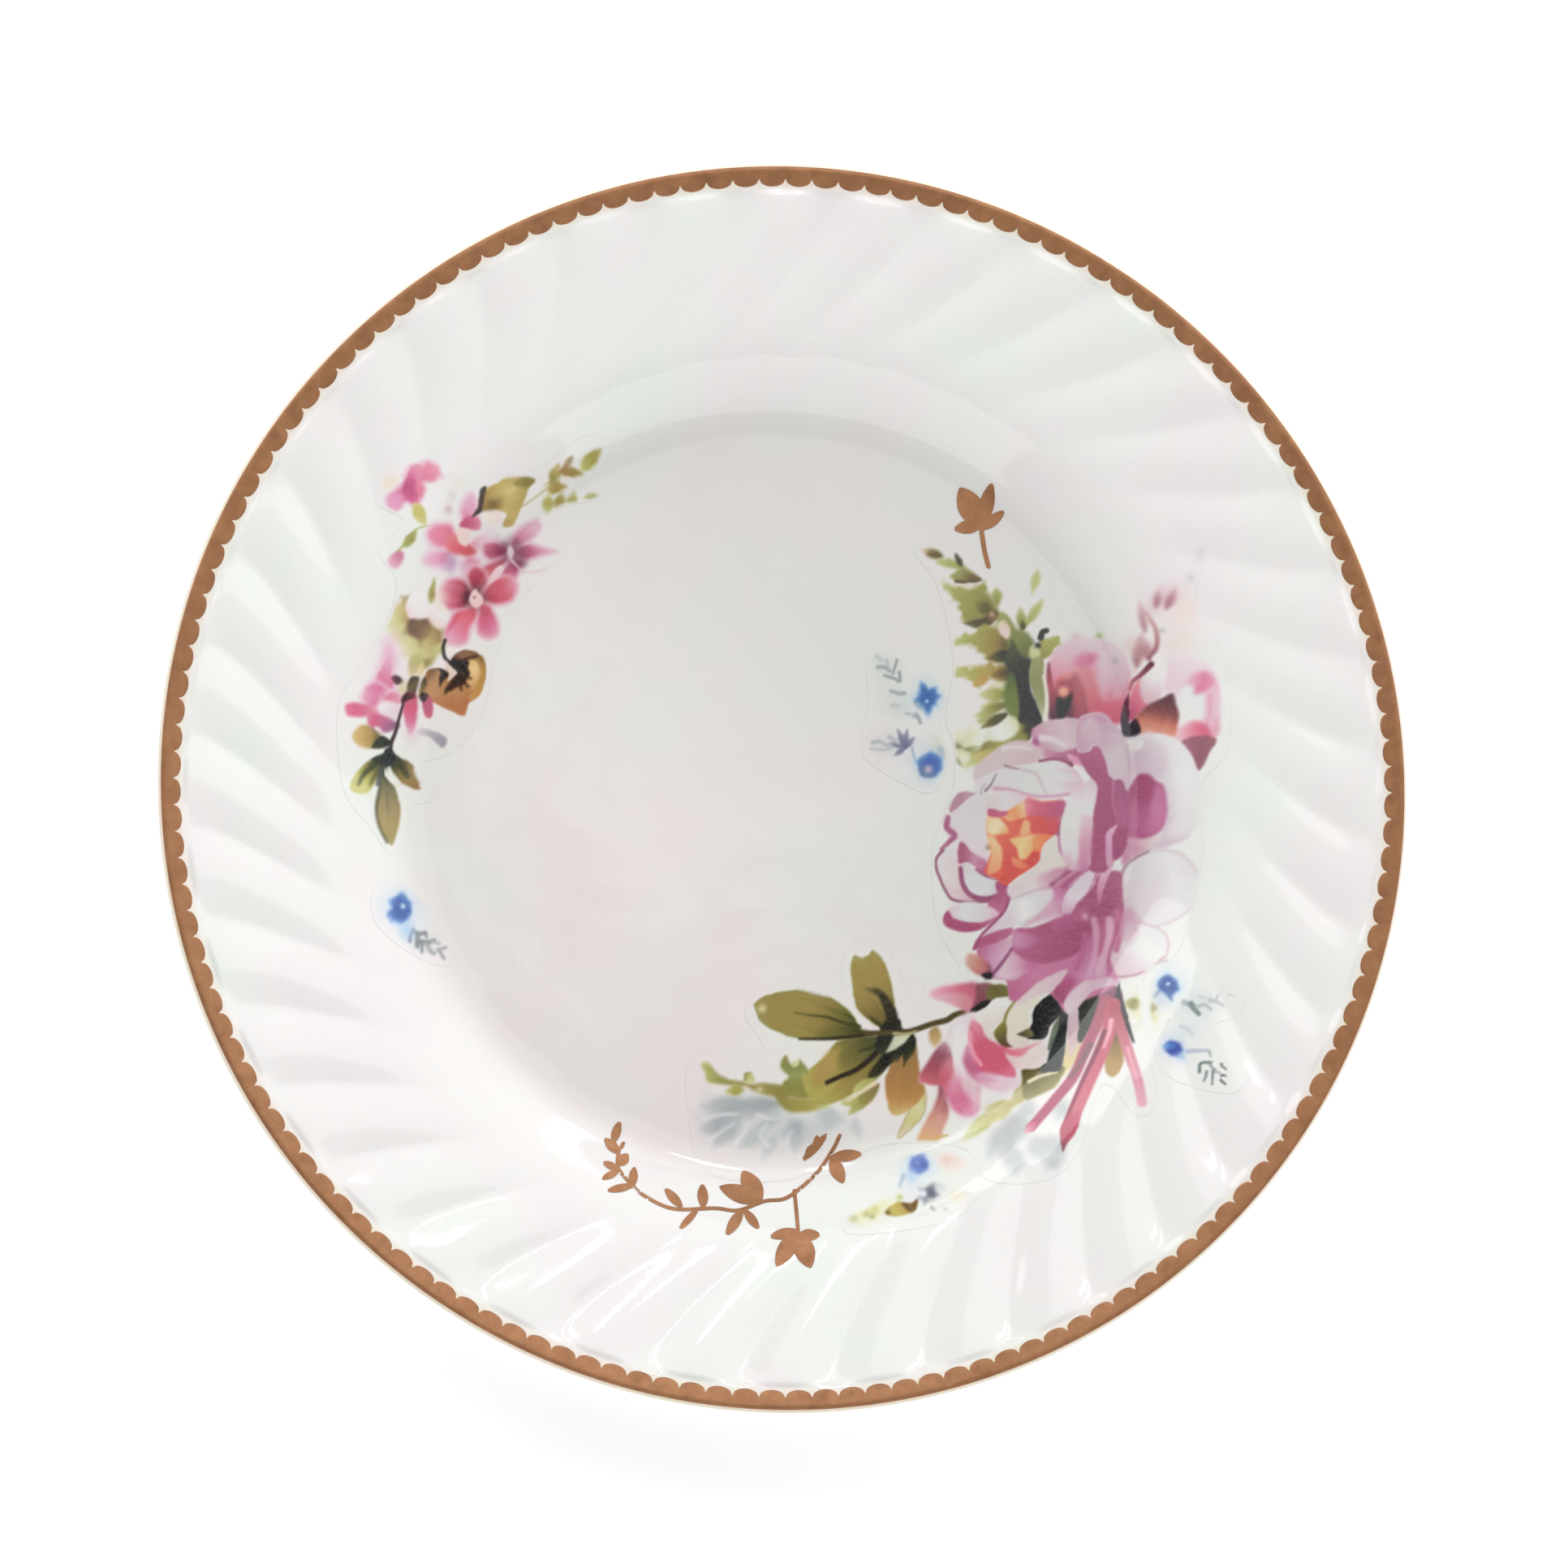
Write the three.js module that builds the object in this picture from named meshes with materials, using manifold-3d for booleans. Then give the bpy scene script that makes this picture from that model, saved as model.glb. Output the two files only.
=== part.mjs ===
// China dinner plate with a swirl-fluted rim, a scalloped gilt band and flower transfers.
// Units are millimetres, +Z is up, and the origin is the centre of the circle that the foot stands on.
// A decorated plate is made in layers, and each layer is its own solid here: the fired clay body, the glaze
// coats that cover it, and the gilt and the printed transfers that are laid on the glaze.
import * as THREE from "three";
import { mergeVertices } from "three/addons/utils/BufferGeometryUtils.js";
import Module from "manifold-3d";

const wasm = await Module();
wasm.setup();

// ---- Driving dimensions --------------------------------------------------------------------------------
const RIM_RADIUS = 135; // a 27 cm dinner plate
const WELL_RADIUS = 82.5; // where the well turns up into the wall
const FLAT_RADIUS = 76; // the well is flat out to here
const SHOULDER_RADIUS = 95; // where the wall turns out into the rim
const WELL_HEIGHT = 6.6; // face of the well above the table
const WALL_SLOPE = 0.8;
const RIM_SLOPE = 0.22;
const WELL_BLEND = 1.4; // softness of the turn at the well
const SHOULDER_BLEND = 2.6; // softness of the turn at the shoulder

const WELL_THICKNESS = 3.9;
const RIM_THICKNESS = 2.5;
const FOOT_OUTER_RADIUS = 80;
const FOOT_INNER_RADIUS = 76.5;
const FOOT_CONTACT_WIDTH = 1.8;
const FOOT_DRAFT = 0.8; // how far the sides of the foot lean
const FOOT_BARE_HEIGHT = 0.9; // the glaze is wiped off this far up the foot
const GLAZE = 0.25; // thickness of the glaze coats

const FLUTES = 40;
const FLUTE_DEPTH = 0.55; // from the mean surface to a crest
const FLUTE_INNER_RADIUS = 93;
const FLUTE_OUTER_RADIUS = 129;
const FLUTE_SWEEP = THREE.MathUtils.degToRad(13); // turn of a flute from its outer end to its inner end

const SCALLOPS = 144;
const BAND_OUTER_RADIUS = 134;
const BAND_CUSP_RADIUS = 131.8;
const SCALLOP_DEPTH = 1.7;

const LAY_GAP = 0.05; // clearance under each layer that is laid on the one below
const TRANSFER = 0.12; // thickness of a printed transfer
const GILT = 0.1; // thickness of the gilt
const GILT_LIFT = LAY_GAP + TRANSFER + LAY_GAP; // the gilt branch crosses a transfer

const PLAIN_STEPS = 80; // points round a smooth ring
const FLUTED_STEPS = 4 * FLUTES; // points round a fluted ring
const SCALLOP_STEPS = 3 * SCALLOPS;
const TURN = 2 * Math.PI;

// ---- Surfaces ------------------------------------------------------------------------------------------
const softRamp = (x, softness) => softness * Math.log1p(Math.exp(x / softness));
const portion = (x, low, high) => THREE.MathUtils.clamp((x - low) / (high - low), 0, 1);

// Mean height of the face above the table at a radius, without the flutes.
function faceHeight(radius) {
  if (radius <= FLAT_RADIUS) return WELL_HEIGHT;
  return (
    WELL_HEIGHT +
    WALL_SLOPE * softRamp(radius - WELL_RADIUS, WELL_BLEND) -
    (WALL_SLOPE - RIM_SLOPE) * softRamp(radius - SHOULDER_RADIUS, SHOULDER_BLEND)
  );
}

// Relief of the swirling flutes, which fade out at the shoulder and before the band.
function fluteRelief(radius, angle) {
  const inward = portion(radius, FLUTE_OUTER_RADIUS, FLUTE_INNER_RADIUS);
  const fade = Math.sin(Math.PI * Math.sqrt(inward)) ** 1.2;
  const swing = FLUTE_SWEEP * inward ** 1.6;
  return FLUTE_DEPTH * fade * Math.cos(FLUTES * (angle - swing));
}

function backHeight(radius) {
  const outward = portion(radius, FOOT_OUTER_RADIUS, RIM_RADIUS);
  return faceHeight(radius) - THREE.MathUtils.lerp(WELL_THICKNESS, RIM_THICKNESS, outward);
}

// ---- Solids made of rings ------------------------------------------------------------------------------
// A ring is a count of points and a function from an angle to a point. A ring of one point is a pole.
const circle = (radius, height, count = PLAIN_STEPS) => ({
  count: radius === 0 ? 1 : count,
  at: (angle) => [radius * Math.cos(angle), radius * Math.sin(angle), height],
});

function faceRing(radius, lift, inset = 0) {
  const fluted = radius > FLUTE_INNER_RADIUS && radius < FLUTE_OUTER_RADIUS;
  if (!fluted) return circle(radius - inset, faceHeight(radius) + lift);
  return {
    count: FLUTED_STEPS,
    at: (angle) => [
      radius * Math.cos(angle),
      radius * Math.sin(angle),
      faceHeight(radius) + fluteRelief(radius, angle) + lift,
    ],
  };
}

// Adds the triangles between each ring and the next. They face outwards where the rings run from the top of
// the axis, out, under and back to the axis, and inwards where the skin is turned over.
function addSkin(mesh, rings, turnedOver = false) {
  const starts = rings.map((ring) => {
    const start = mesh.positions.length / 3;
    for (let i = 0; i < ring.count; i++) mesh.positions.push(...ring.at((TURN * i) / ring.count));
    return start;
  });
  const addTriangle = (a, b, c) => mesh.index.push(a, ...(turnedOver ? [c, b] : [b, c]));
  for (let k = 0; k < rings.length - 1; k++) {
    const steps = Math.max(rings[k].count, rings[k + 1].count);
    const corner = (ring, step) => {
      const count = rings[ring].count;
      return starts[ring] + (Math.floor((step * count) / steps) % count);
    };
    for (let i = 0; i < steps; i++) {
      const [a0, a1] = [corner(k, i), corner(k, i + 1)];
      const [b0, b1] = [corner(k + 1, i), corner(k + 1, i + 1)];
      if (b0 !== b1) addTriangle(a0, b0, b1);
      if (a0 !== a1) addTriangle(a0, b1, a1);
    }
  }
}

function asGeometry(mesh) {
  const geometry = new THREE.BufferGeometry();
  geometry.setAttribute("position", new THREE.Float32BufferAttribute(mesh.positions, 3));
  geometry.setIndex(mesh.index);
  return mergeVertices(geometry, 1e-4);
}

// A closed solid whose rings start and end on the axis.
function solidOfRings(rings) {
  const mesh = { positions: [], index: [] };
  addSkin(mesh, rings);
  return asGeometry(mesh);
}

// A thin solid between an outer and an inner skin with matching rings, closed along its open edges.
function coat(outer, inner) {
  const mesh = { positions: [], index: [] };
  addSkin(mesh, outer);
  addSkin(mesh, inner, true);
  if (outer[0].count > 1) addSkin(mesh, [inner[0], outer[0]]);
  if (outer.at(-1).count > 1) addSkin(mesh, [outer.at(-1), inner.at(-1)]);
  return asGeometry(mesh);
}

// ---- Sections of the plate -----------------------------------------------------------------------------
const FACE_RADII = [0, FLAT_RADIUS, 82.5, 86.5, 91.5, 98, 105.5, 113, 121, 129.2, 134.2];
const BACK_RADII = [116, 99, 90, 84];
const LIP_RADIUS = FACE_RADII.at(-1);
const LIP_TOP = faceHeight(LIP_RADIUS);
const RECESS_HEIGHT = WELL_HEIGHT - WELL_THICKNESS;

// The outside from the middle of the well, over the lip and down to the bare foot. At depth 0 it is the skin
// of the glaze, and one glaze thickness further in it is where the clay begins.
function outside(depth) {
  const face = FACE_RADII.map((radius) => faceRing(radius, -depth, radius === LIP_RADIUS ? depth / 2 : 0));
  const lip = [
    circle(RIM_RADIUS - depth, LIP_TOP - 0.7),
    circle(RIM_RADIUS - depth, LIP_TOP - 1.5),
    circle(RIM_RADIUS - 0.8 - depth / 2, LIP_TOP - 2.3 + depth / 2),
  ];
  const back = BACK_RADII.map((radius) => circle(radius, backHeight(radius) + depth));
  const foot = [
    circle(FOOT_OUTER_RADIUS + FOOT_DRAFT - depth, backHeight(FOOT_OUTER_RADIUS) + depth),
    circle(FOOT_OUTER_RADIUS - depth, FOOT_BARE_HEIGHT),
  ];
  return [...face, ...lip, ...back, ...foot];
}

// The recess inside the foot, from the edge of the bare ring to the axis.
const underside = (depth) => [
  circle(FOOT_INNER_RADIUS + depth, FOOT_BARE_HEIGHT),
  circle(FOOT_INNER_RADIUS - FOOT_DRAFT + depth, RECESS_HEIGHT + depth),
  circle(0, RECESS_HEIGHT + depth),
];

function porcelainBody() {
  const middle = (FOOT_OUTER_RADIUS + FOOT_INNER_RADIUS) / 2;
  const contact = [1, -1].map((side) => circle(middle + (side * FOOT_CONTACT_WIDTH) / 2, 0));
  return solidOfRings([...outside(GLAZE), ...contact, ...underside(GLAZE)]);
}

const faceGlaze = () => coat(outside(0), outside(GLAZE));
const baseGlaze = () => coat(underside(0), underside(GLAZE));

// The band lies on the smooth margin outside the flutes, and its inner edge is a row of round scallops.
function giltBand() {
  const [innerRadius, outerRadius] = FACE_RADII.slice(-2);
  const marginHeight = (radius) =>
    THREE.MathUtils.lerp(faceHeight(innerRadius), LIP_TOP, portion(radius, innerRadius, outerRadius));
  const scalloped = (lift) => ({
    count: SCALLOP_STEPS,
    at: (angle) => {
      const along = ((angle / TURN) * SCALLOPS) % 1;
      const lobe = Math.sqrt(Math.max(0, 1 - (2 * along - 1) ** 2));
      const radius = BAND_CUSP_RADIUS - SCALLOP_DEPTH * lobe;
      return [radius * Math.cos(angle), radius * Math.sin(angle), marginHeight(radius) + lift];
    },
  });
  const edge = (lift) => circle(BAND_OUTER_RADIUS, marginHeight(BAND_OUTER_RADIUS) + lift, SCALLOPS);
  const [top, bottom] = [LAY_GAP + GILT, LAY_GAP].map((lift) => [scalloped(lift), edge(lift)]);
  return coat(top, bottom);
}

// ---- Pieces laid on the face ---------------------------------------------------------------------------
function toManifold(geometry) {
  const bare = geometry.clone();
  bare.deleteAttribute("normal");
  bare.deleteAttribute("uv");
  const merged = mergeVertices(bare, 1e-4);
  return new wasm.Manifold(
    new wasm.Mesh({
      numProp: 3,
      vertProperties: merged.attributes.position.array,
      triVerts: new Uint32Array(merged.index.array),
    }),
  );
}

function toGeometry(solid) {
  const mesh = solid.getMesh();
  const geometry = new THREE.BufferGeometry();
  geometry.setAttribute("position", new THREE.BufferAttribute(mesh.vertProperties, 3));
  geometry.setIndex(new THREE.BufferAttribute(mesh.triVerts, 1));
  return geometry;
}

// A sheet of even thickness that follows the face. The laid pieces are cut from it.
function faceSheet(lift, thickness) {
  const [top, bottom] = [lift + thickness, lift].map((height) =>
    FACE_RADII.slice(0, -1).map((radius) => faceRing(radius, height)),
  );
  return toManifold(coat(top, bottom));
}

const prism = (shape) =>
  toManifold(new THREE.ExtrudeGeometry(shape, { depth: 2 * LIP_TOP, bevelEnabled: false, curveSegments: 5 }));

function cutFromSheet(sheet, shapes) {
  const cutter = shapes.map(prism).reduce((joined, next) => joined.add(next));
  return toGeometry(sheet.intersect(cutter));
}

// A smooth closed outline through points given as [x, y].
function outline(points, divisions = 2) {
  const curve = new THREE.CatmullRomCurve3(
    points.map(([x, y]) => new THREE.Vector3(x, y, 0)),
    true,
  );
  const samples = curve.getPoints(points.length * divisions).slice(0, -1);
  return new THREE.Shape(samples.map((p) => new THREE.Vector2(p.x, p.y)));
}

// A pointed leaf from its base [x, y] to its tip, with its widest width.
function leaf(base, tip, width) {
  const start = new THREE.Vector2(...base);
  const end = new THREE.Vector2(...tip);
  const across = new THREE.Vector2(start.y - end.y, end.x - start.x).setLength((width * 2) / 3);
  const at = (along, side) => start.clone().lerp(end, along).addScaledVector(across, side);
  const [near, far] = [0.3, 0.8];
  const controls = [at(near, -1), at(far, -1), end, at(far, 1), at(near, 1), start];
  const shape = new THREE.Shape();
  shape.moveTo(start.x, start.y);
  for (const [a, b, c] of [controls.slice(0, 3), controls.slice(3)]) {
    shape.bezierCurveTo(a.x, a.y, b.x, b.y, c.x, c.y);
  }
  return shape;
}

// A ribbon of even width along points given as [x, y].
function stem(points, width) {
  const line = new THREE.SplineCurve(points.map(([x, y]) => new THREE.Vector2(x, y)));
  const steps = 2 * (points.length - 1);
  const sides = [-1, 1].map((side) =>
    Array.from({ length: steps + 1 }, (_, i) => {
      const tangent = line.getTangent(i / steps);
      const across = new THREE.Vector2(-tangent.y, tangent.x);
      return line.getPoint(i / steps).addScaledVector(across, (side * width) / 2);
    }),
  );
  return new THREE.Shape([...sides[0], ...sides[1].reverse()]);
}

// ---- Outlines of the printed transfers -----------------------------------------------------------------
const TRANSFERS = {
  peony_spray_transfer: [
    [30, 54], [41, 54], [50, 45], [54, 51], [59, 50], [62, 38], [73, 38], [79, 48], [87, 57], [93, 55],
    [90, 42], [97, 27], [97, 10], [91.5, 2], [92, -12], [89, -27], [85.6, -35], [80.8, -38.8], [80, -50],
    [82, -66], [77, -70], [70, -63], [64, -78], [57, -84], [45, -84], [40, -76.5], [25, -75.5], [15, -79],
    [0, -84], [-15, -82], [-19, -70], [-18, -57], [-3, -56], [-7, -47], [0, -41], [13, -43], [15, -34],
    [23, -32], [31, -46], [33, -40], [40, -38], [35, -28], [34, -12], [38.5, 2], [38.5, 12], [37, 17],
    [38.5, 30], [35, 46],
  ],
  pink_spray_transfer: [
    [-88, 61], [-85, 70], [-75, 72], [-62, 68], [-52, 70], [-42, 77], [-36, 75], [-37, 65], [-48, 61],
    [-46, 53], [-55, 42], [-61, 29], [-64, 16], [-71, 8], [-78, 5], [-75, -2], [-80, -4], [-80, -11],
    [-84, -14], [-88, -9], [-94, -2], [-96, 10], [-95, 19], [-88, 30], [-83, 43], [-87, 50], [-82, 57],
  ],
  left_blue_sprig_transfer: [
    [-88, -23], [-83, -19], [-77, -23], [-70, -33], [-71, -38], [-79, -36], [-87, -30],
  ],
  well_blue_sprig_transfer: [
    [20, 31], [27, 31], [34, 27.5], [37.5, 22], [35.5, 15], [37.5, 8], [34, 1], [28, 2.5], [19, 9], [20, 20],
  ],
  right_blue_sprig_transfer: [
    [82.4, -39], [87, -36.6], [99, -42], [99, -48], [93, -51], [100, -59], [98, -65], [90, -64], [83, -60],
    [81.5, -48],
  ],
  lower_blue_sprig_transfer: [
    [25, -80], [31, -77], [40, -78], [43, -86], [36, -93], [16, -96], [14, -92], [23, -87],
  ],
};

// ---- Gilt sprigs ---------------------------------------------------------------------------------------
const UPRIGHT_GILT_SPRIG = [
  stem([[46.3, 50.3], [45.4, 54], [44.6, 59.5]], 1),
  leaf([44.8, 59], [40.3, 67.4], 5.6),
  leaf([44.8, 59.2], [47, 68.8], 3),
  leaf([45, 59.6], [39, 58.3], 3.2),
  leaf([44.7, 58.5], [49.9, 62.4], 2.2),
];

const FLYING_GILT_LEAFLET = [
  leaf([5.4, -79.7], [11.3, -73.2], 1.9),
  leaf([6.4, -78.6], [7.9, -75.7], 1.4),
  leaf([8.4, -77], [9, -73.6], 1.4),
];

const GILT_BRANCH = [
  stem(
    [[-34.3, -77.5], [-34.7, -81.5], [-32.3, -85], [-29, -88], [-23, -90.6], [-14, -90.3], [-9, -90.7],
     [-3, -88.5], [2, -87.6], [8.5, -82.2], [12.2, -77], [13.8, -73.8]],
    0.8,
  ),
  stem([[3.6, -86], [3.7, -96]], 0.8),
  leaf([-34, -78.5], [-37.4, -74.9], 2.4),
  leaf([-35.6, -76.4], [-33.8, -70.9], 2),
  leaf([-34.4, -78.2], [-32.7, -75.1], 0.9),
  leaf([-34.7, -81.2], [-32.2, -78.3], 2.4),
  leaf([-34.4, -82], [-38.2, -80.4], 1.8),
  leaf([-34.4, -82.2], [-38.6, -84.4], 1.6),
  leaf([-32, -86.2], [-31, -81.1], 2),
  leaf([-31.1, -85.4], [-37.8, -87], 1.8),
  leaf([-21, -90.5], [-24.8, -85.8], 2.2),
  leaf([-17.4, -90.2], [-22.3, -95.5], 1.5),
  leaf([-16.6, -90.6], [-16.3, -84.6], 2.4),
  leaf([-3.6, -88.6], [-7.4, -81.5], 4.4),
  leaf([-3.4, -88.7], [-12.8, -85.3], 4.2),
  leaf([-7.8, -90.2], [-12, -96.6], 2.4),
  leaf([-7.8, -90.2], [-4.6, -95.1], 2.1),
  leaf([11.5, -78.6], [18.8, -77.7], 2.6),
  leaf([11.9, -78.2], [14.3, -84.5], 3.2),
  leaf([3.8, -95], [-2.6, -96.7], 2.4),
  leaf([3.4, -96.2], [8.6, -96], 2.6),
  leaf([3.6, -95.1], [-1.4, -103.3], 3.8),
  leaf([3.4, -95.2], [6.2, -103.5], 4.6),
];

// ---- Assembly ------------------------------------------------------------------------------------------
const clay = new THREE.MeshStandardMaterial({ color: 0xe9e3d8, roughness: 0.85, metalness: 0 });
const glaze = new THREE.MeshStandardMaterial({ color: 0xf0f1ec, roughness: 0.12, metalness: 0 });
const gilt = new THREE.MeshStandardMaterial({ color: 0xa6744b, roughness: 0.35, metalness: 0.8 });
const print = new THREE.MeshStandardMaterial({ color: 0xd9b6c4, roughness: 0.2, metalness: 0 });

const plate = new THREE.Group();
function addPiece(name, geometry, material) {
  const mesh = new THREE.Mesh(geometry, material);
  mesh.name = name;
  plate.add(mesh);
}

addPiece("porcelain_body", porcelainBody(), clay);
addPiece("face_glaze", faceGlaze(), glaze);
addPiece("base_glaze", baseGlaze(), glaze);
addPiece("gilt_rim_band", giltBand(), gilt);

const printSheet = faceSheet(LAY_GAP, TRANSFER);
for (const [name, points] of Object.entries(TRANSFERS)) {
  addPiece(name, cutFromSheet(printSheet, [outline(points)]), print);
}

const giltSheet = faceSheet(GILT_LIFT, GILT);
addPiece("upright_gilt_sprig", cutFromSheet(giltSheet, UPRIGHT_GILT_SPRIG), gilt);
addPiece("gilt_branch", cutFromSheet(giltSheet, GILT_BRANCH), gilt);
addPiece("flying_gilt_leaflet", cutFromSheet(giltSheet, FLYING_GILT_LEAFLET), gilt);

export default plate;
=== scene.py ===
"""China dinner plate: its fine surfaces, materials, light and camera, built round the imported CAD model.

Lengths are in millimetres, and become metres only where a mesh, a light or the camera is made. The plate's
own formulas repeat those of the CAD model, so that each piece lies where its CAD node does.
"""
import math

import bpy
import numpy as np
from mathutils import Matrix, Vector


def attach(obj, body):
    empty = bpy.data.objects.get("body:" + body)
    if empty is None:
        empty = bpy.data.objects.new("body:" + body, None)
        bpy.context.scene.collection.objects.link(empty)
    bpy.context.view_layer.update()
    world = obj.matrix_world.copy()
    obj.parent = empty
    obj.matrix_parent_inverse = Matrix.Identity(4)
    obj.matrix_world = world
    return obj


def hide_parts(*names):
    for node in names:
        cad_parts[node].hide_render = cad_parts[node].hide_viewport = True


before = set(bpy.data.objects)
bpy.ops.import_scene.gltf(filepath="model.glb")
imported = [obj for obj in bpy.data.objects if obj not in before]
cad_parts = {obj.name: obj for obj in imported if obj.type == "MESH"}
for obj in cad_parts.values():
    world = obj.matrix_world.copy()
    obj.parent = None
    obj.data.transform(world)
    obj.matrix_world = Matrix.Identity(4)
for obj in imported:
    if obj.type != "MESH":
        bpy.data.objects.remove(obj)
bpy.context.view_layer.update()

MM = 0.001
TURN = 2 * math.pi

# ---- Driving dimensions, as in the CAD model -----------------------------------------------------------
RIM_RADIUS = 135.0
WELL_RADIUS = 82.5
FLAT_RADIUS = 76.0
SHOULDER_RADIUS = 95.0
WELL_HEIGHT = 6.6
WALL_SLOPE = 0.8
RIM_SLOPE = 0.22
WELL_BLEND = 1.4
SHOULDER_BLEND = 2.6
WELL_THICKNESS = 3.9
RIM_THICKNESS = 2.5
FOOT_OUTER_RADIUS = 80.0
FOOT_INNER_RADIUS = 76.5
FOOT_CONTACT_WIDTH = 1.8
FOOT_DRAFT = 0.8
FOOT_BARE_HEIGHT = 0.9
GLAZE = 0.25
FLUTES = 40
FLUTE_DEPTH = 0.55
FLUTE_INNER_RADIUS = 93.0
FLUTE_OUTER_RADIUS = 129.0
FLUTE_SWEEP = math.radians(13)
SCALLOPS = 144
BAND_CUSP_RADIUS = 131.8
SCALLOP_DEPTH = 1.7

# ---- What only the looks need --------------------------------------------------------------------------
LIP = 1.2  # radius of the rounded lip
BAND_OUTER_RADIUS = 134.4  # the gilt runs just over the top of the lip
INK = 0.04  # thickness of a fired print
GILT = 0.07  # thickness of the gilt
CREASE = 0.02  # how rounded the creases between the flutes are
FLUTE_FADE = 1.2  # how quickly the flutes fade towards their ends
FLUTE_CURL = 1.6  # how much of a flute's sweep comes near the shoulder
REST = 0.015  # how far a laid piece stands off what it lies on
PRINT_GRID = 0.3  # spacing of the points that carry a print's colours
GILT_GRID = 0.3
RING_GAP = 0.9  # spacing of the rings of points on the wall and the flutes
FOOT_FILLET = 2.6  # width of the hollow bend between the back and the foot
PRINT_FADE = 1  # width of a sheet's edge over which its ink fades out


# ---- Surfaces ------------------------------------------------------------------------------------------
def soft_ramp(x, softness):
    """Zero below 0 and x above it, with a rounded bend between the two."""
    return softness * np.logaddexp(0, x / softness)


def face_height(radius):
    """Mean height of the face above the table, without the flutes."""
    wall = WALL_SLOPE * soft_ramp(radius - WELL_RADIUS, WELL_BLEND)
    turn = (WALL_SLOPE - RIM_SLOPE) * soft_ramp(radius - SHOULDER_RADIUS, SHOULDER_BLEND)
    return WELL_HEIGHT + wall - turn


# The lip is an arc between the face and the back, so the face turns over at its upper end.
FACE_LEAN = math.atan(RIM_SLOPE)
LIP_CENTRE = RIM_RADIUS - LIP
FACE_END = LIP_CENTRE - LIP * math.sin(FACE_LEAN)
LIP_HEIGHT = float(face_height(FACE_END)) - LIP * math.cos(FACE_LEAN)


def flute_relief(radius, angle):
    """Round pillows with a narrow crease between them, fading at the shoulder and before the band."""
    span = FLUTE_OUTER_RADIUS - FLUTE_INNER_RADIUS
    inward = np.clip((FLUTE_OUTER_RADIUS - radius) / span, 0, 1)
    fade = np.sin(math.pi * np.sqrt(inward)).clip(0) ** FLUTE_FADE
    phase = FLUTES * (angle - FLUTE_SWEEP * inward**FLUTE_CURL)
    low, high = math.sqrt(CREASE), math.sqrt(1 + CREASE)
    pillow = (np.sqrt((1 + np.cos(phase)) / 2 + CREASE) - low) / (high - low)
    return FLUTE_DEPTH * fade * (2 * pillow - 1)


def surface(x, y):
    """Height of the glazed face at a point, out to the lip."""
    radius = np.hypot(x, y)
    on_lip = LIP_HEIGHT + np.sqrt(np.clip(LIP**2 - (radius - LIP_CENTRE) ** 2, 0, None))
    on_face = face_height(radius) + flute_relief(radius, np.arctan2(y, x))
    return np.where(radius > FACE_END, on_lip, on_face)


def surface_normal(x, y):
    """The glazed face's outward direction at a point."""
    step = 0.02
    slope_x = (surface(x + step, y) - surface(x - step, y)) / (2 * step)
    slope_y = (surface(x, y + step) - surface(x, y - step)) / (2 * step)
    normal = np.stack([-slope_x, -slope_y, np.ones_like(slope_x)], -1)
    return normal / np.linalg.norm(normal, axis=-1, keepdims=True)


def back_height(radius):
    """Height of the back outside the foot, where the plate thins towards its rim."""
    outward = np.clip((radius - FOOT_OUTER_RADIUS) / (RIM_RADIUS - FOOT_OUTER_RADIUS), 0, 1)
    return face_height(radius) - (WELL_THICKNESS + (RIM_THICKNESS - WELL_THICKNESS) * outward)


def smoothstep(x, low, high):
    """Rises smoothly from 0 at low to 1 at high."""
    t = np.clip((x - low) / (high - low), 0, 1)
    return t * t * (3 - 2 * t)


# ---- Meshes --------------------------------------------------------------------------------------------
def make_piece(name, points, faces, material, slot, nodes, normals=None, ink=None):
    """A smooth-shaded object that rides on the plate and stands for its CAD nodes."""
    mesh = bpy.data.meshes.new(name)
    mesh.from_pydata(np.asarray(points) * MM, [], faces)
    mesh.polygons.foreach_set("use_smooth", np.ones(len(mesh.polygons), bool))
    if ink is not None:
        attribute = mesh.attributes.new("ink", "FLOAT_COLOR", "POINT")
        attribute.data.foreach_set("color", np.column_stack([ink, np.ones(len(ink))]).ravel())
    mesh.materials.append(material)
    mesh.update()
    if normals is not None:
        mesh.normals_split_custom_set_from_vertices(normals)
    piece = bpy.data.objects.new(name, mesh)
    bpy.context.scene.collection.objects.link(piece)
    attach(piece, "root")
    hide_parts(*nodes)
    return piece


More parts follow.
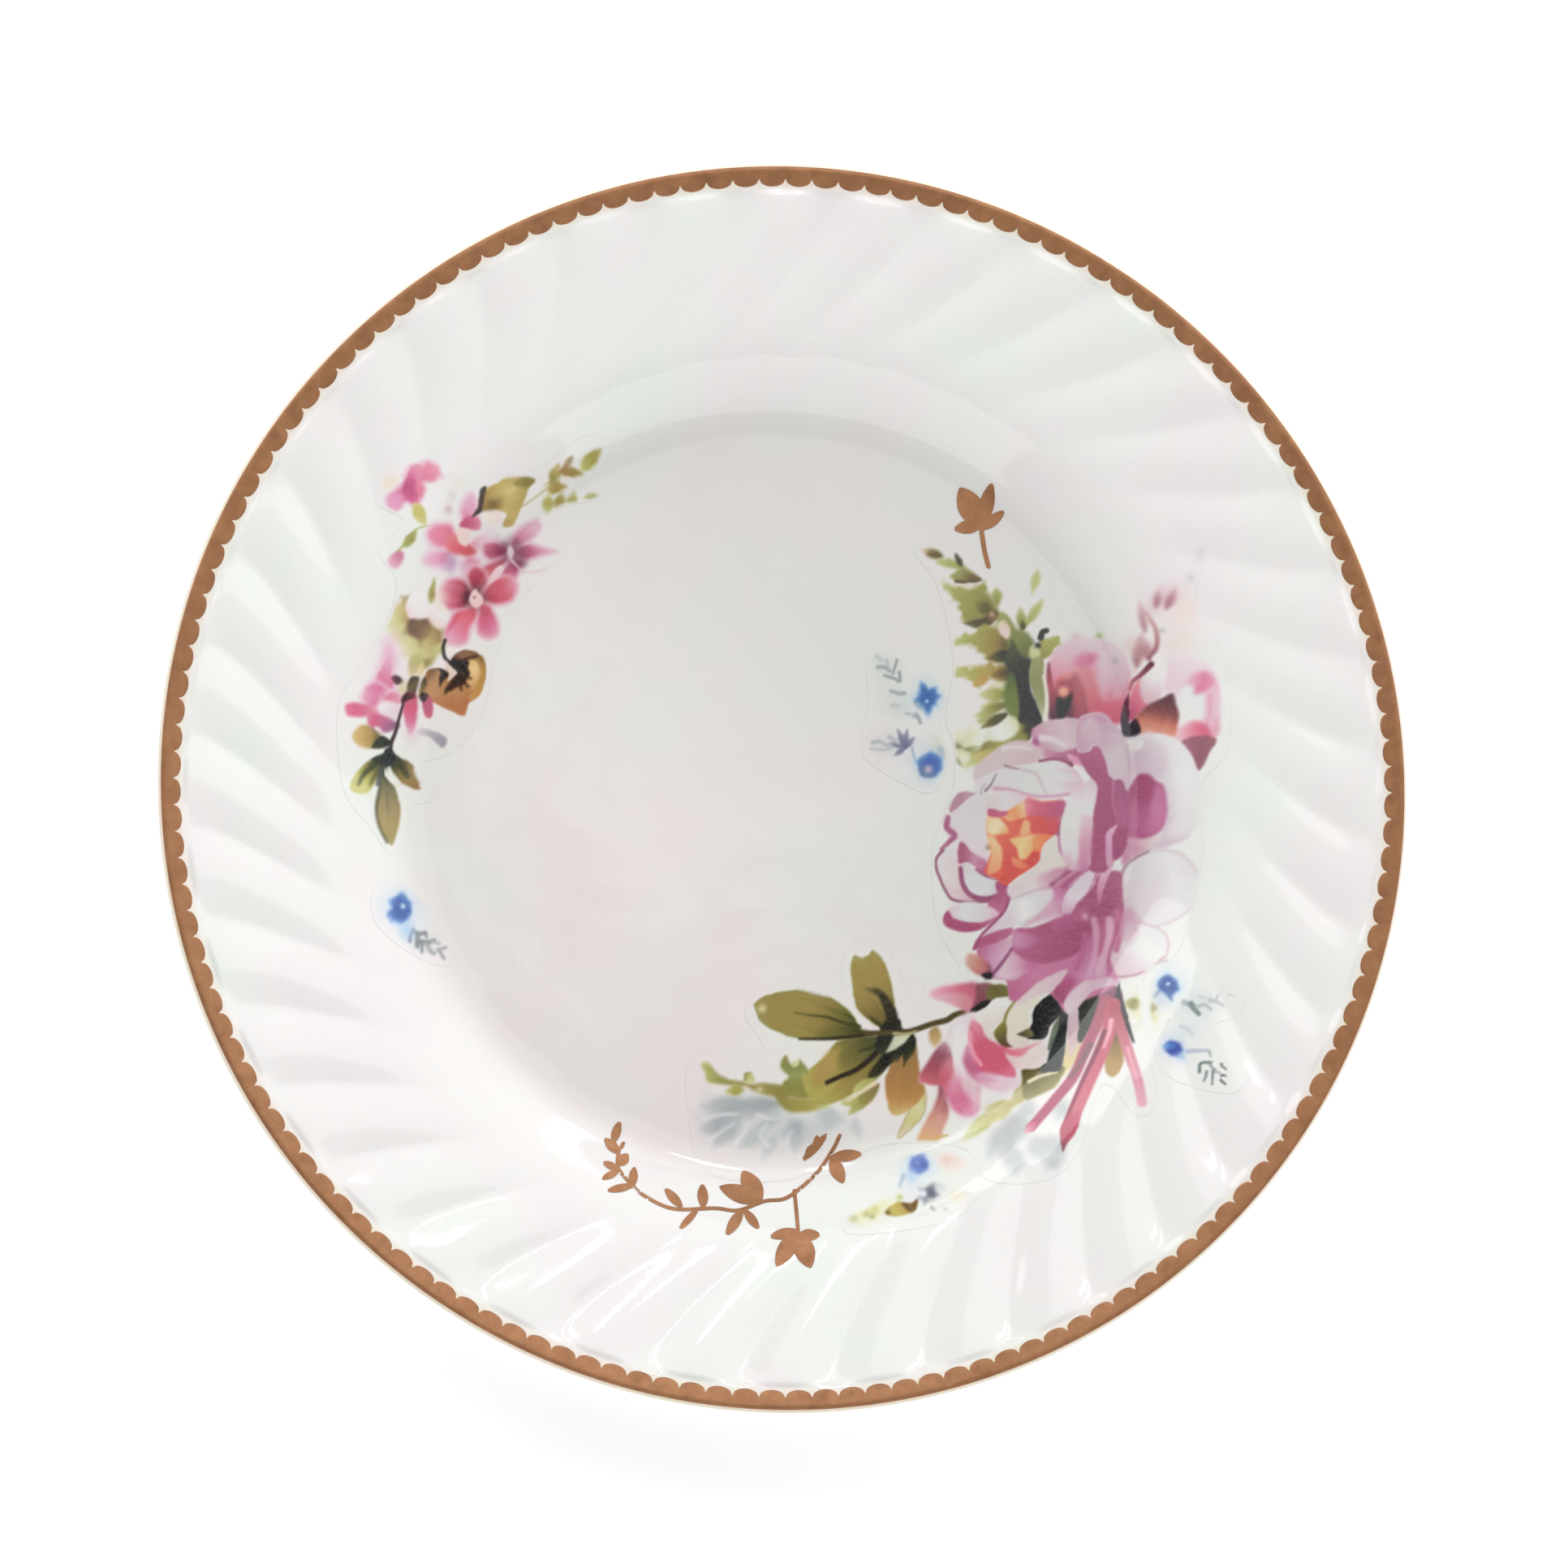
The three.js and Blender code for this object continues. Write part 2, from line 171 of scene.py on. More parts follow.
class Rings:
    """A mesh of rings about the axis; a ring of one point is a pole."""

    def __init__(self):
        self.points, self.normals, self.faces = [], [], []
        self.size = 0

    def add(self, radius, height, lean, steps):
        """Adds a ring and returns its first point and its count. Lean is the normal's angle above level."""
        count = 1 if radius == 0 else steps
        angle = TURN * np.arange(count) / count
        level = np.full(count, float(height))
        x, y = radius * np.cos(angle), radius * np.sin(angle)
        out, up = math.cos(lean), math.sin(lean)
        self.points.append(np.column_stack([x, y, level]))
        self.normals.append(np.column_stack([out * np.cos(angle), out * np.sin(angle), level * 0 + up]))
        self.size += count
        return self.size - count, count

    def follow_face(self, depth):
        """Moves the ring just added onto the fluted face, at a depth under its glaze."""
        x, y = self.points[-1][:, 0], self.points[-1][:, 1]
        self.points[-1][:, 2] = surface(x, y) - depth
        self.normals[-1] = surface_normal(x, y)

    def join(self, rings, turned_over=False):
        """Faces between each ring and the next. They face outwards where the rings run from the top of the
        axis, out, under and back, and inwards where they are turned over."""
        faces = []
        for (a, a_count), (b, b_count) in zip(rings, rings[1:]):
            steps = max(a_count, b_count)
            now, after = np.arange(steps), np.arange(1, steps + 1)
            a0, a1 = (a + (step * a_count // steps) % a_count for step in (now, after))
            b0, b1 = (b + (step * b_count // steps) % b_count for step in (now, after))
            if a_count == b_count:
                faces += np.column_stack([a0, b0, b1, a1]).tolist()
                continue
            faces += [face for face in np.column_stack([a0, b0, b1]).tolist() if face[1] != face[2]]
            faces += [face for face in np.column_stack([a0, b1, a1]).tolist() if face[0] != face[2]]
        self.faces += [face[::-1] for face in faces] if turned_over else faces

    def piece(self, name, material, slot, nodes):
        """The finished piece with every ring added so far."""
        points, normals = np.concatenate(self.points), np.concatenate(self.normals)
        return make_piece(name, points, self.faces, material, slot, nodes, normals)


# ---- The plate: clay body and glaze coats --------------------------------------------------------------
FINE, COARSE = 640, 320  # points round a ring on the glaze's skin and under it


def leans(profile):
    """Angle above level of the outward normal at each (radius, height) row of a profile."""
    tangent = np.gradient(np.asarray(profile), axis=0)
    return np.arctan2(tangent[:, 0], -tangent[:, 1])


def bend(start, corner, end, count=6):
    """Points of a smooth bend from start to end that heads for the corner."""
    t = np.linspace(0, 1, count)[:, None]
    start, corner, end = map(np.array, (start, corner, end))
    return ((1 - t) ** 2 * start + 2 * t * (1 - t) * corner + t**2 * end).tolist()


def outside(rings, depth, steps):
    """Rings from the middle of the well, over the lip, under the back and down to the bare foot."""
    wall = np.arange(FLAT_RADIUS + 2, FLUTE_INNER_RADIUS, RING_GAP)
    fluted = np.arange(FLUTE_INNER_RADIUS, FLUTE_OUTER_RADIUS + 0.5, RING_GAP)
    margin = np.linspace(FLUTE_OUTER_RADIUS + 1, FACE_END, 5)
    made = []
    for radius in [0, FLAT_RADIUS / 2, FLAT_RADIUS, *wall, *fluted, *margin]:
        made.append(rings.add(radius, 0, 0, steps if radius > FLAT_RADIUS else steps // 4))
        rings.follow_face(depth)
    reach = LIP - depth
    turn = FACE_LEAN + np.linspace(0.5, -0.5, 13)[1:] * math.pi
    profile = [(LIP_CENTRE + reach * math.cos(a), LIP_HEIGHT + reach * math.sin(a)) for a in turn]
    fillet = FOOT_OUTER_RADIUS + FOOT_FILLET
    profile += [(r, back_height(r) + depth) for r in np.linspace(RIM_RADIUS - 4, fillet + 1, 16)]
    corner = (FOOT_OUTER_RADIUS + FOOT_DRAFT - depth, back_height(FOOT_OUTER_RADIUS) + depth)
    foot_side = (FOOT_OUTER_RADIUS + 0.2 - depth, FOOT_BARE_HEIGHT + 0.5)
    profile += bend((fillet, back_height(fillet) + depth), corner, foot_side)
    profile.append((FOOT_OUTER_RADIUS - depth, FOOT_BARE_HEIGHT))
    for (radius, height), lean in zip(profile, leans(profile)):
        made.append(rings.add(radius, height, lean, steps))
    return made


def underside(rings, depth, steps):
    """Rings of the recess inside the foot, from the edge of the bare ring to the axis."""
    recess = WELL_HEIGHT - WELL_THICKNESS + depth
    edge = FOOT_INNER_RADIUS + depth
    corner = (edge - FOOT_DRAFT, recess)
    profile = [(edge, FOOT_BARE_HEIGHT)]
    profile += bend((edge - 0.2, FOOT_BARE_HEIGHT + 0.4), corner, (corner[0] - 1.5, recess))
    profile += [(FLAT_RADIUS / 2, recess), (0, recess)]
    return [rings.add(r, z, lean, steps) for (r, z), lean in zip(profile, leans(profile))]


def foot_ring(rings, steps):
    """Rings of the bare foot between the two glaze edges, with its flat contact face."""
    middle = (FOOT_OUTER_RADIUS + FOOT_INNER_RADIUS) / 2
    outer, inner = FOOT_OUTER_RADIUS - GLAZE, FOOT_INNER_RADIUS + GLAZE
    half = FOOT_CONTACT_WIDTH / 2
    profile = bend((outer, FOOT_BARE_HEIGHT), (outer, 0), (middle + half, 0))[1:]
    profile += bend((middle - half, 0), (inner, 0), (inner, FOOT_BARE_HEIGHT))[:-1]
    return [rings.add(r, z, lean, steps) for (r, z), lean in zip(profile, leans(profile))]


def porcelain_body(material):
    """The clay under the glaze, with the bare ring that it stands on."""
    rings = Rings()
    rings.join(
        outside(rings, GLAZE, COARSE) + foot_ring(rings, COARSE) + underside(rings, GLAZE, COARSE)
    )
    return rings.piece("plate_body", material, "bisque", ["porcelain_body"])


def glaze_coat(name, section, node, material):
    """A thin coat between a section's skin and the clay under it."""
    rings = Rings()
    skin, under = section(rings, 0, FINE), section(rings, GLAZE, COARSE)
    rings.join(skin)
    rings.join(under, turned_over=True)
    for end, order in ((0, (under, skin)), (-1, (skin, under))):
        if skin[end][1] > 1:
            rings.join([order[0][end], order[1][end]])
    return rings.piece(name, material, "glaze", [node])


# ---- The scalloped gilt band ---------------------------------------------------------------------------
def gilt_band(material):
    """A band with a half-round scallop between each two cusps of its inner edge."""
    per_scallop = 12
    count = SCALLOPS * per_scallop
    angle = TURN * np.arange(count) / count
    along = (np.arange(count) % per_scallop) / per_scallop
    inner = BAND_CUSP_RADIUS - SCALLOP_DEPTH * np.sqrt(1 - (2 * along - 1) ** 2)
    # Each row of the band's rounded section: how far across it is, and how far up, as parts of the whole.
    rows = [
        (0, 0), (0, 0.5), (0.05, 0.95), (0.2, 1), (0.45, 1), (0.7, 1), (0.85, 1), (0.96, 0.95),
        (1, 0.5), (1, 0),
    ]
    points = []
    for across, rise in rows:
        radius = inner + across * (BAND_OUTER_RADIUS - inner)
        x, y = radius * np.cos(angle), radius * np.sin(angle)
        points.append(np.column_stack([x, y, surface(x, y) + REST + rise * GILT]))
    here = np.arange(count)
    after = (here + 1) % count
    faces = []
    for k in range(len(rows)):
        a, b = k * count, (k + 1) % len(rows) * count
        faces += np.column_stack([a + here, b + here, b + after, a + after]).tolist()
    return make_piece(
        "gilt_scallop_band", np.concatenate(points), faces, material, "gilt", ["gilt_rim_band"],
    )


# ---- Outlines as distance fields -----------------------------------------------------------------------
def smooth_line(points, closed=False, steps=8):
    """A Catmull-Rom curve through the points."""
    p = np.asarray(points, float)
    p = np.vstack([p[-1], p, p[:2]]) if closed else np.vstack([2 * p[0] - p[1], p, 2 * p[-1] - p[-2]])
    t = (np.arange(steps) / steps)[:, None]
    line = []
    for a, b, c, d in zip(p, p[1:], p[2:], p[3:]):
        square, cube = 2 * a - 5 * b + 4 * c - d, 3 * b - a - 3 * c + d
        line.append(0.5 * (2 * b + (c - a) * t + square * t**2 + cube * t**3))
    if not closed:
        line.append(p[-2:-1])
    return np.concatenate(line)


def blade(base, tip, width, widest=0.5, bend=0.0, steps=10):
    """The closed outline of a pointed leaf or petal from its base to its tip. Bend bows it to its left."""
    base, tip = np.asarray(base, float), np.asarray(tip, float)
    along = tip - base
    left = np.array([-along[1], along[0]])
    half = width / 2 / np.linalg.norm(along)
    t = np.linspace(0, 1, steps + 1)
    power = math.log(0.5) / math.log(widest)
    bow = half * np.sin(math.pi * t**power) ** 0.8
    middle = base + t[:, None] * along + (4 * bend * t * (1 - t))[:, None] * left
    sides = [middle + side * bow[:, None] * left for side in (1, -1)]
    return np.vstack([sides[0], sides[1][-2:0:-1]])


def nearest(x, y, line, closed=False):
    """Each point's distance to a line, its place along it from 0 to 1, and its side, +1 being the left."""
    a = np.asarray(line, float)
    b = np.roll(a, -1, axis=0) if closed else a[1:]
    a = a if closed else a[:-1]
    best = np.full(len(x), np.inf)
    place, side = np.zeros(len(x)), np.ones(len(x))
    lengths = np.hypot(*(b - a).T)
    reached = np.concatenate([[0], np.cumsum(lengths)]) / max(lengths.sum(), 1e-9)
    for k, ((ax, ay), (bx, by)) in enumerate(zip(a, b)):
        dx, dy = bx - ax, by - ay
        t = np.clip(((x - ax) * dx + (y - ay) * dy) / max(dx * dx + dy * dy, 1e-12), 0, 1)
        gap = np.hypot(x - ax - t * dx, y - ay - t * dy)
        closer = gap < best
        best = np.where(closer, gap, best)
        place = np.where(closer, reached[k] + t * (reached[k + 1] - reached[k]), place)
        side = np.where(closer, np.sign(dx * (y - ay) - dy * (x - ax)), side)
    return best, place, side


def inside(x, y, line):
    """Which points lie inside a closed outline."""
    crossings = np.zeros(len(x), int)
    for (ax, ay), (bx, by) in zip(line, np.roll(line, -1, axis=0)):
        if ay == by:
            continue
        spans = (ay > y) != (by > y)
        crossings += spans & (x < ax + (y - ay) * (bx - ax) / (by - ay))
    return crossings % 2 == 1


def outline_field(line):
    """A field that is the distance to a closed outline, below 0 inside it."""

    def field(x, y):
        gap = nearest(x, y, line, closed=True)[0]
        return np.where(inside(x, y, line), -gap, gap)

    return field


def line_field(points, width):
    """A field for a ribbon along a smooth line."""
    line = smooth_line(points)
    return lambda x, y: nearest(x, y, line)[0] - width / 2


def joined(fields):
    """One field for several shapes together."""
    return lambda x, y: np.min([field(x, y) for field in fields], axis=0)


# ---- Printed colours -----------------------------------------------------------------------------------
PAPER = (234, 232, 228)  # display colour of the glaze with no ink on it
RAGGED_SCALE = 0.9  # notches per millimetre along a ragged edge
FAN_BACK = 0.6  # how far behind a petal's root its streaks meet, as a part of its length
FAN_SCALE = 1.6  # how finely the streaks fan out
BLOT_SPREAD = 0.75  # how far a blot's colour reaches, as a part of its size


def linear(colour):
    """Linear light for a display colour with parts from 0 to 255."""
    part = np.asarray(colour, float) / 255
    return np.where(part > 0.04045, ((part + 0.055) / 1.055) ** 2.4, part / 12.92)


def hashed(column, row, seed):
    """A number from 0 to 1 for each whole cell of a grid."""
    mixed = np.sin(column * 127.1 + row * 311.7 + seed * 74.7) * 43758.5453
    return mixed - np.floor(mixed)


def cloud(x, y, seed=0):
    """Smooth noise from -1 to 1 with cells of unit size."""
    column, row = np.floor(x), np.floor(y)
    u, v = x - column, y - row
    u, v = u * u * (3 - 2 * u), v * v * (3 - 2 * v)
    near = hashed(column, row, seed) * (1 - u) + hashed(column + 1, row, seed) * u
    far = hashed(column, row + 1, seed) * (1 - u) + hashed(column + 1, row + 1, seed) * u
    return 2 * (near * (1 - v) + far * v) - 1


def gradient(colours, place):
    """Display colours evenly spaced along places from 0 to 1."""
    stops = np.linspace(0, 1, len(colours))
    return np.stack([np.interp(place, stops, part) for part in np.array(colours, float).T], -1)


class Print:
    """Display colours at scattered points of a sheet, painted one shape over another."""

    def __init__(self, x, y):
        self.x, self.y = x, y
        self.colour = np.tile(np.array(PAPER, float), (len(x), 1))
        self.seed = 0

    def near(self, line, margin):
        """The sheet's points in a box round a line. Each call moves on to the next noise."""
        (x0, y0), (x1, y1) = line.min(0) - margin, line.max(0) + margin
        self.seed += 1
        return np.nonzero((self.x > x0) & (self.x < x1) & (self.y > y0) & (self.y < y1))[0]

    def lay(self, where, colour, cover):
        """Covers points with a colour, from not at all at 0 to fully at 1."""
        cover = np.clip(cover, 0, 1)[:, None]
        self.colour[where] = self.colour[where] * (1 - cover) + colour * cover

    def petal(
        self, points, colours, edge=None, rim=1.2, soft=0.5, streak=0.07, depth=1.0, ragged=0.1,
        tip=None,
    ):
        """A soft shape whose colours run from its first point to its tip point, streaked along the way.
        Edge is a colour for its rim. Depth is how much ink it takes."""
        line = smooth_line(points, closed=True)
        where = self.near(line, 2 * soft + 0.5)
        if len(where) == 0:
            return
        x, y = self.x[where], self.y[where]
        notches = cloud(x * RAGGED_SCALE, y * RAGGED_SCALE, self.seed)
        field = outline_field(line)(x, y) + ragged * notches
        root = np.array(points[0], float)
        far = max(points, key=lambda p: math.dist(p, root)) if tip is None else points[tip]
        run = np.array(far, float) - root
        place = ((x - root[0]) * run[0] + (y - root[1]) * run[1]) / (run @ run)
        back = root - run * FAN_BACK
        fan = np.arctan2(y - back[1], x - back[0]) * np.hypot(*run) * FAN_SCALE
        away = np.hypot(x - back[0], y - back[1])
        broad = cloud(fan * 0.7, away * 0.1, self.seed)
        fine = cloud(fan * 1.7, away * 0.2, self.seed)
        place = place + streak * (broad + 0.4 * fine)
        colour = gradient(colours, place)
        if edge is not None:
            rimmed = (1 - smoothstep(-field, 0, rim))[:, None]
            colour = colour * (1 - rimmed) + np.array(edge, float) * rimmed
        self.lay(where, colour, depth * smoothstep(-field, -soft, soft))

    def leaf(self, root, tip, width, colours, widest=0.45, bend=0.0, **options):
        """A pointed leaf or petal, with its colours from root to tip."""
        shape = blade(root, tip, width, widest, bend, steps=8)
        self.petal(shape.tolist(), colours, tip=8, **options)

    def stroke(self, points, width, colour, soft=0.25, depth=1.0, taper=0.5, end_colour=None):
        """A smooth line that thins towards its end."""
        line = smooth_line(points)
        where = self.near(line, width + soft + 0.3)
        if len(where) == 0:
            return
        x, y = self.x[where], self.y[where]
        gap, place, _ = nearest(x, y, line)
        half = width / 2 * (1 - taper * place)
        tint = gradient([colour, end_colour or colour], place)
        self.lay(
            where, tint, depth * smoothstep(half - gap, -soft, soft) * np.clip(half / soft + 0.5, 0, 1),
        )

    def blot(self, centre, size, colour, depth=0.5, stretch=1.0, turn=0.0):
        """A soft round cloud of colour."""
        where = self.near(np.array([centre, centre], float), size * max(stretch, 1) * 1.5)
        if len(where) == 0:
            return
        x, y = self.x[where] - centre[0], self.y[where] - centre[1]
        along = (x * math.cos(turn) + y * math.sin(turn)) / stretch
        across = -x * math.sin(turn) + y * math.cos(turn)
        away = np.hypot(along, across) / size * (1 + 0.25 * cloud(x * 0.6, y * 0.6, self.seed))
        self.lay(where, np.array(colour, float), depth * np.exp(-((away / BLOT_SPREAD) ** 2)))

    def ink(self):
        """How much of each part of the light the ink lets through."""
        return np.clip(linear(self.colour) / linear(PAPER), 0.004, 1.02)


# ---- Thin pieces laid on the face ----------------------------------------------------------------------
def grid_in(field, low, high, spacing):
    """Points and square faces that fill a field below 0, with the outer points moved out to its edge."""
    xs = np.arange(low[0] - spacing, high[0] + 2 * spacing, spacing)
    ys = np.arange(low[1] - spacing, high[1] + 2 * spacing, spacing)
    x, y = (part.ravel() for part in np.meshgrid(xs, ys))
    within = (field(x, y) < 0).reshape(len(ys), len(xs))
    kept = within[:-1, :-1] & within[1:, :-1] & within[:-1, 1:] & within[1:, 1:]
    row, column = np.nonzero(kept)
    corner = row * len(xs) + column
    faces = np.column_stack([corner, corner + 1, corner + 1 + len(xs), corner + len(xs)])
    used, faces = np.unique(faces, return_inverse=True)
    faces = faces.reshape(-1, 4)
    x, y = x[used], y[used]
    edges = np.concatenate([faces[:, [k, (k + 1) % 4]] for k in range(4)])
    code, mirrored = edges @ [len(x), 1], edges @ [1, len(x)]
    border = edges[~np.isin(code, mirrored)]
    rim = np.unique(border)
    step, gentlest = spacing / 20, 0.2
    for _ in range(4):
        px, py = x[rim], y[rim]
        gap = field(px, py)
        slope = np.stack([field(px + step, py) - gap, field(px, py + step) - gap]) / step
        move = gap * slope / np.maximum((slope**2).sum(0), gentlest)
        x[rim], y[rim] = px - move[0], py - move[1]
    return x, y, faces, border


def laid_piece(name, field, low, high, spacing, lift, thickness, material, slot, nodes, paint=None):
    """A closed sheet of even thickness that follows the face inside a field's edge."""
    x, y, faces, border = grid_in(field, low, high, spacing)
    height = surface(x, y)
    count = len(x)
    points = np.vstack([np.column_stack([x, y, height + lift + rise]) for rise in (thickness, 0)])
    sides = np.column_stack([border[:, 1], border[:, 0], border[:, 0] + count, border[:, 1] + count])
    normal = surface_normal(x, y)
    normals = np.vstack([normal, -normal])
    ink = None if paint is None else np.tile(paint(x, y), (2, 1))
    faces = faces.tolist() + (faces[:, ::-1] + count).tolist() + sides.tolist()
    return make_piece(name, points, faces, material, slot, nodes, normals, ink)


def laid_outline(name, points, material, slot, nodes, paint, span):
    """A printed sheet inside a smooth outline, over the span between two heights on the face."""
    line = smooth_line(points, closed=True)
    whole = outline_field(line)
    low, high = line.min(0), line.max(0)
    low[1], high[1] = max(low[1], span[0] - 1), min(high[1], span[1] + 1)

    def field(x, y):
        return np.maximum(whole(x, y), np.maximum(span[0] - y, y - span[1]))

    def fading(x, y):
        """The ink, thinned to nothing towards the sheet's edge."""
        sheet = Print(x, y)
        for part in paint:
            part(sheet)
        shown = smoothstep(-whole(x, y), 0, PRINT_FADE)[:, None]
        return sheet.ink() * shown + 1 - shown

    return laid_piece(name, field, low, high, PRINT_GRID, REST, INK, material, slot, nodes, fading)


def laid_gilt(name, stems, leaves, material, node):
    """A gilt sprig from stems as (points, width) and leaves as blade() arguments."""
    lines = [line_field(points, width) for points, width in stems]
    outlines = [blade(*leaf) for leaf in leaves]
    field = joined(lines + [outline_field(line) for line in outlines])
    reach = np.vstack(outlines + [np.asarray(points, float) for points, _ in stems])
    lift = REST + INK + REST
    return laid_piece(
        name, field, reach.min(0) - 1, reach.max(0) + 1, GILT_GRID, lift, GILT, material, "gilt", [node]
    )


# ---- Palette, as display colours -----------------------------------------------------------------------
WHITE = (238, 236, 234)
OLIVE = (146, 136, 66)
MOSS = (104, 106, 50)
FERN = (164, 168, 88)
LIME = (196, 200, 132)
BLACK = (20, 24, 24)
MIST = (204, 208, 208)
PALE = (229, 220, 221)
COOL = (224, 222, 221)
DUSK = (216, 194, 199)
WINE = (168, 80, 116)
SHADE = (164, 174, 176)
HAZE = (196, 204, 204)


# ---- The peony spray -----------------------------------------------------------------------------------
# Each function paints its shapes on a Print, from the back to the front, in millimetres on the plate.


def fern_tip(p):
    """The tip of the fern behind the flowers. Each frond is lit along its top and dark along its foot."""
    p.leaf((36.4, 52.2), (31.6, 53.8), 2, [MOSS, (128, 104, 56), (222, 200, 160)], soft=0.6)
    p.leaf((36, 52.6), (32.8, 52.8), 1, [(96, 78, 30), (110, 88, 36)], soft=0.4)
    p.petal(
        [
            (34.8, 51.2), (37, 52), (40, 51), (42.4, 49.4), (44.4, 47.6), (42, 48.6), (39.6, 49.6),
            (37, 50),
        ],
        [LIME, FERN, (130, 132, 60)], soft=0.6, tip=4,
    )
    p.leaf((40.6, 50.2), (39.1, 53), 1.3, [(70, 72, 34), (52, 54, 24)], soft=0.4)
    p.petal(
        [(38, 48.2), (40, 49.6), (42, 49), (44.8, 47.4), (42.4, 46.6), (40.2, 46.8), (38.6, 47.4)],
        [FERN, (146, 146, 84), (112, 92, 44), (92, 66, 32)], soft=0.5, tip=3,
    )
    p.stroke([(39.2, 47), (41.6, 46.8), (44.4, 47.3)], 0.7, (84, 68, 28), soft=0.3)
    p.leaf((40, 45.8), (44, 46.4), 1, [(226, 216, 190), WHITE], soft=0.4)
    first = [
        (36.2, 46.8), (38.6, 46.2), (41, 45.4), (43, 46), (45.4, 47), (45.8, 44.8), (46.8, 43.4),
        (48.2, 41), (48.8, 39.6), (46, 38.9), (43, 38.4), (41, 38), (40.4, 39.8), (39.6, 42),
        (38, 43.4),
    ]
    p.petal(
        first, [LIME, (166, 168, 90), (154, 154, 72), (140, 138, 66), (112, 108, 46)], soft=0.7, tip=8,
        ragged=0.5,
    )
    p.leaf(
        (48.4, 39.6), (40.8, 37.9), 2.2, [(70, 54, 24), (74, 66, 20), (104, 98, 38)], soft=0.5,
        bend=0.1,
    )
    p.leaf((47, 40), (43, 43), 2.6, [(84, 72, 24), (96, 92, 32), (150, 148, 70)], soft=0.6)
    p.leaf((47.8, 40.8), (48.4, 46), 2.2, [OLIVE, (150, 158, 78), LIME], soft=0.6, widest=0.6)
    p.petal(
        [(46, 38.9), (46.3, 40.3), (47.2, 41), (48.4, 40.4), (48.8, 39.5), (47.4, 38.3)],
        [(104, 80, 44), (130, 106, 62), (92, 66, 34)], soft=0.3,
    )
    p.blot((47, 39.8), 0.7, (184, 166, 120), 0.9)


def lower_fronds(p):
    """The lower fronds and the small leaves between them."""
    second = [
        (38.6, 34.2), (41, 35.4), (43.4, 36.2), (45.2, 37.6), (48, 37.4), (50, 36), (51.6, 34),
        (51, 31), (49.4, 29.4), (46.8, 29.8), (44.4, 31.4), (43.4, 32.9), (40.6, 33.1), (38.8, 32.8),
    ]
    p.petal(
        second, [LIME, (168, 172, 90), (160, 156, 76), (148, 128, 60), (84, 78, 30)], soft=0.7, tip=7,
        ragged=0.5,
    )
    p.leaf((52, 31.4), (46.2, 30.2), 2.4, [(28, 34, 14), (44, 46, 16), (112, 98, 42)], soft=0.5)
    third = [
        (38.4, 27.8), (41, 28.2), (44, 28.2), (46, 29.2), (49, 28.8), (52, 28.4), (51, 25.8),
        (48.4, 25.4), (46.8, 26.1), (45, 24.8), (43.6, 24), (42.6, 25.4), (40.4, 26.1), (38.8, 26),
    ]
    p.petal(
        third, [LIME, (176, 174, 92), (178, 160, 80), (160, 134, 62), (74, 62, 30)], soft=0.7, tip=5,
        ragged=0.5,
    )
    p.leaf((46, 26.2), (43, 24.2), 1.8, [(190, 152, 70), (200, 168, 96)], soft=0.5)
    p.leaf((51.6, 27.6), (46.6, 26.4), 1.8, [(44, 36, 18), (104, 80, 36), (150, 124, 60)], soft=0.5)
    p.petal(
        [(46, 21), (45.6, 23.6), (47, 25), (49.6, 24.9), (50.8, 23.2), (50.6, 20.6)],
        [WHITE, (224, 218, 192), (218, 214, 178)], soft=0.6,
    )
    for root, tip, width, tones in (
        ((52, 22.4), (44.4, 22.2), 2.8, [(104, 122, 44), (160, 162, 80), (206, 206, 150)]),
        ((52, 20.4), (44.6, 19.6), 2, [(96, 110, 40), (150, 150, 76), LIME]),
        ((50.8, 20.6), (43.4, 17.4), 1.9, [(86, 84, 34), (140, 140, 64), LIME]),
        ((50, 18.4), (43, 16), 1.4, [(84, 80, 34), (160, 162, 90), LIME]),
        ((50.6, 35), (49, 40.4), 3, [(96, 98, 48), (140, 144, 76), FERN]),
        ((53.6, 35.6), (53.3, 41.4), 2, [(112, 116, 50), (142, 148, 72), LIME]),
        ((53.8, 36.6), (58.2, 43.2), 1.9, [FERN, (176, 182, 106), LIME]),
        ((55.8, 44.4), (57.2, 49.6), 1.9, [LIME, (192, 196, 126), LIME]),
    ):
        p.leaf(root, tip, width, tones, soft=0.6, widest=0.6)
    p.petal(
        [
            (49, 40), (51, 38.6), (52.6, 36.8), (55, 35.8), (56.4, 33), (55.4, 30.4), (52, 30.6),
            (50.2, 34),
        ],
        [FERN, (138, 142, 76), (120, 128, 66), (92, 96, 48)], soft=0.7, tip=5,
    )
    p.petal(
        [(48.6, 36), (48.4, 38), (49.6, 38.6), (50.8, 37.4), (51, 35.4), (50.2, 34.5)],
        [(230, 212, 206), (228, 210, 190), (216, 204, 160)], soft=0.4,
    )
    p.leaf((53.8, 36.6), (53.8, 38.6), 1.2, [(60, 66, 22), (84, 90, 34)], soft=0.4)


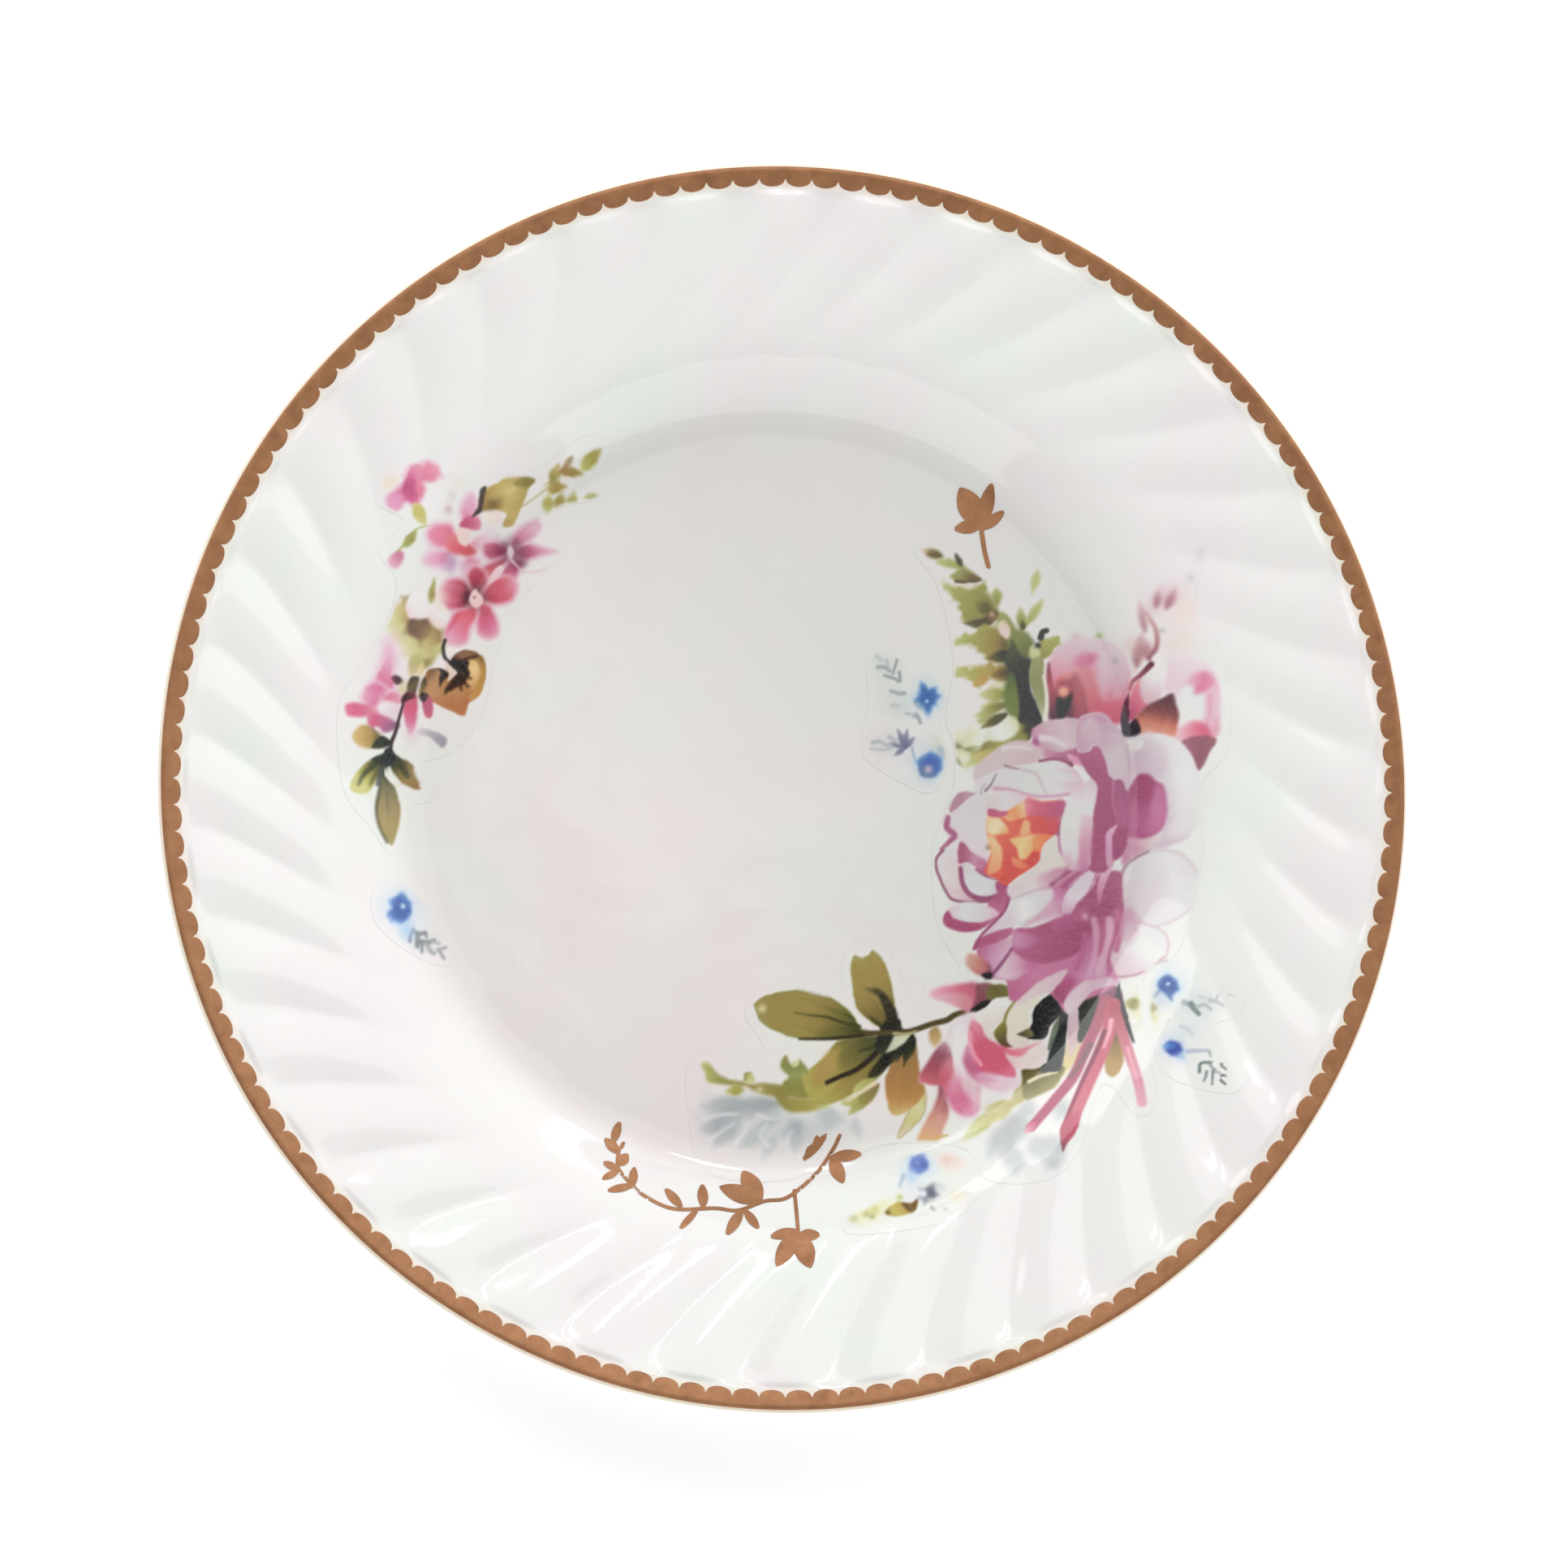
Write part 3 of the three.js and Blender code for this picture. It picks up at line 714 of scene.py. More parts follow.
def fern_dark_foot(p):
    """The dark foot of the fern, with a pale crescent along it."""
    p.petal(
        [(50, 19), (49.6, 24), (51, 27), (53.4, 26), (54.4, 20), (53.4, 16)],
        [(110, 124, 50), (98, 118, 40), (72, 92, 34)], soft=0.8,
    )
    core = [
        (58.3, 16.6), (57.2, 19.6), (55.6, 23.4), (55.2, 27), (55.8, 30), (53.4, 31), (51.6, 34.4),
        (50.6, 32.4), (49.6, 29.2), (51.4, 27.4), (52.4, 25), (53, 21),
    ]
    p.petal(
        core + [(53.2, 17), (54, 13.6), (55, 12.6), (56.2, 14.8)],
        [(12, 16, 12), (8, 12, 12), (16, 24, 20), (44, 52, 34), (84, 88, 44)], soft=0.5, tip=6,
    )
    p.petal(
        [(54.2, 12.4), (53, 15), (53, 18), (55.4, 18.4), (56, 15)],
        [(56, 46, 24), (40, 38, 20), (14, 16, 12)], soft=0.5,
    )
    p.petal(
        [(57.2, 30.4), (57.6, 34), (59.6, 35), (61.6, 35.6), (62, 34), (60.2, 32), (58.8, 30.4)],
        [OLIVE, (164, 166, 84), (172, 176, 96)], soft=0.5, ragged=0.4,
    )
    p.petal(
        [(55.2, 31), (55.6, 33.2), (57, 33.2), (57.6, 31.4), (56.8, 30)], [LIME, (212, 216, 176)],
        soft=0.5,
    )
    crescent = [
        (58.3, 16.7), (56.9, 20.4), (55.6, 24), (55.3, 27.4), (56, 30.4), (58.2, 30.2), (58.4, 27),
        (59.1, 23), (59, 19),
    ]
    p.petal(
        crescent, [(196, 198, 160), (150, 154, 104), (142, 146, 92), (156, 158, 100)], soft=0.25, tip=4,
    )
    p.stroke(
        [(58.6, 17), (59, 20), (58.9, 23.4), (58.3, 26.6)], 1.1, (232, 230, 212), soft=0.3, taper=0.4,
    )
    p.stroke([(57.7, 34.9), (58.1, 36.1), (59, 36.5)], 1.4, (36, 40, 18), taper=0.2)
    p.blot((57.1, 33.2), 0.8, BLACK, 1)


def pale_blossoms(p):
    """The white blossoms and small leaves between the fern and the peony."""
    p.petal(
        [(40, 8), (44, 12), (48, 12.6), (53, 16), (54.6, 12.4), (50, 10), (45, 8)],
        [LIME, (166, 158, 78), (150, 148, 66), (134, 130, 58)], soft=0.9, tip=3, ragged=0.5,
    )
    p.leaf((41, 7.6), (50, 9.4), 3, [LIME, (196, 178, 104), (214, 200, 150)], soft=0.9)
    p.leaf((42, 10.2), (48, 11.8), 1.4, [(98, 92, 40), (140, 124, 60), OLIVE], soft=0.6)
    p.petal(
        [(46, 13), (46.4, 15.6), (49, 17.6), (52, 17.4), (53, 15), (50.6, 12.6), (48, 12.2)],
        [(222, 220, 196), WHITE, (230, 230, 216), (218, 216, 178)], soft=0.6,
    )
    p.leaf((50.4, 18.2), (44.6, 15), 1.8, [(60, 56, 24), (76, 70, 28), (130, 128, 60)], soft=0.4)
    for root, tip, width in (
        ((41, 11), (36, 9), 3), ((41, 11.4), (38.4, 15.4), 3.2), ((42, 12), (43.6, 16.6), 3.2),
        ((41.4, 10.6), (45.4, 12.8), 3), ((41, 10.6), (40.6, 6.2), 2.8),
    ):
        p.leaf(root, tip, width, [(214, 214, 168), (230, 230, 204), WHITE], soft=0.6)
    for root, tip, width in (
        ((38.2, 11), (36.6, 16), 1.1), ((38, 11.4), (41, 10.6), 0.9), ((38.4, 9), (40.6, 6.6), 1),
        ((41, 10.2), (44.4, 11), 0.7),
    ):
        p.leaf(root, tip, width, [(104, 104, 52), (150, 152, 92)], soft=0.5, depth=0.8)
    p.blot((38, 11), 1.1, (90, 88, 46), 0.8, 1.6)
    p.blot((41.4, 6.8), 1.3, LIME, 0.5)


def bud_haze(p):
    """The soft haze, and the dull pink leaves and stalk above the two half-open flowers."""
    for centre, size, colour, depth in (
        ((84, 43.4), 3, (222, 180, 196), 0.6), ((81, 41), 2.4, (222, 190, 196), 0.5),
        ((88, 40), 5, (240, 218, 204), 0.5), ((89, 47), 1.6, MIST, 0.6),
        ((91, 52), 2.4, (210, 210, 214), 0.5), ((70.4, 35.4), 1.1, (170, 184, 130), 0.8),
        ((77.4, 33), 3, (226, 196, 190), 0.6), ((86.4, 33), 4, (240, 220, 210), 0.6),
        ((65.4, 35), 1.6, (210, 160, 160), 0.6), ((83.4, 36), 0.9, (176, 180, 176), 0.6),
        ((86, 27), 3.6, (228, 206, 214), 0.8), ((63, 30), 4, (220, 214, 214), 0.8),
    ):
        p.blot(centre, size, colour, depth)
    for root, tip, width in (
        ((78.4, 28.4), (79.2, 35.8), 2.4), ((81, 30), (79.6, 35), 2.2), ((80, 36), (78.6, 42.4), 1.4),
        ((82, 41), (82.4, 44.8), 1.6), ((84, 40.6), (86, 45), 2),
    ):
        p.leaf(
            root, tip, width, [(156, 98, 106), (182, 130, 136), (218, 182, 182)], depth=0.8, soft=0.8,
        )
    p.stroke(
        [(81.2, 30.4), (82.4, 33), (82.2, 36), (81, 38.4), (80, 40)], 1.2, (160, 100, 108),
        end_colour=(214, 170, 170), soft=0.5,
    )


def left_bud(p):
    """The deep pink flower at the left, with its dark red edge."""
    left = [
        (67, 16.6), (60, 17), (59, 24), (60, 31), (64, 34.6), (70, 35), (75, 32.4), (77.2, 27.6),
        (76.6, 22), (75, 16.6),
    ]
    p.petal(
        left, [(198, 74, 98), (214, 106, 126), (224, 156, 172), (226, 190, 200), (226, 210, 215)],
        soft=0.9, streak=0.04, tip=5,
    )
    p.petal(
        [(72, 21), (69.8, 25), (70.4, 31), (73.4, 33), (76.4, 29), (76.4, 23)],
        [(224, 160, 176), (224, 196, 205), (228, 216, 219)], soft=1.1, depth=0.8,
    )
    p.petal(
        [(69, 17), (66.6, 20), (66, 25), (66, 29), (68.4, 30), (69.8, 25), (70.4, 20)],
        [(200, 92, 108), (214, 122, 130), (224, 150, 162)], soft=1.1,
    )
    p.blot((72.8, 19.4), 3.2, (212, 92, 120), 0.8, 1.5, 0.3)
    p.petal(
        [(70.4, 27.6), (69, 29), (65.4, 28.8), (65.4, 31), (68, 31.8), (70.2, 31), (69.6, 29.4)],
        [(226, 170, 188), (212, 120, 154), (224, 150, 174)], soft=1.1,
    )
    p.blot((74, 30), 0.9, (184, 172, 176), 0.7)
    p.petal(
        [(61, 24.8), (61.4, 26.4), (64, 27.6), (65.6, 28), (65, 26.4), (62.6, 25.4)],
        [(214, 110, 118), (236, 170, 164)], soft=0.4,
    )
    maroon = [
        (60, 17), (60, 20), (60.8, 23.8), (62, 25.4), (64, 26.2), (65.4, 27.6), (66.6, 25),
        (67.4, 21.4), (67, 16.8),
    ]
    p.petal(
        maroon, [(72, 30, 50), (100, 48, 62), (160, 74, 88), (196, 112, 120)], soft=0.8, tip=5,
        streak=0.03,
    )
    p.petal(
        [(65, 17), (65, 21), (65.6, 25), (67.4, 22), (67.4, 17)],
        [(156, 66, 90), (176, 84, 96), (190, 104, 108)], soft=0.9,
    )
    p.petal(
        [(59, 18), (58.8, 24), (59.4, 29.6), (60.4, 25), (60.8, 20)],
        [(100, 44, 66), (178, 76, 84), (130, 50, 66)], soft=0.4, tip=2,
    )
    p.petal(
        [
            (62.4, 17.2), (61.3, 17.6), (61.1, 20), (61.4, 21.8), (63, 22.2), (64.3, 23.4),
            (64.6, 21.6), (63.8, 19.4),
        ],
        [BLACK, BLACK, (20, 12, 16)], soft=0.35,
    )
    p.blot((62.7, 23.4), 1.9, (172, 62, 84), 1)
    p.blot((62.7, 23.2), 1.4, (238, 166, 142), 1)
    p.blot((62.7, 23.3), 1.1, (240, 172, 148), 1)


def right_bud(p):
    """The pale flower at the right, with pink tips."""
    right = [
        (86, 13), (87, 17), (86.4, 21.4), (84.4, 23), (84.4, 27), (86.6, 30.6), (90, 30), (93.6, 27.6),
        (95, 24), (95.2, 18), (94.6, 12.8),
    ]
    p.petal(
        right, [(232, 180, 192), (232, 214, 218), (232, 210, 216), (236, 222, 226)], soft=0.8,
        streak=0.04, tip=5,
    )
    p.petal(
        [(87.2, 15.6), (86.8, 20.6), (87.6, 23.4), (90, 24), (92.4, 21.8), (92.2, 18), (90.6, 15.4)],
        [WHITE, (230, 230, 226)], soft=0.7,
    )
    p.petal(
        [
            (88.4, 24.9), (90.4, 26.8), (93, 26.6), (94.6, 24.6), (94.4, 22.4), (92, 22.2),
            (90.4, 22.2), (89.8, 24),
        ],
        [(232, 190, 206), (222, 132, 164), (232, 160, 184)], soft=0.9, tip=4,
    )
    p.petal(
        [(92.6, 22), (95, 24), (95.4, 18), (94.6, 12.6), (92.6, 12.6), (92.4, 17)],
        [(232, 190, 206), (232, 196, 208), (226, 150, 174)], soft=0.9, tip=3,
    )
    p.stroke([(93.4, 21.4), (93.4, 18), (92.8, 15)], 1, (224, 150, 174), soft=0.7, depth=0.6)
    p.petal(
        [(87, 13), (88, 15.4), (90.6, 16.4), (92.8, 15), (93.4, 12.4), (90, 12)],
        [(236, 196, 202), (228, 132, 152), (210, 86, 118)], soft=0.9, tip=4,
    )


def bud_stems(p):
    """The brown stem, leaf and points between and under the two flowers."""
    p.petal(
        [
            (77, 17), (77, 20.5), (77.6, 24), (79.4, 26), (80.4, 24), (80.2, 21.6), (81, 20.6),
            (78.8, 18.2),
        ],
        [(190, 84, 116), (222, 124, 146), (236, 162, 170)], soft=0.5, tip=3,
    )
    p.petal(
        [
            (79.6, 22), (79.4, 25.4), (81.4, 28.2), (81.6, 30.6), (83.4, 31), (84.4, 28.2),
            (84.2, 24.4), (83, 21.6), (81.2, 20.6),
        ],
        [(222, 190, 196), WHITE, WHITE], soft=0.5, tip=4,
    )
    p.stroke(
        [(81.4, 29), (79.4, 26.9), (77.8, 25.6), (77, 23.6)], 1.3, (104, 42, 60),
        end_colour=(206, 130, 142), soft=0.3,
    )
    p.blot((78.3, 27.7), 0.7, (240, 214, 206), 1)
    leaf = [
        (85.8, 22.5), (84, 21.7), (81.6, 20.7), (79.8, 19.4), (78, 17.4), (79, 15), (79.4, 13.9),
        (83, 14), (86.2, 13.4), (87, 15.6), (87.2, 18), (86.6, 20.2),
    ]
    p.petal(
        leaf, [(90, 52, 62), (104, 58, 64), (136, 74, 72), (204, 124, 104), (228, 164, 142)], soft=0.5,
        tip=7, streak=0.04,
    )
    calyx = [
        (76.9, 22.9), (75.6, 20), (75.1, 17.4), (75.3, 14.4), (75.1, 13.3), (75.8, 12.2), (78.9, 13.6),
        (79.5, 15.4), (78.4, 17.6), (77, 16.4), (77, 19),
    ]
    p.petal(
        calyx, [(120, 54, 76), (84, 36, 54), (48, 40, 54), (52, 46, 58)], soft=0.3, tip=5, streak=0.03,
    )
    point = [
        (87.8, 11.9), (89, 12.7), (90.8, 13.1), (92.8, 13), (94.8, 12.1), (93.6, 9.6), (92.2, 6.7),
        (91.1, 5.5), (90.5, 6.4), (89.9, 8.6), (88.8, 10.2),
    ]
    p.petal(point, [(170, 110, 130), (150, 92, 108), (158, 104, 110)], soft=0.4, tip=4)


def peony_outer_petals(p):
    """The peony's outer petals, above and at the right."""
    p.petal(
        [(55.6, 13.6), (56.6, 15.6), (60, 17), (66, 17.2), (66.6, 12), (64, 8.4), (58, 8)],
        [(200, 140, 167), (208, 180, 187), DUSK, (206, 176, 185)], soft=0.4, tip=3,
    )
    p.stroke([(57.8, 13), (60, 12.8), (63, 11.4)], 1.5, (226, 216, 220), soft=0.6)
    p.leaf(
        (56.2, 10.4), (56.8, 13.4), 1.6, [(196, 120, 158), (170, 84, 136), (190, 120, 154)], soft=0.4,
    )
    upper = [
        (73, -9), (76, 4), (75.4, 12.6), (77.6, 13.6), (82, 14.4), (87, 12.4), (90.2, 8), (91.8, 1),
        (91, -5), (88, -9.6),
    ]
    p.petal(
        upper + [(80, -11)],
        [(206, 150, 177), (214, 192, 203), (216, 198, 207), (226, 220, 222), (232, 230, 228)], soft=0.5,
        tip=7,
    )
    p.petal(
        [(78, 5), (78, 11.6), (81, 12.8), (84.6, 11), (85, 6), (82, 4)],
        [(216, 190, 201), (212, 190, 203), (222, 208, 211)], soft=1, depth=0.7,
    )
    p.petal([(76.4, 11), (76.8, 12.8), (80, 12.6), (79, 10.6)], [(226, 224, 214), WHITE], soft=0.6)
    p.stroke([(76.4, 11.6), (76.9, 8), (76.7, 4), (75.8, 1)], 0.7, (196, 160, 177), soft=0.5, depth=0.7)
    p.petal(
        [(85, -8), (87, -2), (86.4, 6), (89.4, 5), (91, -2), (89.6, -7.6)], [PALE, WHITE], soft=1,
        depth=0.8,
    )
    lobe = [
        (76, -9), (76, -3), (76.9, 1.8), (77.8, 3.6), (79.4, 5.4), (81.2, 5.2), (82.8, 3.8),
        (84.2, 2.6), (84.7, -0.6), (84.8, -3.4), (83.6, -7), (80.8, -8.7),
    ]
    p.petal(
        lobe, [(182, 96, 136), (190, 108, 148), (188, 104, 142), WINE, (172, 88, 122)], soft=0.5, tip=4,
    )
    p.petal(
        [(82, 2.4), (84.2, 2.4), (84.8, -3), (83.4, -6.6), (80, -7.6), (81.4, -3)],
        [(196, 118, 156), (204, 128, 166), (196, 112, 152)], soft=1, depth=0.9,
    )
    p.petal(
        [(78.4, 0), (79, 4.6), (81.4, 4.8), (82.2, 1), (80.4, -1.6)], [(178, 90, 130), (168, 82, 116)],
        soft=0.8, depth=0.8,
    )
    p.petal(
        [(76, -8.8), (80.6, -8.8), (84, -7.4), (82, -10.4), (78, -12.8), (75.4, -14.4)],
        [(206, 140, 171), (228, 192, 199), PALE], soft=0.7,
    )
    middle = [
        (75, -25), (74.8, -17), (77, -13.4), (80.4, -11.4), (84, -11), (88, -12.4), (91.2, -17),
        (90.4, -23), (87, -26.6), (81, -28.8),
    ]
    p.petal(
        middle + [(76, -29)],
        [(220, 186, 199), (232, 224, 226), (232, 222, 226), (232, 228, 228), (228, 218, 222)],
        edge=(216, 198, 201), rim=1, soft=0.5, tip=6,
    )
    p.petal(
        [(76, -26), (77.4, -18), (80, -14), (84, -15), (85, -21), (81, -26)],
        [(222, 204, 207), (230, 216, 222), (232, 224, 228)], soft=1.2, depth=0.7,
    )
    p.stroke(
        [(75.2, -16.6), (76.2, -14.6), (78.4, -12.8), (81, -11.5)], 0.6, (160, 124, 136), soft=0.4,
        depth=0.8, taper=0.2,
    )


def peony_lower_petals(p):
    """The lowest petals, and the deep pink ones below the heart."""
    lowest = [
        (71.8, -38.9), (71, -33), (74, -28), (79, -27), (83.8, -29.2), (84.7, -33), (82.6, -36.8),
        (77, -39.2),
    ]
    p.petal(
        lowest, [(222, 190, 201), (226, 204, 209), WHITE, (230, 226, 226)], edge=(216, 184, 191),
        rim=0.7, soft=0.35, tip=4,
    )
    p.stroke(
        [(72.2, -38.8), (76.4, -38.8), (80.4, -37.6), (83.4, -35)], 0.5, (176, 120, 140), depth=0.7,
    )
    p.stroke([(71.8, -38.6), (72, -35), (72.8, -31)], 0.5, (160, 80, 120), depth=0.6)
    foot = [
        (70, -26), (56, -31), (47, -33.4), (43.6, -33.6), (46.4, -38.8), (50, -40), (50.8, -44),
        (53.4, -44), (58, -42), (61, -44), (63, -46.6), (66, -44.4),
    ]
    p.petal(
        foot + [(73.8, -40.6), (72.6, -34), (75.6, -26)],
        [(190, 104, 144), (198, 120, 158), (206, 130, 164), (190, 100, 140)], soft=0.4, tip=6,
    )
    p.petal(
        [(44, -33.4), (47, -31.6), (51, -30.6), (51.6, -33.4), (49, -36), (46.6, -37.6)],
        [(190, 100, 142), (206, 146, 179), (216, 176, 195)], soft=0.4, tip=4,
    )
    p.petal(
        [(46.6, -38.6), (49, -36.4), (51.2, -33.4), (55, -35.4), (57, -36.6), (54, -38.6), (51, -39.8)],
        [(216, 180, 199), (224, 196, 207), (218, 170, 193), (200, 120, 158)], soft=0.5, tip=3,
    )
    p.stroke([(51.4, -32.8), (49, -36.2), (47, -38.6)], 0.6, (150, 84, 124), soft=0.3, taper=-0.4)
    p.petal(
        [
            (63.4, -37.2), (58.6, -39.2), (54.6, -42.2), (51.4, -46), (54.6, -44.2), (58, -42.8),
            (60.4, -42), (62.4, -39.6),
        ],
        [(222, 186, 201), (226, 204, 207), (228, 214, 212)], soft=0.35, tip=3,
    )
    p.petal(
        [
            (60.3, -42.4), (62, -40), (64.6, -36.8), (67, -37.2), (65.4, -40), (63.4, -42.6),
            (62.4, -44.6),
        ],
        [WINE, (184, 94, 134), (200, 124, 158)], soft=0.35, tip=2,
    )
    p.petal(
        [
            (72.4, -39), (67.6, -39.6), (64.4, -42), (62.6, -44.6), (63.4, -47), (65.8, -45.4),
            (69, -42), (74, -40.5),
        ],
        [(216, 180, 197), (222, 196, 205), (224, 208, 214)], soft=0.35, tip=3,
    )
    p.petal(
        [(66, -34), (64, -38), (67, -39.6), (71.6, -38.6), (71.6, -35), (69, -33)],
        [(196, 116, 156), (206, 140, 175), (214, 168, 191)], soft=0.7,
    )
    mass = [
        (51.8, -28.9), (56, -28.2), (60, -26.6), (63.4, -25.2), (66, -22.4), (69, -19), (70.4, -16.6),
        (74.8, -15.8), (75.4, -20), (75.2, -26),
    ]
    p.petal(
        mass + [
            (70, -27.4), (68, -30.6), (66, -33.4), (62, -35.2), (57, -36.2), (53, -34.6), (51.6, -33),
        ],
        [(184, 100, 138), (172, 88, 122), (166, 80, 118), (168, 82, 116), (176, 90, 130)], soft=0.45,
        tip=8,
    )
    p.petal(
        [(51.4, -29.6), (54, -29.4), (57.6, -30.8), (55, -32.6), (52, -32.8)],
        [(208, 150, 183), (200, 128, 162), (184, 100, 140)], soft=0.6,
    )
    p.petal(
        [(60, -26.8), (64, -24.6), (68, -23.8), (66, -27), (61, -28.6)],
        [(186, 100, 140), (178, 92, 130)], soft=0.9, depth=0.8,
    )
    p.blot((67.3, -25.7), 1.1, (222, 170, 193), 0.85)
    for points, width, colour in (
        ([(69.2, -26.4), (69.7, -30), (69.4, -34), (68, -38)], 1.5, (216, 164, 189)),
        ([(72.6, -26.6), (72.6, -30), (71.6, -34), (70, -38)], 1.9, (226, 180, 199)),
        ([(71, -26), (71.1, -30), (70.2, -34)], 1, (184, 96, 136)),
        ([(74.6, -25), (75, -29), (74, -33)], 2, (200, 112, 150)),
        ([(67.4, -30), (66.6, -34), (65.4, -37)], 1.6, (190, 104, 146)),
        ([(73.6, -31), (72.6, -34), (72.2, -37.6)], 0.7, (190, 110, 144)),
    ):
        p.stroke(points, width, colour, soft=0.5, depth=0.85, taper=0.4)
    p.petal(
        [(75.4, -25), (77.6, -24), (79, -28), (77, -32), (75, -30)], [(214, 160, 187), (226, 200, 209)],
        soft=0.9, depth=0.8,
    )


def peony_swept_petals(p):
    """The broad pale petal that sweeps from the centre to the lower left, and its deep pink folds."""
    wedge = [
        (42.9, -33.3), (43.7, -31), (45.6, -29.9), (48.6, -28.7), (51.3, -28.3), (51.1, -29.9),
        (48.6, -31.4), (45.6, -32.4),
    ]
    p.petal(wedge, [(172, 82, 118), (180, 90, 128), (194, 112, 150)], soft=0.3, tip=4)
    sweep = [
        (71, -14.4), (66, -14), (61, -16.4), (56, -18.8), (50.4, -20.4), (49.6, -24), (46.4, -27.8),
        (43.8, -30.8), (47, -29.3),
    ]
    sweep_tones = [
        (204, 128, 162), (206, 150, 173), (222, 208, 211), COOL, (226, 214, 220), (214, 170, 191),
    ]
    p.petal(
        sweep + [(51.4, -28.2), (56, -27.6), (60, -26), (63.4, -24.6), (66.6, -21.4), (70, -17)],
        sweep_tones, soft=0.35, tip=7,
    )
    p.petal(
        [
            (58, -20), (61, -18.6), (65, -16.2), (64, -19.6), (62.2, -22.4), (62, -25.4), (58, -26.6),
            (54, -27.8), (58, -24),
        ],
        [(214, 168, 189), (200, 124, 162), (190, 106, 144), (206, 140, 171)], soft=0.9, tip=2,
        depth=0.9,
    )
    p.petal(
        [(50.6, -25), (54, -22), (59.6, -19.8), (60, -22), (56, -25.6), (50.6, -27.6), (48, -28)],
        [(222, 210, 216), WHITE, (222, 220, 222), (226, 214, 218)], soft=0.6, tip=3,
    )
    p.stroke([(51.6, -22), (54, -21), (58, -19.6)], 0.5, (190, 150, 160), soft=0.4, depth=0.6)
    p.petal(
        [
            (69.2, -15.2), (69.6, -17), (68, -20.4), (65.8, -22.8), (64.2, -25.2), (61.9, -25),
            (62.3, -21.8), (64, -19.2), (66.4, -16.6),
        ],
        [(226, 206, 213), (222, 210, 217), (226, 214, 220), (212, 168, 191)], edge=(196, 120, 160),
        rim=0.5, soft=0.3, tip=4,
    )
    p.stroke([(60, -18.7), (62.2, -17), (65.2, -15.1)], 1.1, (146, 68, 106), soft=0.35, depth=0.9)
    p.stroke(
        [(62.6, -19.4), (65, -17), (67.6, -15.4), (70.4, -14.4)], 0.9, (170, 86, 126), soft=0.35,
        depth=0.85,
    )
    p.petal(
        [(70.4, -22.6), (70, -19), (71.6, -14.4), (73.6, -12.6), (73, -15.6), (71.6, -19)],
        [(204, 124, 158), (224, 172, 193), (222, 180, 197)], soft=0.35, tip=3,
    )


def peony_middle_petals(p):
    """The upright petals at the right of the heart."""
    column = [
        (64.9, 10.5), (66.6, 11), (68.2, 10.2), (69.2, 11.4), (70.7, 11.2), (71.9, 8.4), (72.7, 5),
        (74.4, 4.8), (75.9, 3.6), (76.8, 0.6), (76.8, -6),
    ]
    p.petal(
        column + [
            (76, -11), (74.6, -13), (73, -14), (71.6, -16), (68, -15.2), (67.8, -8), (69, -2),
            (69.4, 3), (67, 6.6),
        ],
        [(180, 92, 132), (170, 82, 120), (166, 78, 116), (172, 84, 122), (170, 80, 118)], soft=0.35,
        tip=14,
    )
    p.petal(
        [(74, 4.2), (75.8, 3.4), (76.8, 0), (76.6, -5.6), (74.8, -5.6), (74, -1)],
        [(156, 84, 124), (178, 92, 134), (188, 102, 144)], soft=0.5, depth=0.8,
    )
    p.stroke([(73.6, 4), (73.4, 0), (74.4, -5)], 0.8, (192, 118, 154), soft=0.4, depth=0.7)
    p.petal(
        [(72, -7.4), (74.3, -5.7), (73.4, -8), (73.2, -12), (73.4, -14.6), (72, -14.4), (71.8, -10)],
        [(228, 176, 205), (216, 160, 193), (214, 158, 185)], soft=0.3, tip=4,
    )
    p.petal(
        [(73.4, -8), (76.2, -7.4), (76.2, -10.4), (74.8, -12.8), (73.6, -11)], [WINE, (164, 74, 120)],
        soft=0.35,
    )
    petal = [
        (65.6, 10.4), (65, 14), (66, 17.4), (68.6, 18.6), (71.4, 18.6), (73.4, 16.6), (75.6, 14.2),
        (76.6, 9), (77, 4), (76.4, 1.8), (75.4, 4), (73.2, 4.4), (71.7, 8.6),
    ]
    p.petal(
        petal + [(70.4, 11.2), (69, 11.4), (68, 10.1)],
        [(204, 160, 181), (208, 180, 193), (214, 200, 207), (214, 196, 205), (220, 180, 195)],
        edge=(214, 190, 199), rim=0.7, soft=0.3, tip=9,
    )
    p.petal(
        [(66.4, 11.4), (66.6, 16), (69, 17.6), (71, 14), (70, 11.6)],
        [(204, 168, 185), (212, 192, 199), (216, 202, 207)], soft=1, depth=0.7,
    )
    p.petal(
        [(60.2, -2.4), (62.8, -1.4), (62.2, -6), (62, -10), (63.4, -15.2), (61.4, -12.6), (60.8, -8)],
        [(176, 90, 130), (160, 88, 130), (200, 140, 171), (224, 200, 207)], soft=0.4, tip=4,
    )
    tongue = [
        (68, 4), (66.4, 1.8), (64, 0.2), (62.8, -2.2), (62, -6), (62, -10), (62.8, -14), (64, -15.8),
        (68.2, -14.8), (68.3, -10), (69.2, -3), (70, 1.6), (69.6, 3.6),
    ]
    p.petal(
        tongue, [(222, 200, 207), (228, 224, 224), (228, 226, 222), (228, 222, 222), (214, 160, 181)],
        soft=0.3, tip=7,
    )
    p.petal(
        [(66.6, -4), (68.8, -5), (68.2, -14.6), (66, -15.4), (66, -10)],
        [(228, 202, 209), (218, 162, 183), (206, 136, 170)], soft=0.7,
    )


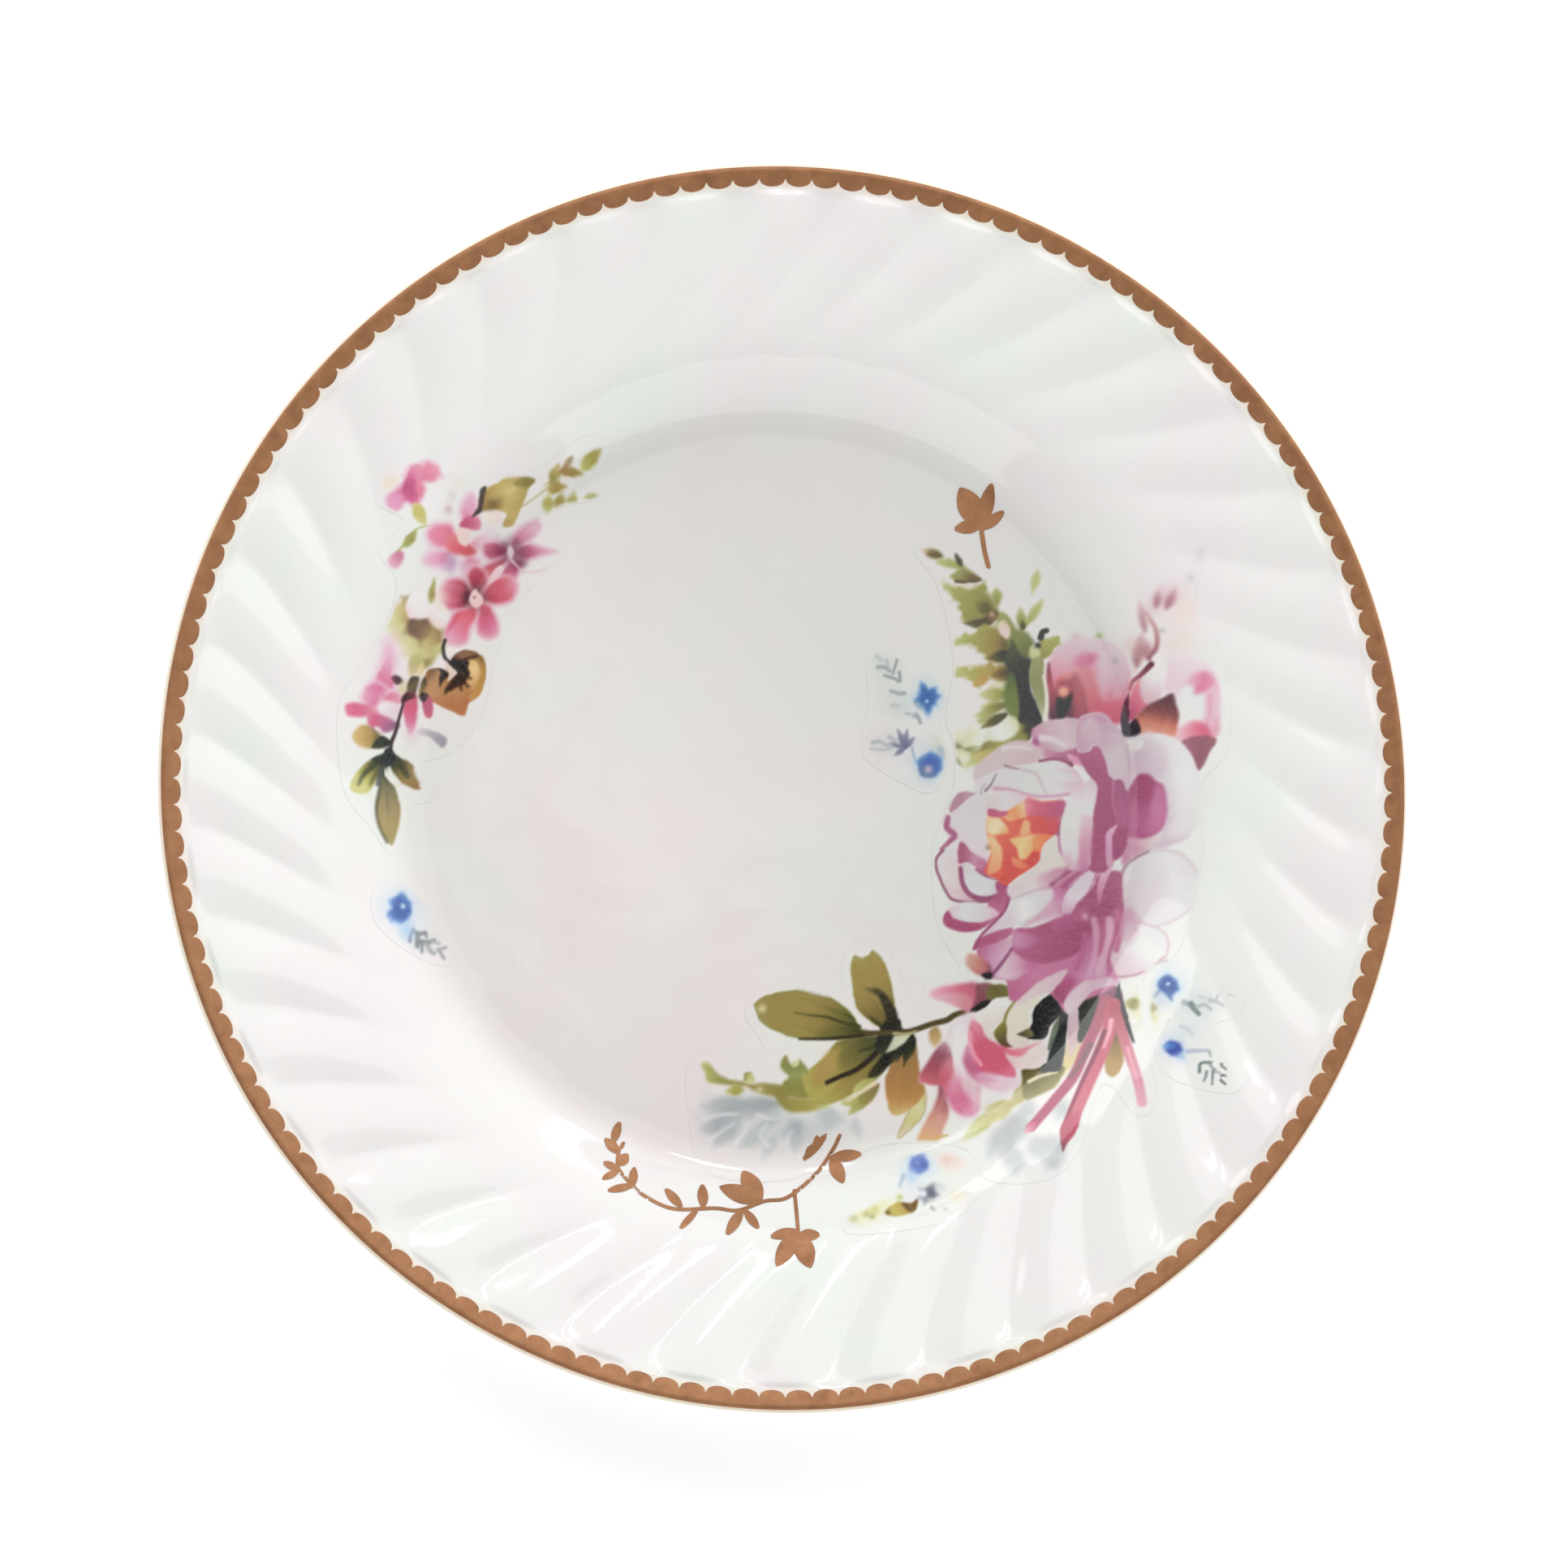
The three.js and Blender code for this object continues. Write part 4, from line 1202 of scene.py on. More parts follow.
def peony_top_petals(p):
    """The wide petals over the top of the heart."""
    left = [
        (66, 5), (61, 9), (57, 11.2), (54, 12.4), (50, 11.8), (46, 9), (43, 6), (44, 3.4), (52, 6),
        (60, 6),
    ]
    p.petal(left, [(212, 160, 183), (214, 184, 193), (216, 192, 197), (214, 192, 197)], soft=0.5, tip=5)
    p.stroke([(49.4, 10.6), (52, 11), (55.6, 10.6)], 0.8, (228, 216, 218), soft=0.4)
    p.petal(
        [(58.6, 10.6), (62, 10), (64.8, 10.6), (65.6, 8.6), (64.2, 7.4), (61, 8.4), (58.4, 8.6)],
        [(206, 150, 175), (186, 106, 142), (176, 92, 132)], soft=0.5, tip=3,
    )
    p.leaf((63.4, 9.6), (66.6, 7), 1.4, [(228, 170, 195), (222, 140, 177)], soft=0.4)
    p.petal(
        [(52, 9.8), (50, 8), (56, 7), (58.6, 8.2), (57, 9.6)],
        [(216, 186, 193), (208, 180, 187), (216, 196, 199)], soft=0.8, depth=0.8,
    )
    top = [
        (67.2, 3), (65.6, 5.6), (63.4, 7.4), (60.6, 8.4), (57, 7.8), (51, 6.6), (47.4, 5.6),
        (43.4, 3.4), (44, -0.4), (48, 1.6), (53, 1), (60, 0),
    ]
    p.petal(
        top + [(65, 1)],
        [(222, 190, 201), (224, 220, 220), (222, 220, 218), (222, 212, 216), (224, 214, 218)],
        soft=0.35, tip=7,
    )
    p.stroke([(57.4, 8), (60.6, 8.5), (63, 8), (64.5, 7.1)], 0.6, (160, 80, 112), soft=0.25, taper=-0.2)
    p.blot((64.2, 7.5), 0.6, (104, 50, 72), 0.9)
    p.stroke([(49.9, 6.9), (51.2, 6.5), (53, 6.2)], 0.6, (150, 110, 130), depth=0.8)
    p.stroke([(54, 6), (56.8, 5), (58, 2.4), (59, 0.6)], 0.8, (206, 176, 185), soft=0.5, depth=0.7)
    p.stroke([(45.6, 1.4), (46.8, 2.8), (47.9, 5)], 0.6, (130, 104, 120), depth=0.8)
    p.stroke([(45, -0.4), (44.6, 1.4), (45.6, 3)], 0.5, (160, 130, 146), depth=0.6)
    p.stroke(
        [(47.6, 1.9), (51, 1.6), (54, 0.8), (58, 0.2), (63.8, 0.8)], 0.9, (204, 140, 171), soft=0.45,
        depth=0.8,
    )


def peony_cupped_petals(p):
    """The petals at the left that curl round the heart."""
    p.petal(
        [(43.4, 0.8), (41, 1.2), (39, 0.2), (37.6, -2.4), (38.2, -3.6), (40, -2.2), (42, -0.2)],
        [(200, 164, 173), (184, 132, 150), (188, 140, 160)], soft=0.35, tip=3,
    )
    p.petal(
        [
            (47, 0.6), (43, 0), (40, -2), (37.8, -4.4), (37.4, -8), (38.4, -11), (42, -12.6),
            (46.2, -14), (46, -8), (46.6, -3),
        ],
        [(226, 212, 215), (222, 212, 218), (224, 212, 218), (230, 206, 211)], soft=0.4, tip=6,
    )
    p.stroke(
        [(37.2, -4.6), (37.2, -6.8), (38.8, -8.4), (37.7, -10), (36.2, -11.6)], 1.4, (172, 88, 126),
        soft=0.4, taper=0.1,
    )
    cup = [
        (50.6, -21.4), (46, -22.8), (40, -22.8), (37.2, -21), (35.2, -16), (35.6, -12.4), (37.4, -10.8),
        (39.8, -9.4), (40.2, -14), (44, -17),
    ]
    p.petal(cup, [(208, 150, 175), (218, 180, 189), (226, 206, 209), (228, 220, 222)], soft=0.35, tip=6)
    p.stroke(
        [
            (36.4, -11.6), (34.9, -13.4), (34.8, -15.4), (35.6, -17.8), (36.8, -20.4), (38.4, -22.4),
            (42, -22.9), (47.6, -22.6),
        ],
        0.6, (146, 84, 112), soft=0.25, taper=0,
    )
    p.petal(
        [
            (39.8, -10.2), (41, -10.2), (43, -12.4), (45.4, -13.4), (46.2, -15), (46, -17.6),
            (43.8, -15.8), (41.8, -14.2), (39.7, -14.4),
        ],
        [(168, 76, 116), (176, 88, 122), (204, 140, 167), (190, 110, 144)], soft=0.35, tip=4,
    )
    inner = [
        (40.2, -15.2), (41.6, -14.5), (43.8, -16.1), (46, -17.5), (49.4, -18.6), (49.6, -20.6),
        (46, -21.8), (42.4, -21), (40.8, -18.6),
    ]
    p.petal(
        inner, [(222, 204, 209), (222, 220, 222), (222, 220, 222), (216, 186, 195)], soft=0.3, tip=5,
    )
    p.stroke([(43.6, -15.8), (45.6, -17.2), (49, -18.2)], 0.6, (170, 90, 124), soft=0.3)
    p.stroke(
        [(40.1, -15.6), (40.6, -19), (42.4, -21.4), (45.6, -22.2), (48.8, -21.4)], 1, (152, 72, 112),
        soft=0.3, taper=-0.3,
    )
    p.petal(
        [
            (47.8, -18.6), (50.2, -18.6), (50.5, -20.6), (50.9, -21.8), (50, -23.8), (48.2, -26),
            (46, -24.4), (46.4, -22.6), (48, -21),
        ],
        [(170, 78, 120), (180, 90, 128), (196, 112, 146)], soft=0.35, tip=5,
    )
    p.petal(
        [(48.6, -25.2), (43, -22.8), (38.6, -23.6), (36.9, -25.6), (40, -28.2), (45, -27.8)],
        [(226, 186, 201), (224, 212, 215), (224, 222, 224), (222, 190, 201)], soft=0.4, tip=3,
    )
    p.petal(
        [
            (48.4, -25.6), (45, -27.2), (41.4, -27.2), (38.6, -26.4), (37.3, -24.8), (36.2, -26.8),
            (37.4, -28.6), (40.2, -29.4), (43.2, -29.2), (46.2, -27.8),
        ],
        [(196, 120, 154), (176, 84, 118), (172, 80, 118), (170, 78, 116)], soft=0.3, tip=4,
    )
    p.stroke(
        [(50.8, -21.6), (49.6, -24.8), (46.6, -28), (44.4, -30.4), (43, -33)], 0.7, (160, 76, 116),
        soft=0.25, taper=0.3,
    )


def peony_heart(p):
    """The orange heart, the pale petals that lap over its edges, and a dark tip at the lower left."""
    heart = [
        (46.2, -3.2), (49.6, -3.8), (51, -1.2), (54, 0.2), (58, -0.6), (62.4, -0.6), (61.8, -4.6),
        (60.6, -8), (58.6, -10), (57.4, -13.4), (55.6, -15.2),
    ]
    p.petal(
        heart + [(52.4, -17.4), (49.8, -19.2), (47.8, -17.6), (45.4, -16.4), (46.6, -12), (45.8, -8)],
        [(250, 196, 146), (244, 160, 112), (232, 104, 84), (224, 88, 72)], soft=0.3, tip=12,
    )
    p.petal(
        [(54, 0), (58, -0.8), (62.8, -0.6), (62, -4), (59, -5.6), (55, -4.8)],
        [(232, 150, 160), (214, 96, 120), (196, 84, 118), (186, 84, 128)], soft=0.5, tip=2,
    )
    p.petal(
        [(55, -4), (59, -4.4), (61.6, -4.6), (60.8, -8), (57.6, -7.9), (55, -7.4)],
        [(222, 88, 84), (216, 78, 76), (208, 80, 96)], soft=0.5, tip=2,
    )
    p.petal(
        [(49, -3.8), (53, -4.6), (55.2, -4.4), (55, -7.8), (52, -8.2), (50.2, -7)],
        [(232, 112, 84), (216, 82, 68)], soft=0.4,
    )
    p.petal(
        [
            (48, -8.4), (51, -8), (54, -9.4), (57, -12), (57.4, -14.2), (54, -15.8), (49.8, -19),
            (48.6, -14),
        ],
        [(230, 104, 80), (222, 88, 76), (218, 84, 78), (214, 84, 76)], soft=0.4,
    )
    for outline, tones in (
        (
            [(53, -0.6), (54.2, -2), (53, -4.2), (51, -5.2), (49, -3.8), (51, -2.6), (51.6, -0.8)],
            [(248, 200, 150), (242, 150, 96), (236, 172, 130)],
        ),
        (
            [(46.4, -4.4), (48.8, -5), (50.6, -7.2), (48.6, -8), (46.2, -7.6)],
            [(250, 206, 160), (252, 216, 176), (240, 160, 100)],
        ),
        (
            [(54, -5), (55.2, -5.6), (55.2, -7.6), (54, -8.4), (53, -7.8)],
            [(252, 180, 136), (250, 170, 120)],
        ),
        (
            [(51, -9.2), (54, -8.6), (56, -8.2), (56.4, -10.4), (54.8, -13), (53, -13.4), (52.4, -11)],
            [(248, 186, 116), (252, 206, 148), (246, 172, 108)],
        ),
        (
            [(56.4, -8.4), (60.2, -8.2), (58.8, -10), (57.4, -11.6), (56, -11)],
            [(244, 148, 96), (236, 124, 84)],
        ),
        (
            [
                (46.4, -8.6), (48, -9.4), (49.2, -11.6), (48.8, -15.6), (46, -16.6), (46.8, -12.6),
                (46, -10),
            ],
            [(248, 200, 150), (246, 178, 130), (244, 160, 118)],
        ),
        (
            [(51.4, -13), (53.6, -14), (55, -14.8), (53.8, -15.6), (52, -15)],
            [(242, 150, 108), (236, 126, 92)],
        ),
    ):
        p.petal(outline, tones, soft=0.35)
    p.blot((46.2, -11), 0.7, (150, 120, 84), 0.7)
    p.petal(
        [
            (54.4, 0), (52, 1.2), (48, 1.2), (46.2, 0), (45.8, -2.2), (48.4, -2.9), (51, -2.4),
            (53, -1.2),
        ],
        [(228, 200, 207), (226, 214, 218), (224, 206, 209)], soft=0.35, tip=3,
    )
    p.petal(
        [(46.2, -2.6), (48.6, -2.9), (50.6, -3.2), (48.8, -4.4), (46.4, -4.2)],
        [(190, 80, 124), (204, 96, 122)], soft=0.3,
    )
    lap = [
        (50.3, -19.8), (53, -17.6), (56, -15.2), (57.4, -13.4), (57.8, -11), (59.4, -9), (61.2, -8.4),
        (61.6, -11.6), (63, -14.8), (61.4, -17), (58, -18), (54.6, -20), (51.4, -22),
    ]
    p.petal(lap, [(222, 206, 210), (224, 216, 212), (226, 220, 210), (226, 222, 212)], soft=0.3, tip=6)
    p.petal(
        [(56.6, -17.6), (60, -15.6), (63.4, -15.2), (61.6, -17.8), (58, -19)],
        [(220, 186, 197), (206, 150, 173), (196, 120, 154)], soft=0.7, depth=0.8,
    )
    p.petal(
        [
            (41.2, -36.2), (41.8, -34.2), (44, -34.4), (46.4, -36.4), (46.9, -39.2), (44.8, -39),
            (42.6, -38),
        ],
        [(214, 168, 156), (206, 140, 128), (190, 110, 116), (80, 46, 66)], soft=0.6, tip=4,
    )
    p.petal(
        [(44.6, -38.6), (46.6, -38.2), (46.8, -39.4), (45.6, -39.5)], [(40, 24, 36), BLACK], soft=0.35,
    )


def shadow_leaves(p):
    """The pale grey shadow leaves at the spray's lower left."""
    for centre, size, colour, depth, stretch, turn in (
        ((-11, -70.4), 5, (186, 196, 196), 0.75, 1.5, 0),
        ((-3, -68), 3.4, (162, 172, 174), 0.7, 2.2, 0), ((6, -72.6), 4, (186, 194, 196), 0.7, 1.3, 0),
        ((0, -73), 4.4, HAZE, 0.6, 1.5, 0.4), ((12, -70.6), 3.4, (190, 198, 200), 0.6, 1.4, 0),
    ):
        p.blot(centre, size, colour, depth, stretch, turn)
    for root, tip, width, tones in (
        ((1, -67), (-10, -67.8), 3, [(150, 158, 158), SHADE, (176, 186, 186)]),
        ((-6, -67.4), (-16.4, -67.8), 4, [SHADE, (168, 180, 178), HAZE]),
        ((-8, -70), (-16.6, -73.2), 3.8, [(178, 188, 188), SHADE, HAZE]),
        ((-8, -70), (-13.6, -76.6), 4, [(182, 192, 192), (176, 188, 188), HAZE]),
        ((-2, -72), (-8, -76.6), 3.6, [HAZE, (188, 198, 198), HAZE]),
        ((1, -70), (-4, -72), 1.5, [SHADE, (180, 188, 188)]),
        ((5.6, -71), (1, -74), 3, [(168, 178, 182), (178, 186, 190), HAZE]),
        ((4.6, -72), (4, -77.6), 3, [SHADE, (186, 194, 196), HAZE]),
        ((0, -74), (-3, -79), 2.2, [(190, 198, 200), (202, 208, 208)]),
        ((12, -68), (10.6, -72.6), 3, [(178, 186, 188), HAZE]),
        ((17, -70), (18, -74.6), 2.4, [(192, 200, 202), (206, 212, 212)]),
        ((9, -69), (15, -70.6), 2.6, [(190, 198, 200), HAZE]),
    ):
        p.leaf(root, tip, width, tones, soft=1.1, depth=0.8)
    for points, width in (
        ([(-4, -69.6), (-1, -70.4), (1, -70)], 0.9), ([(-1.6, -76.4), (-3.4, -74), (-2, -71.4)], 0.9),
        ([(3, -78), (2.4, -75), (3.4, -73)], 0.8), ([(-16, -70.6), (-12, -69.6), (-8.6, -69.4)], 1),
        ([(-15, -75.4), (-11.6, -73), (-9, -71.4)], 0.9), ([(-8.4, -79), (-8.8, -76), (-6.6, -73)], 1),
    ):
        p.stroke(points, width, (228, 232, 232), soft=0.6, depth=0.8)


def olive_tip(p):
    """The knobbly tip and the prongs at the far left of the leaf spray."""
    twig = [
        (-16.2, -58.6), (-14.6, -58.4), (-13, -60.4), (-10.6, -61.8), (-7.4, -62.4), (-5.4, -62.8),
        (-2, -62.6), (2.6, -63.6), (2.6, -65.8), (-2, -65.2), (-4.6, -64.4), (-7, -63.4), (-12, -63),
        (-14.8, -62.4), (-15.6, -60.6),
    ]
    p.petal(
        twig, [LIME, (150, 156, 84), (160, 142, 78), (158, 150, 88), (142, 132, 66)], soft=0.6, tip=7,
    )
    p.leaf((-7, -64), (-11, -64.6), 2.2, [FERN, (168, 164, 84), LIME], soft=0.6)
    p.petal(
        [(-5, -62.8), (-6.8, -62.2), (-7, -60.6), (-5.6, -60.4), (-4.6, -61.4)],
        [(206, 206, 164), LIME, (158, 156, 100)], soft=0.4,
    )
    p.blot((-3.6, -64), 1, (214, 212, 170), 0.8)
    p.stroke([(-6.8, -62), (-6.4, -60.6), (-5.4, -60.4)], 0.5, (150, 146, 84), depth=0.8)
    prongs = [
        (2, -65), (1.4, -62.6), (2.6, -61.2), (1, -59.4), (1, -58.2), (2, -56.6), (3.2, -58.4),
        (4.6, -58.6), (5, -57.4), (6.2, -58.6), (7.2, -60.4), (7.6, -63), (6.6, -66),
    ]
    p.petal(
        prongs, [(146, 138, 70), (140, 138, 72), (152, 156, 92), (136, 138, 78), (150, 140, 70)],
        soft=0.5, tip=5,
    )
    p.leaf((3.6, -59), (4.8, -57.6), 1.2, [LIME, (222, 222, 184)], soft=0.4)
    p.leaf((6.6, -63.4), (6.2, -60.4), 1.2, [(206, 180, 100), (196, 176, 100)], soft=0.5)
    p.petal(
        [(0, -64.6), (3, -65.6), (8, -66), (12, -67), (8, -68.6), (3, -68.8), (0.6, -67)],
        [(140, 132, 66), (158, 148, 76), (172, 160, 84), LIME], soft=0.7, tip=3,
    )


def lower_leaf(p):
    """The lower olive leaf and the small dark ones beside it."""
    third = [
        (24.6, -51.8), (20, -52.2), (13.4, -53.4), (10.4, -57), (6.8, -60), (6, -63.6), (8, -66.6),
        (12, -66.8), (16, -65.2), (20, -62.4), (22.4, -58.4), (24.6, -54.6),
    ]
    third_tones = [
        (50, 54, 34), (92, 92, 48), (128, 118, 58), (156, 138, 70), (172, 160, 84), (178, 168, 90),
    ]
    p.petal(third, third_tones, soft=0.4, tip=6, edge=(160, 156, 80), rim=0.5)
    p.petal(
        [(8, -60.6), (11, -56), (14, -55), (13, -59), (10.4, -62.6), (8, -63)],
        [(172, 142, 78), (180, 150, 84), (178, 160, 84)], soft=1, depth=0.8,
    )
    p.petal(
        [(15, -54.4), (19, -53.2), (22.6, -53.8), (20, -56.4), (15, -59.4), (13.6, -57)],
        [(112, 108, 54), (88, 90, 44), (70, 74, 40)], soft=1.3, depth=0.7,
    )
    p.stroke(
        [(24.4, -52), (21.4, -56.2), (17.6, -59.4), (14, -61), (11, -62.4)], 1.2, (34, 24, 10),
        taper=0.25, soft=0.35,
    )
    p.stroke([(22, -54), (20, -55), (18, -55.4)], 0.8, (44, 46, 26), depth=0.8, soft=0.5)
    p.petal(
        [(24, -54), (23, -58), (21, -61.4), (17, -64), (18.4, -64.6), (22.4, -61), (24.6, -57)],
        [(108, 128, 74), (134, 156, 96), (146, 150, 84), LIME], soft=0.5, tip=3,
    )
    for root, tip, width, tones in (
        ((27, -54), (20.4, -61.2), 2.6, [(14, 16, 8), (20, 20, 8), (52, 44, 18)]),
        ((24, -58), (19.8, -61.4), 2.2, [(24, 28, 14), (56, 50, 18)]),
        ((22.4, -62.4), (15.6, -69.4), 3, [(130, 112, 70), (150, 144, 76), LIME]),
        ((21, -61.6), (16.6, -64), 2, [(164, 162, 84), LIME]), ((18, -66), (14, -67), 2, [FERN, LIME]),
    ):
        p.leaf(root, tip, width, tones, soft=0.45)
    p.stroke([(21.4, -62.4), (18.4, -64.4), (15.4, -66.4)], 1.1, (232, 218, 186), soft=0.35, depth=0.9)


def golden_leaf(p):
    """The golden leaf that hangs down, and its dark top."""
    p.petal(
        [(31.8, -63), (32.6, -66), (31.6, -69.6), (28, -73.4), (26.4, -74), (28, -70), (30, -66)],
        [(196, 190, 116), (216, 212, 164), (208, 206, 140), (222, 200, 190)], edge=(170, 150, 80),
        rim=0.4, soft=0.5,
    )
    golden = [
        (29.6, -51.6), (27.6, -54.6), (25, -58.4), (23.6, -62), (24, -66), (25, -69), (27.6, -69),
        (30.6, -66.6), (32.2, -64), (31.2, -60), (30.6, -55),
    ]
    p.petal(
        golden,
        [(66, 60, 34), (140, 116, 62), (162, 122, 72), (170, 126, 72), (184, 138, 76), (214, 188, 124)],
        soft=0.4, tip=6,
    )
    for root, tip, width in (
        ((29.4, -51.8), (27.6, -58.8), 1.8), ((28.6, -52.6), (26, -57.8), 1.6),
        ((29.8, -51.8), (29, -57), 1.6), ((28.4, -52.6), (24.4, -58.8), 1.4),
    ):
        p.leaf(root, tip, width, [(24, 30, 18), (28, 36, 20), (74, 68, 34)], soft=0.35, widest=0.35)
    p.petal(
        [(25, -52.2), (29.2, -51.4), (28, -53.4), (25.6, -55.2), (23.6, -55.6)],
        [(196, 206, 178), (212, 218, 188), (190, 200, 160)], soft=0.4,
    )
    p.petal(
        [(22.6, -51.4), (25.6, -51.6), (25.2, -53), (23.4, -56), (21.6, -55)],
        [(22, 24, 16), (34, 38, 26), (50, 56, 34)], soft=0.4,
    )


def long_leaf(p):
    """The long olive leaf that points to the left."""
    first = [
        (19.6, -51.5), (16, -52.4), (12, -53.1), (5, -53), (0, -51.4), (-3.4, -49.4), (-4.6, -46.4),
        (-4.8, -45.4), (-2, -43.6), (4, -42.4), (10, -43.2), (14, -45.2), (17, -48), (18.2, -50.4),
    ]
    first_tones = [
        (44, 48, 22), (104, 102, 46), (146, 128, 66), (156, 138, 74), (152, 138, 74), (156, 146, 84),
    ]
    p.petal(first, first_tones, soft=0.25, tip=7, edge=(142, 146, 80), rim=0.5)
    p.petal(
        [(10, -50.8), (17, -50.6), (20, -51.6), (15, -52.8), (9, -52.8)],
        [(120, 112, 52), (88, 88, 38), (56, 56, 26)], soft=0.8, depth=0.8,
    )
    p.stroke(
        [(21, -51.7), (16.4, -52.4), (11, -52.9), (5, -53)], 0.9, (44, 40, 12), taper=0.5, soft=0.3,
    )
    p.stroke(
        [(18, -50.2), (14.6, -49.4), (11, -48.2), (7, -47.8), (4, -47.3)], 0.9, (62, 60, 22),
        taper=0.85, soft=0.35,
    )
    p.blot((-3, -46.6), 1.1, (222, 214, 164), 0.85)


def upright_leaf(p):
    """The upright olive leaf, and the twig that joins the leaves."""
    second = [
        (26.8, -50.6), (23.4, -50.8), (19.4, -48.4), (17.4, -46), (16.6, -42), (16.2, -37), (17, -34.8),
        (18.6, -35.2), (20, -34.6), (21, -33.6), (23, -35.4), (24.8, -39.6), (25.6, -44), (26, -47),
    ]
    p.petal(
        second,
        [(44, 46, 22), (112, 100, 48), (146, 128, 68), (160, 138, 72), (164, 142, 76), (160, 150, 84)],
        soft=0.3, tip=9, edge=(156, 152, 84), rim=0.5,
    )
    p.petal(
        [
            (26.6, -50.8), (24.4, -50), (23.6, -47), (22, -43.6), (19.4, -41.9), (22, -41.9),
            (24, -43.4), (26, -46.6),
        ],
        [(30, 30, 18), (44, 42, 26), (52, 48, 26), (96, 88, 40)], soft=0.5, tip=4,
    )
    p.stroke([(23.8, -50.8), (22, -49.4), (20.4, -48)], 1, (56, 58, 22), taper=0.7, soft=0.4)
    p.petal(
        [(22.6, -50.8), (25.8, -51.6), (29, -51), (27.4, -50.4), (26.8, -48.6), (24.4, -48.6)],
        [(26, 28, 18), (36, 34, 24), (40, 36, 24)], soft=0.3, tip=2,
    )
    p.stroke(
        [
            (19.4, -51.6), (23, -51.5), (27, -51.4), (30, -50.8), (34, -49.4), (37, -48.6), (39, -47.4),
            (42, -46.6),
        ],
        1.1, (80, 68, 36), taper=-0.2, soft=0.3,
    )
    p.stroke([(25.6, -51.6), (28.4, -51.6), (30.4, -51)], 0.6, (214, 212, 160), soft=0.3, depth=0.8)


def cream_star(p):
    """The small cream blossom beside the cut stems, which lies on two sheets."""
    p.blot((78.6, -46), 5.4, (216, 213, 186), 0.9)
    for root, tip, width, tones in (
        ((79.2, -45.2), (79, -41.2), 2.2, [(232, 230, 200), (226, 226, 196), WHITE]),
        ((79, -46), (76.8, -49.4), 2.6, [(236, 232, 204), (226, 224, 186), WHITE]),
        ((79.6, -46), (81.8, -49.8), 1.8, [(196, 188, 126), (214, 210, 166), (228, 226, 200)]),
        ((79.8, -45.4), (83.6, -44.2), 1.8, [(232, 230, 204), WHITE]),
        ((78.6, -45.4), (75.4, -44.8), 2.8, [(190, 182, 112), (150, 142, 80), (170, 168, 100)]),
        ((79.6, -45.8), (81.8, -46.4), 2, [(190, 180, 116), (160, 150, 90)]),
    ):
        p.leaf(root, tip, width, tones, soft=0.6)
    p.blot((79.2, -45.6), 1, (240, 236, 206), 0.9)


def trumpet_surround(p):
    """The grey shadow leaves, small olive leaves and cream blossom round the pink trumpet."""
    for root, tip, width in (
        ((53, -68), (50, -77), 5.4), ((51, -71), (45, -79), 4.6), ((50, -76), (51, -83), 4.6),
        ((55, -74), (57, -80), 5), ((58, -74), (61, -80), 4), ((60, -79), (57, -82), 3),
        ((55, -66), (53, -71), 3.6), ((62, -66), (60, -71), 3.4),
    ):
        p.leaf(
            root, tip, width, [(196, 196, 194), (190, 196, 196), (210, 216, 216)], soft=1.3, depth=0.85,
        )
    for root, tip, width, tones in (
        ((59, -58), (50, -68), 3.6, [(150, 140, 84), (176, 168, 104), (200, 192, 136)]),
        ((51, -66), (46, -70.6), 3.6, [(190, 184, 122), (206, 200, 140)]),
        ((48, -68), (40, -75), 3, [(192, 182, 116), (204, 202, 142), (222, 222, 186)]),
        ((50, -67), (45, -68), 2.2, [(192, 186, 122), (216, 212, 170)]),
        ((66, -52), (60, -62), 3.4, [(206, 186, 124), (222, 206, 150), (206, 196, 140)]),
        ((65, -47), (64.4, -56), 2.6, [(196, 160, 170), (226, 208, 176)]),
        ((34.6, -50), (34.4, -54.4), 2.8, [(160, 136, 84), (190, 160, 104), (208, 180, 130)]),
    ):
        p.leaf(root, tip, width, tones, soft=0.6)
    cream_star(p)


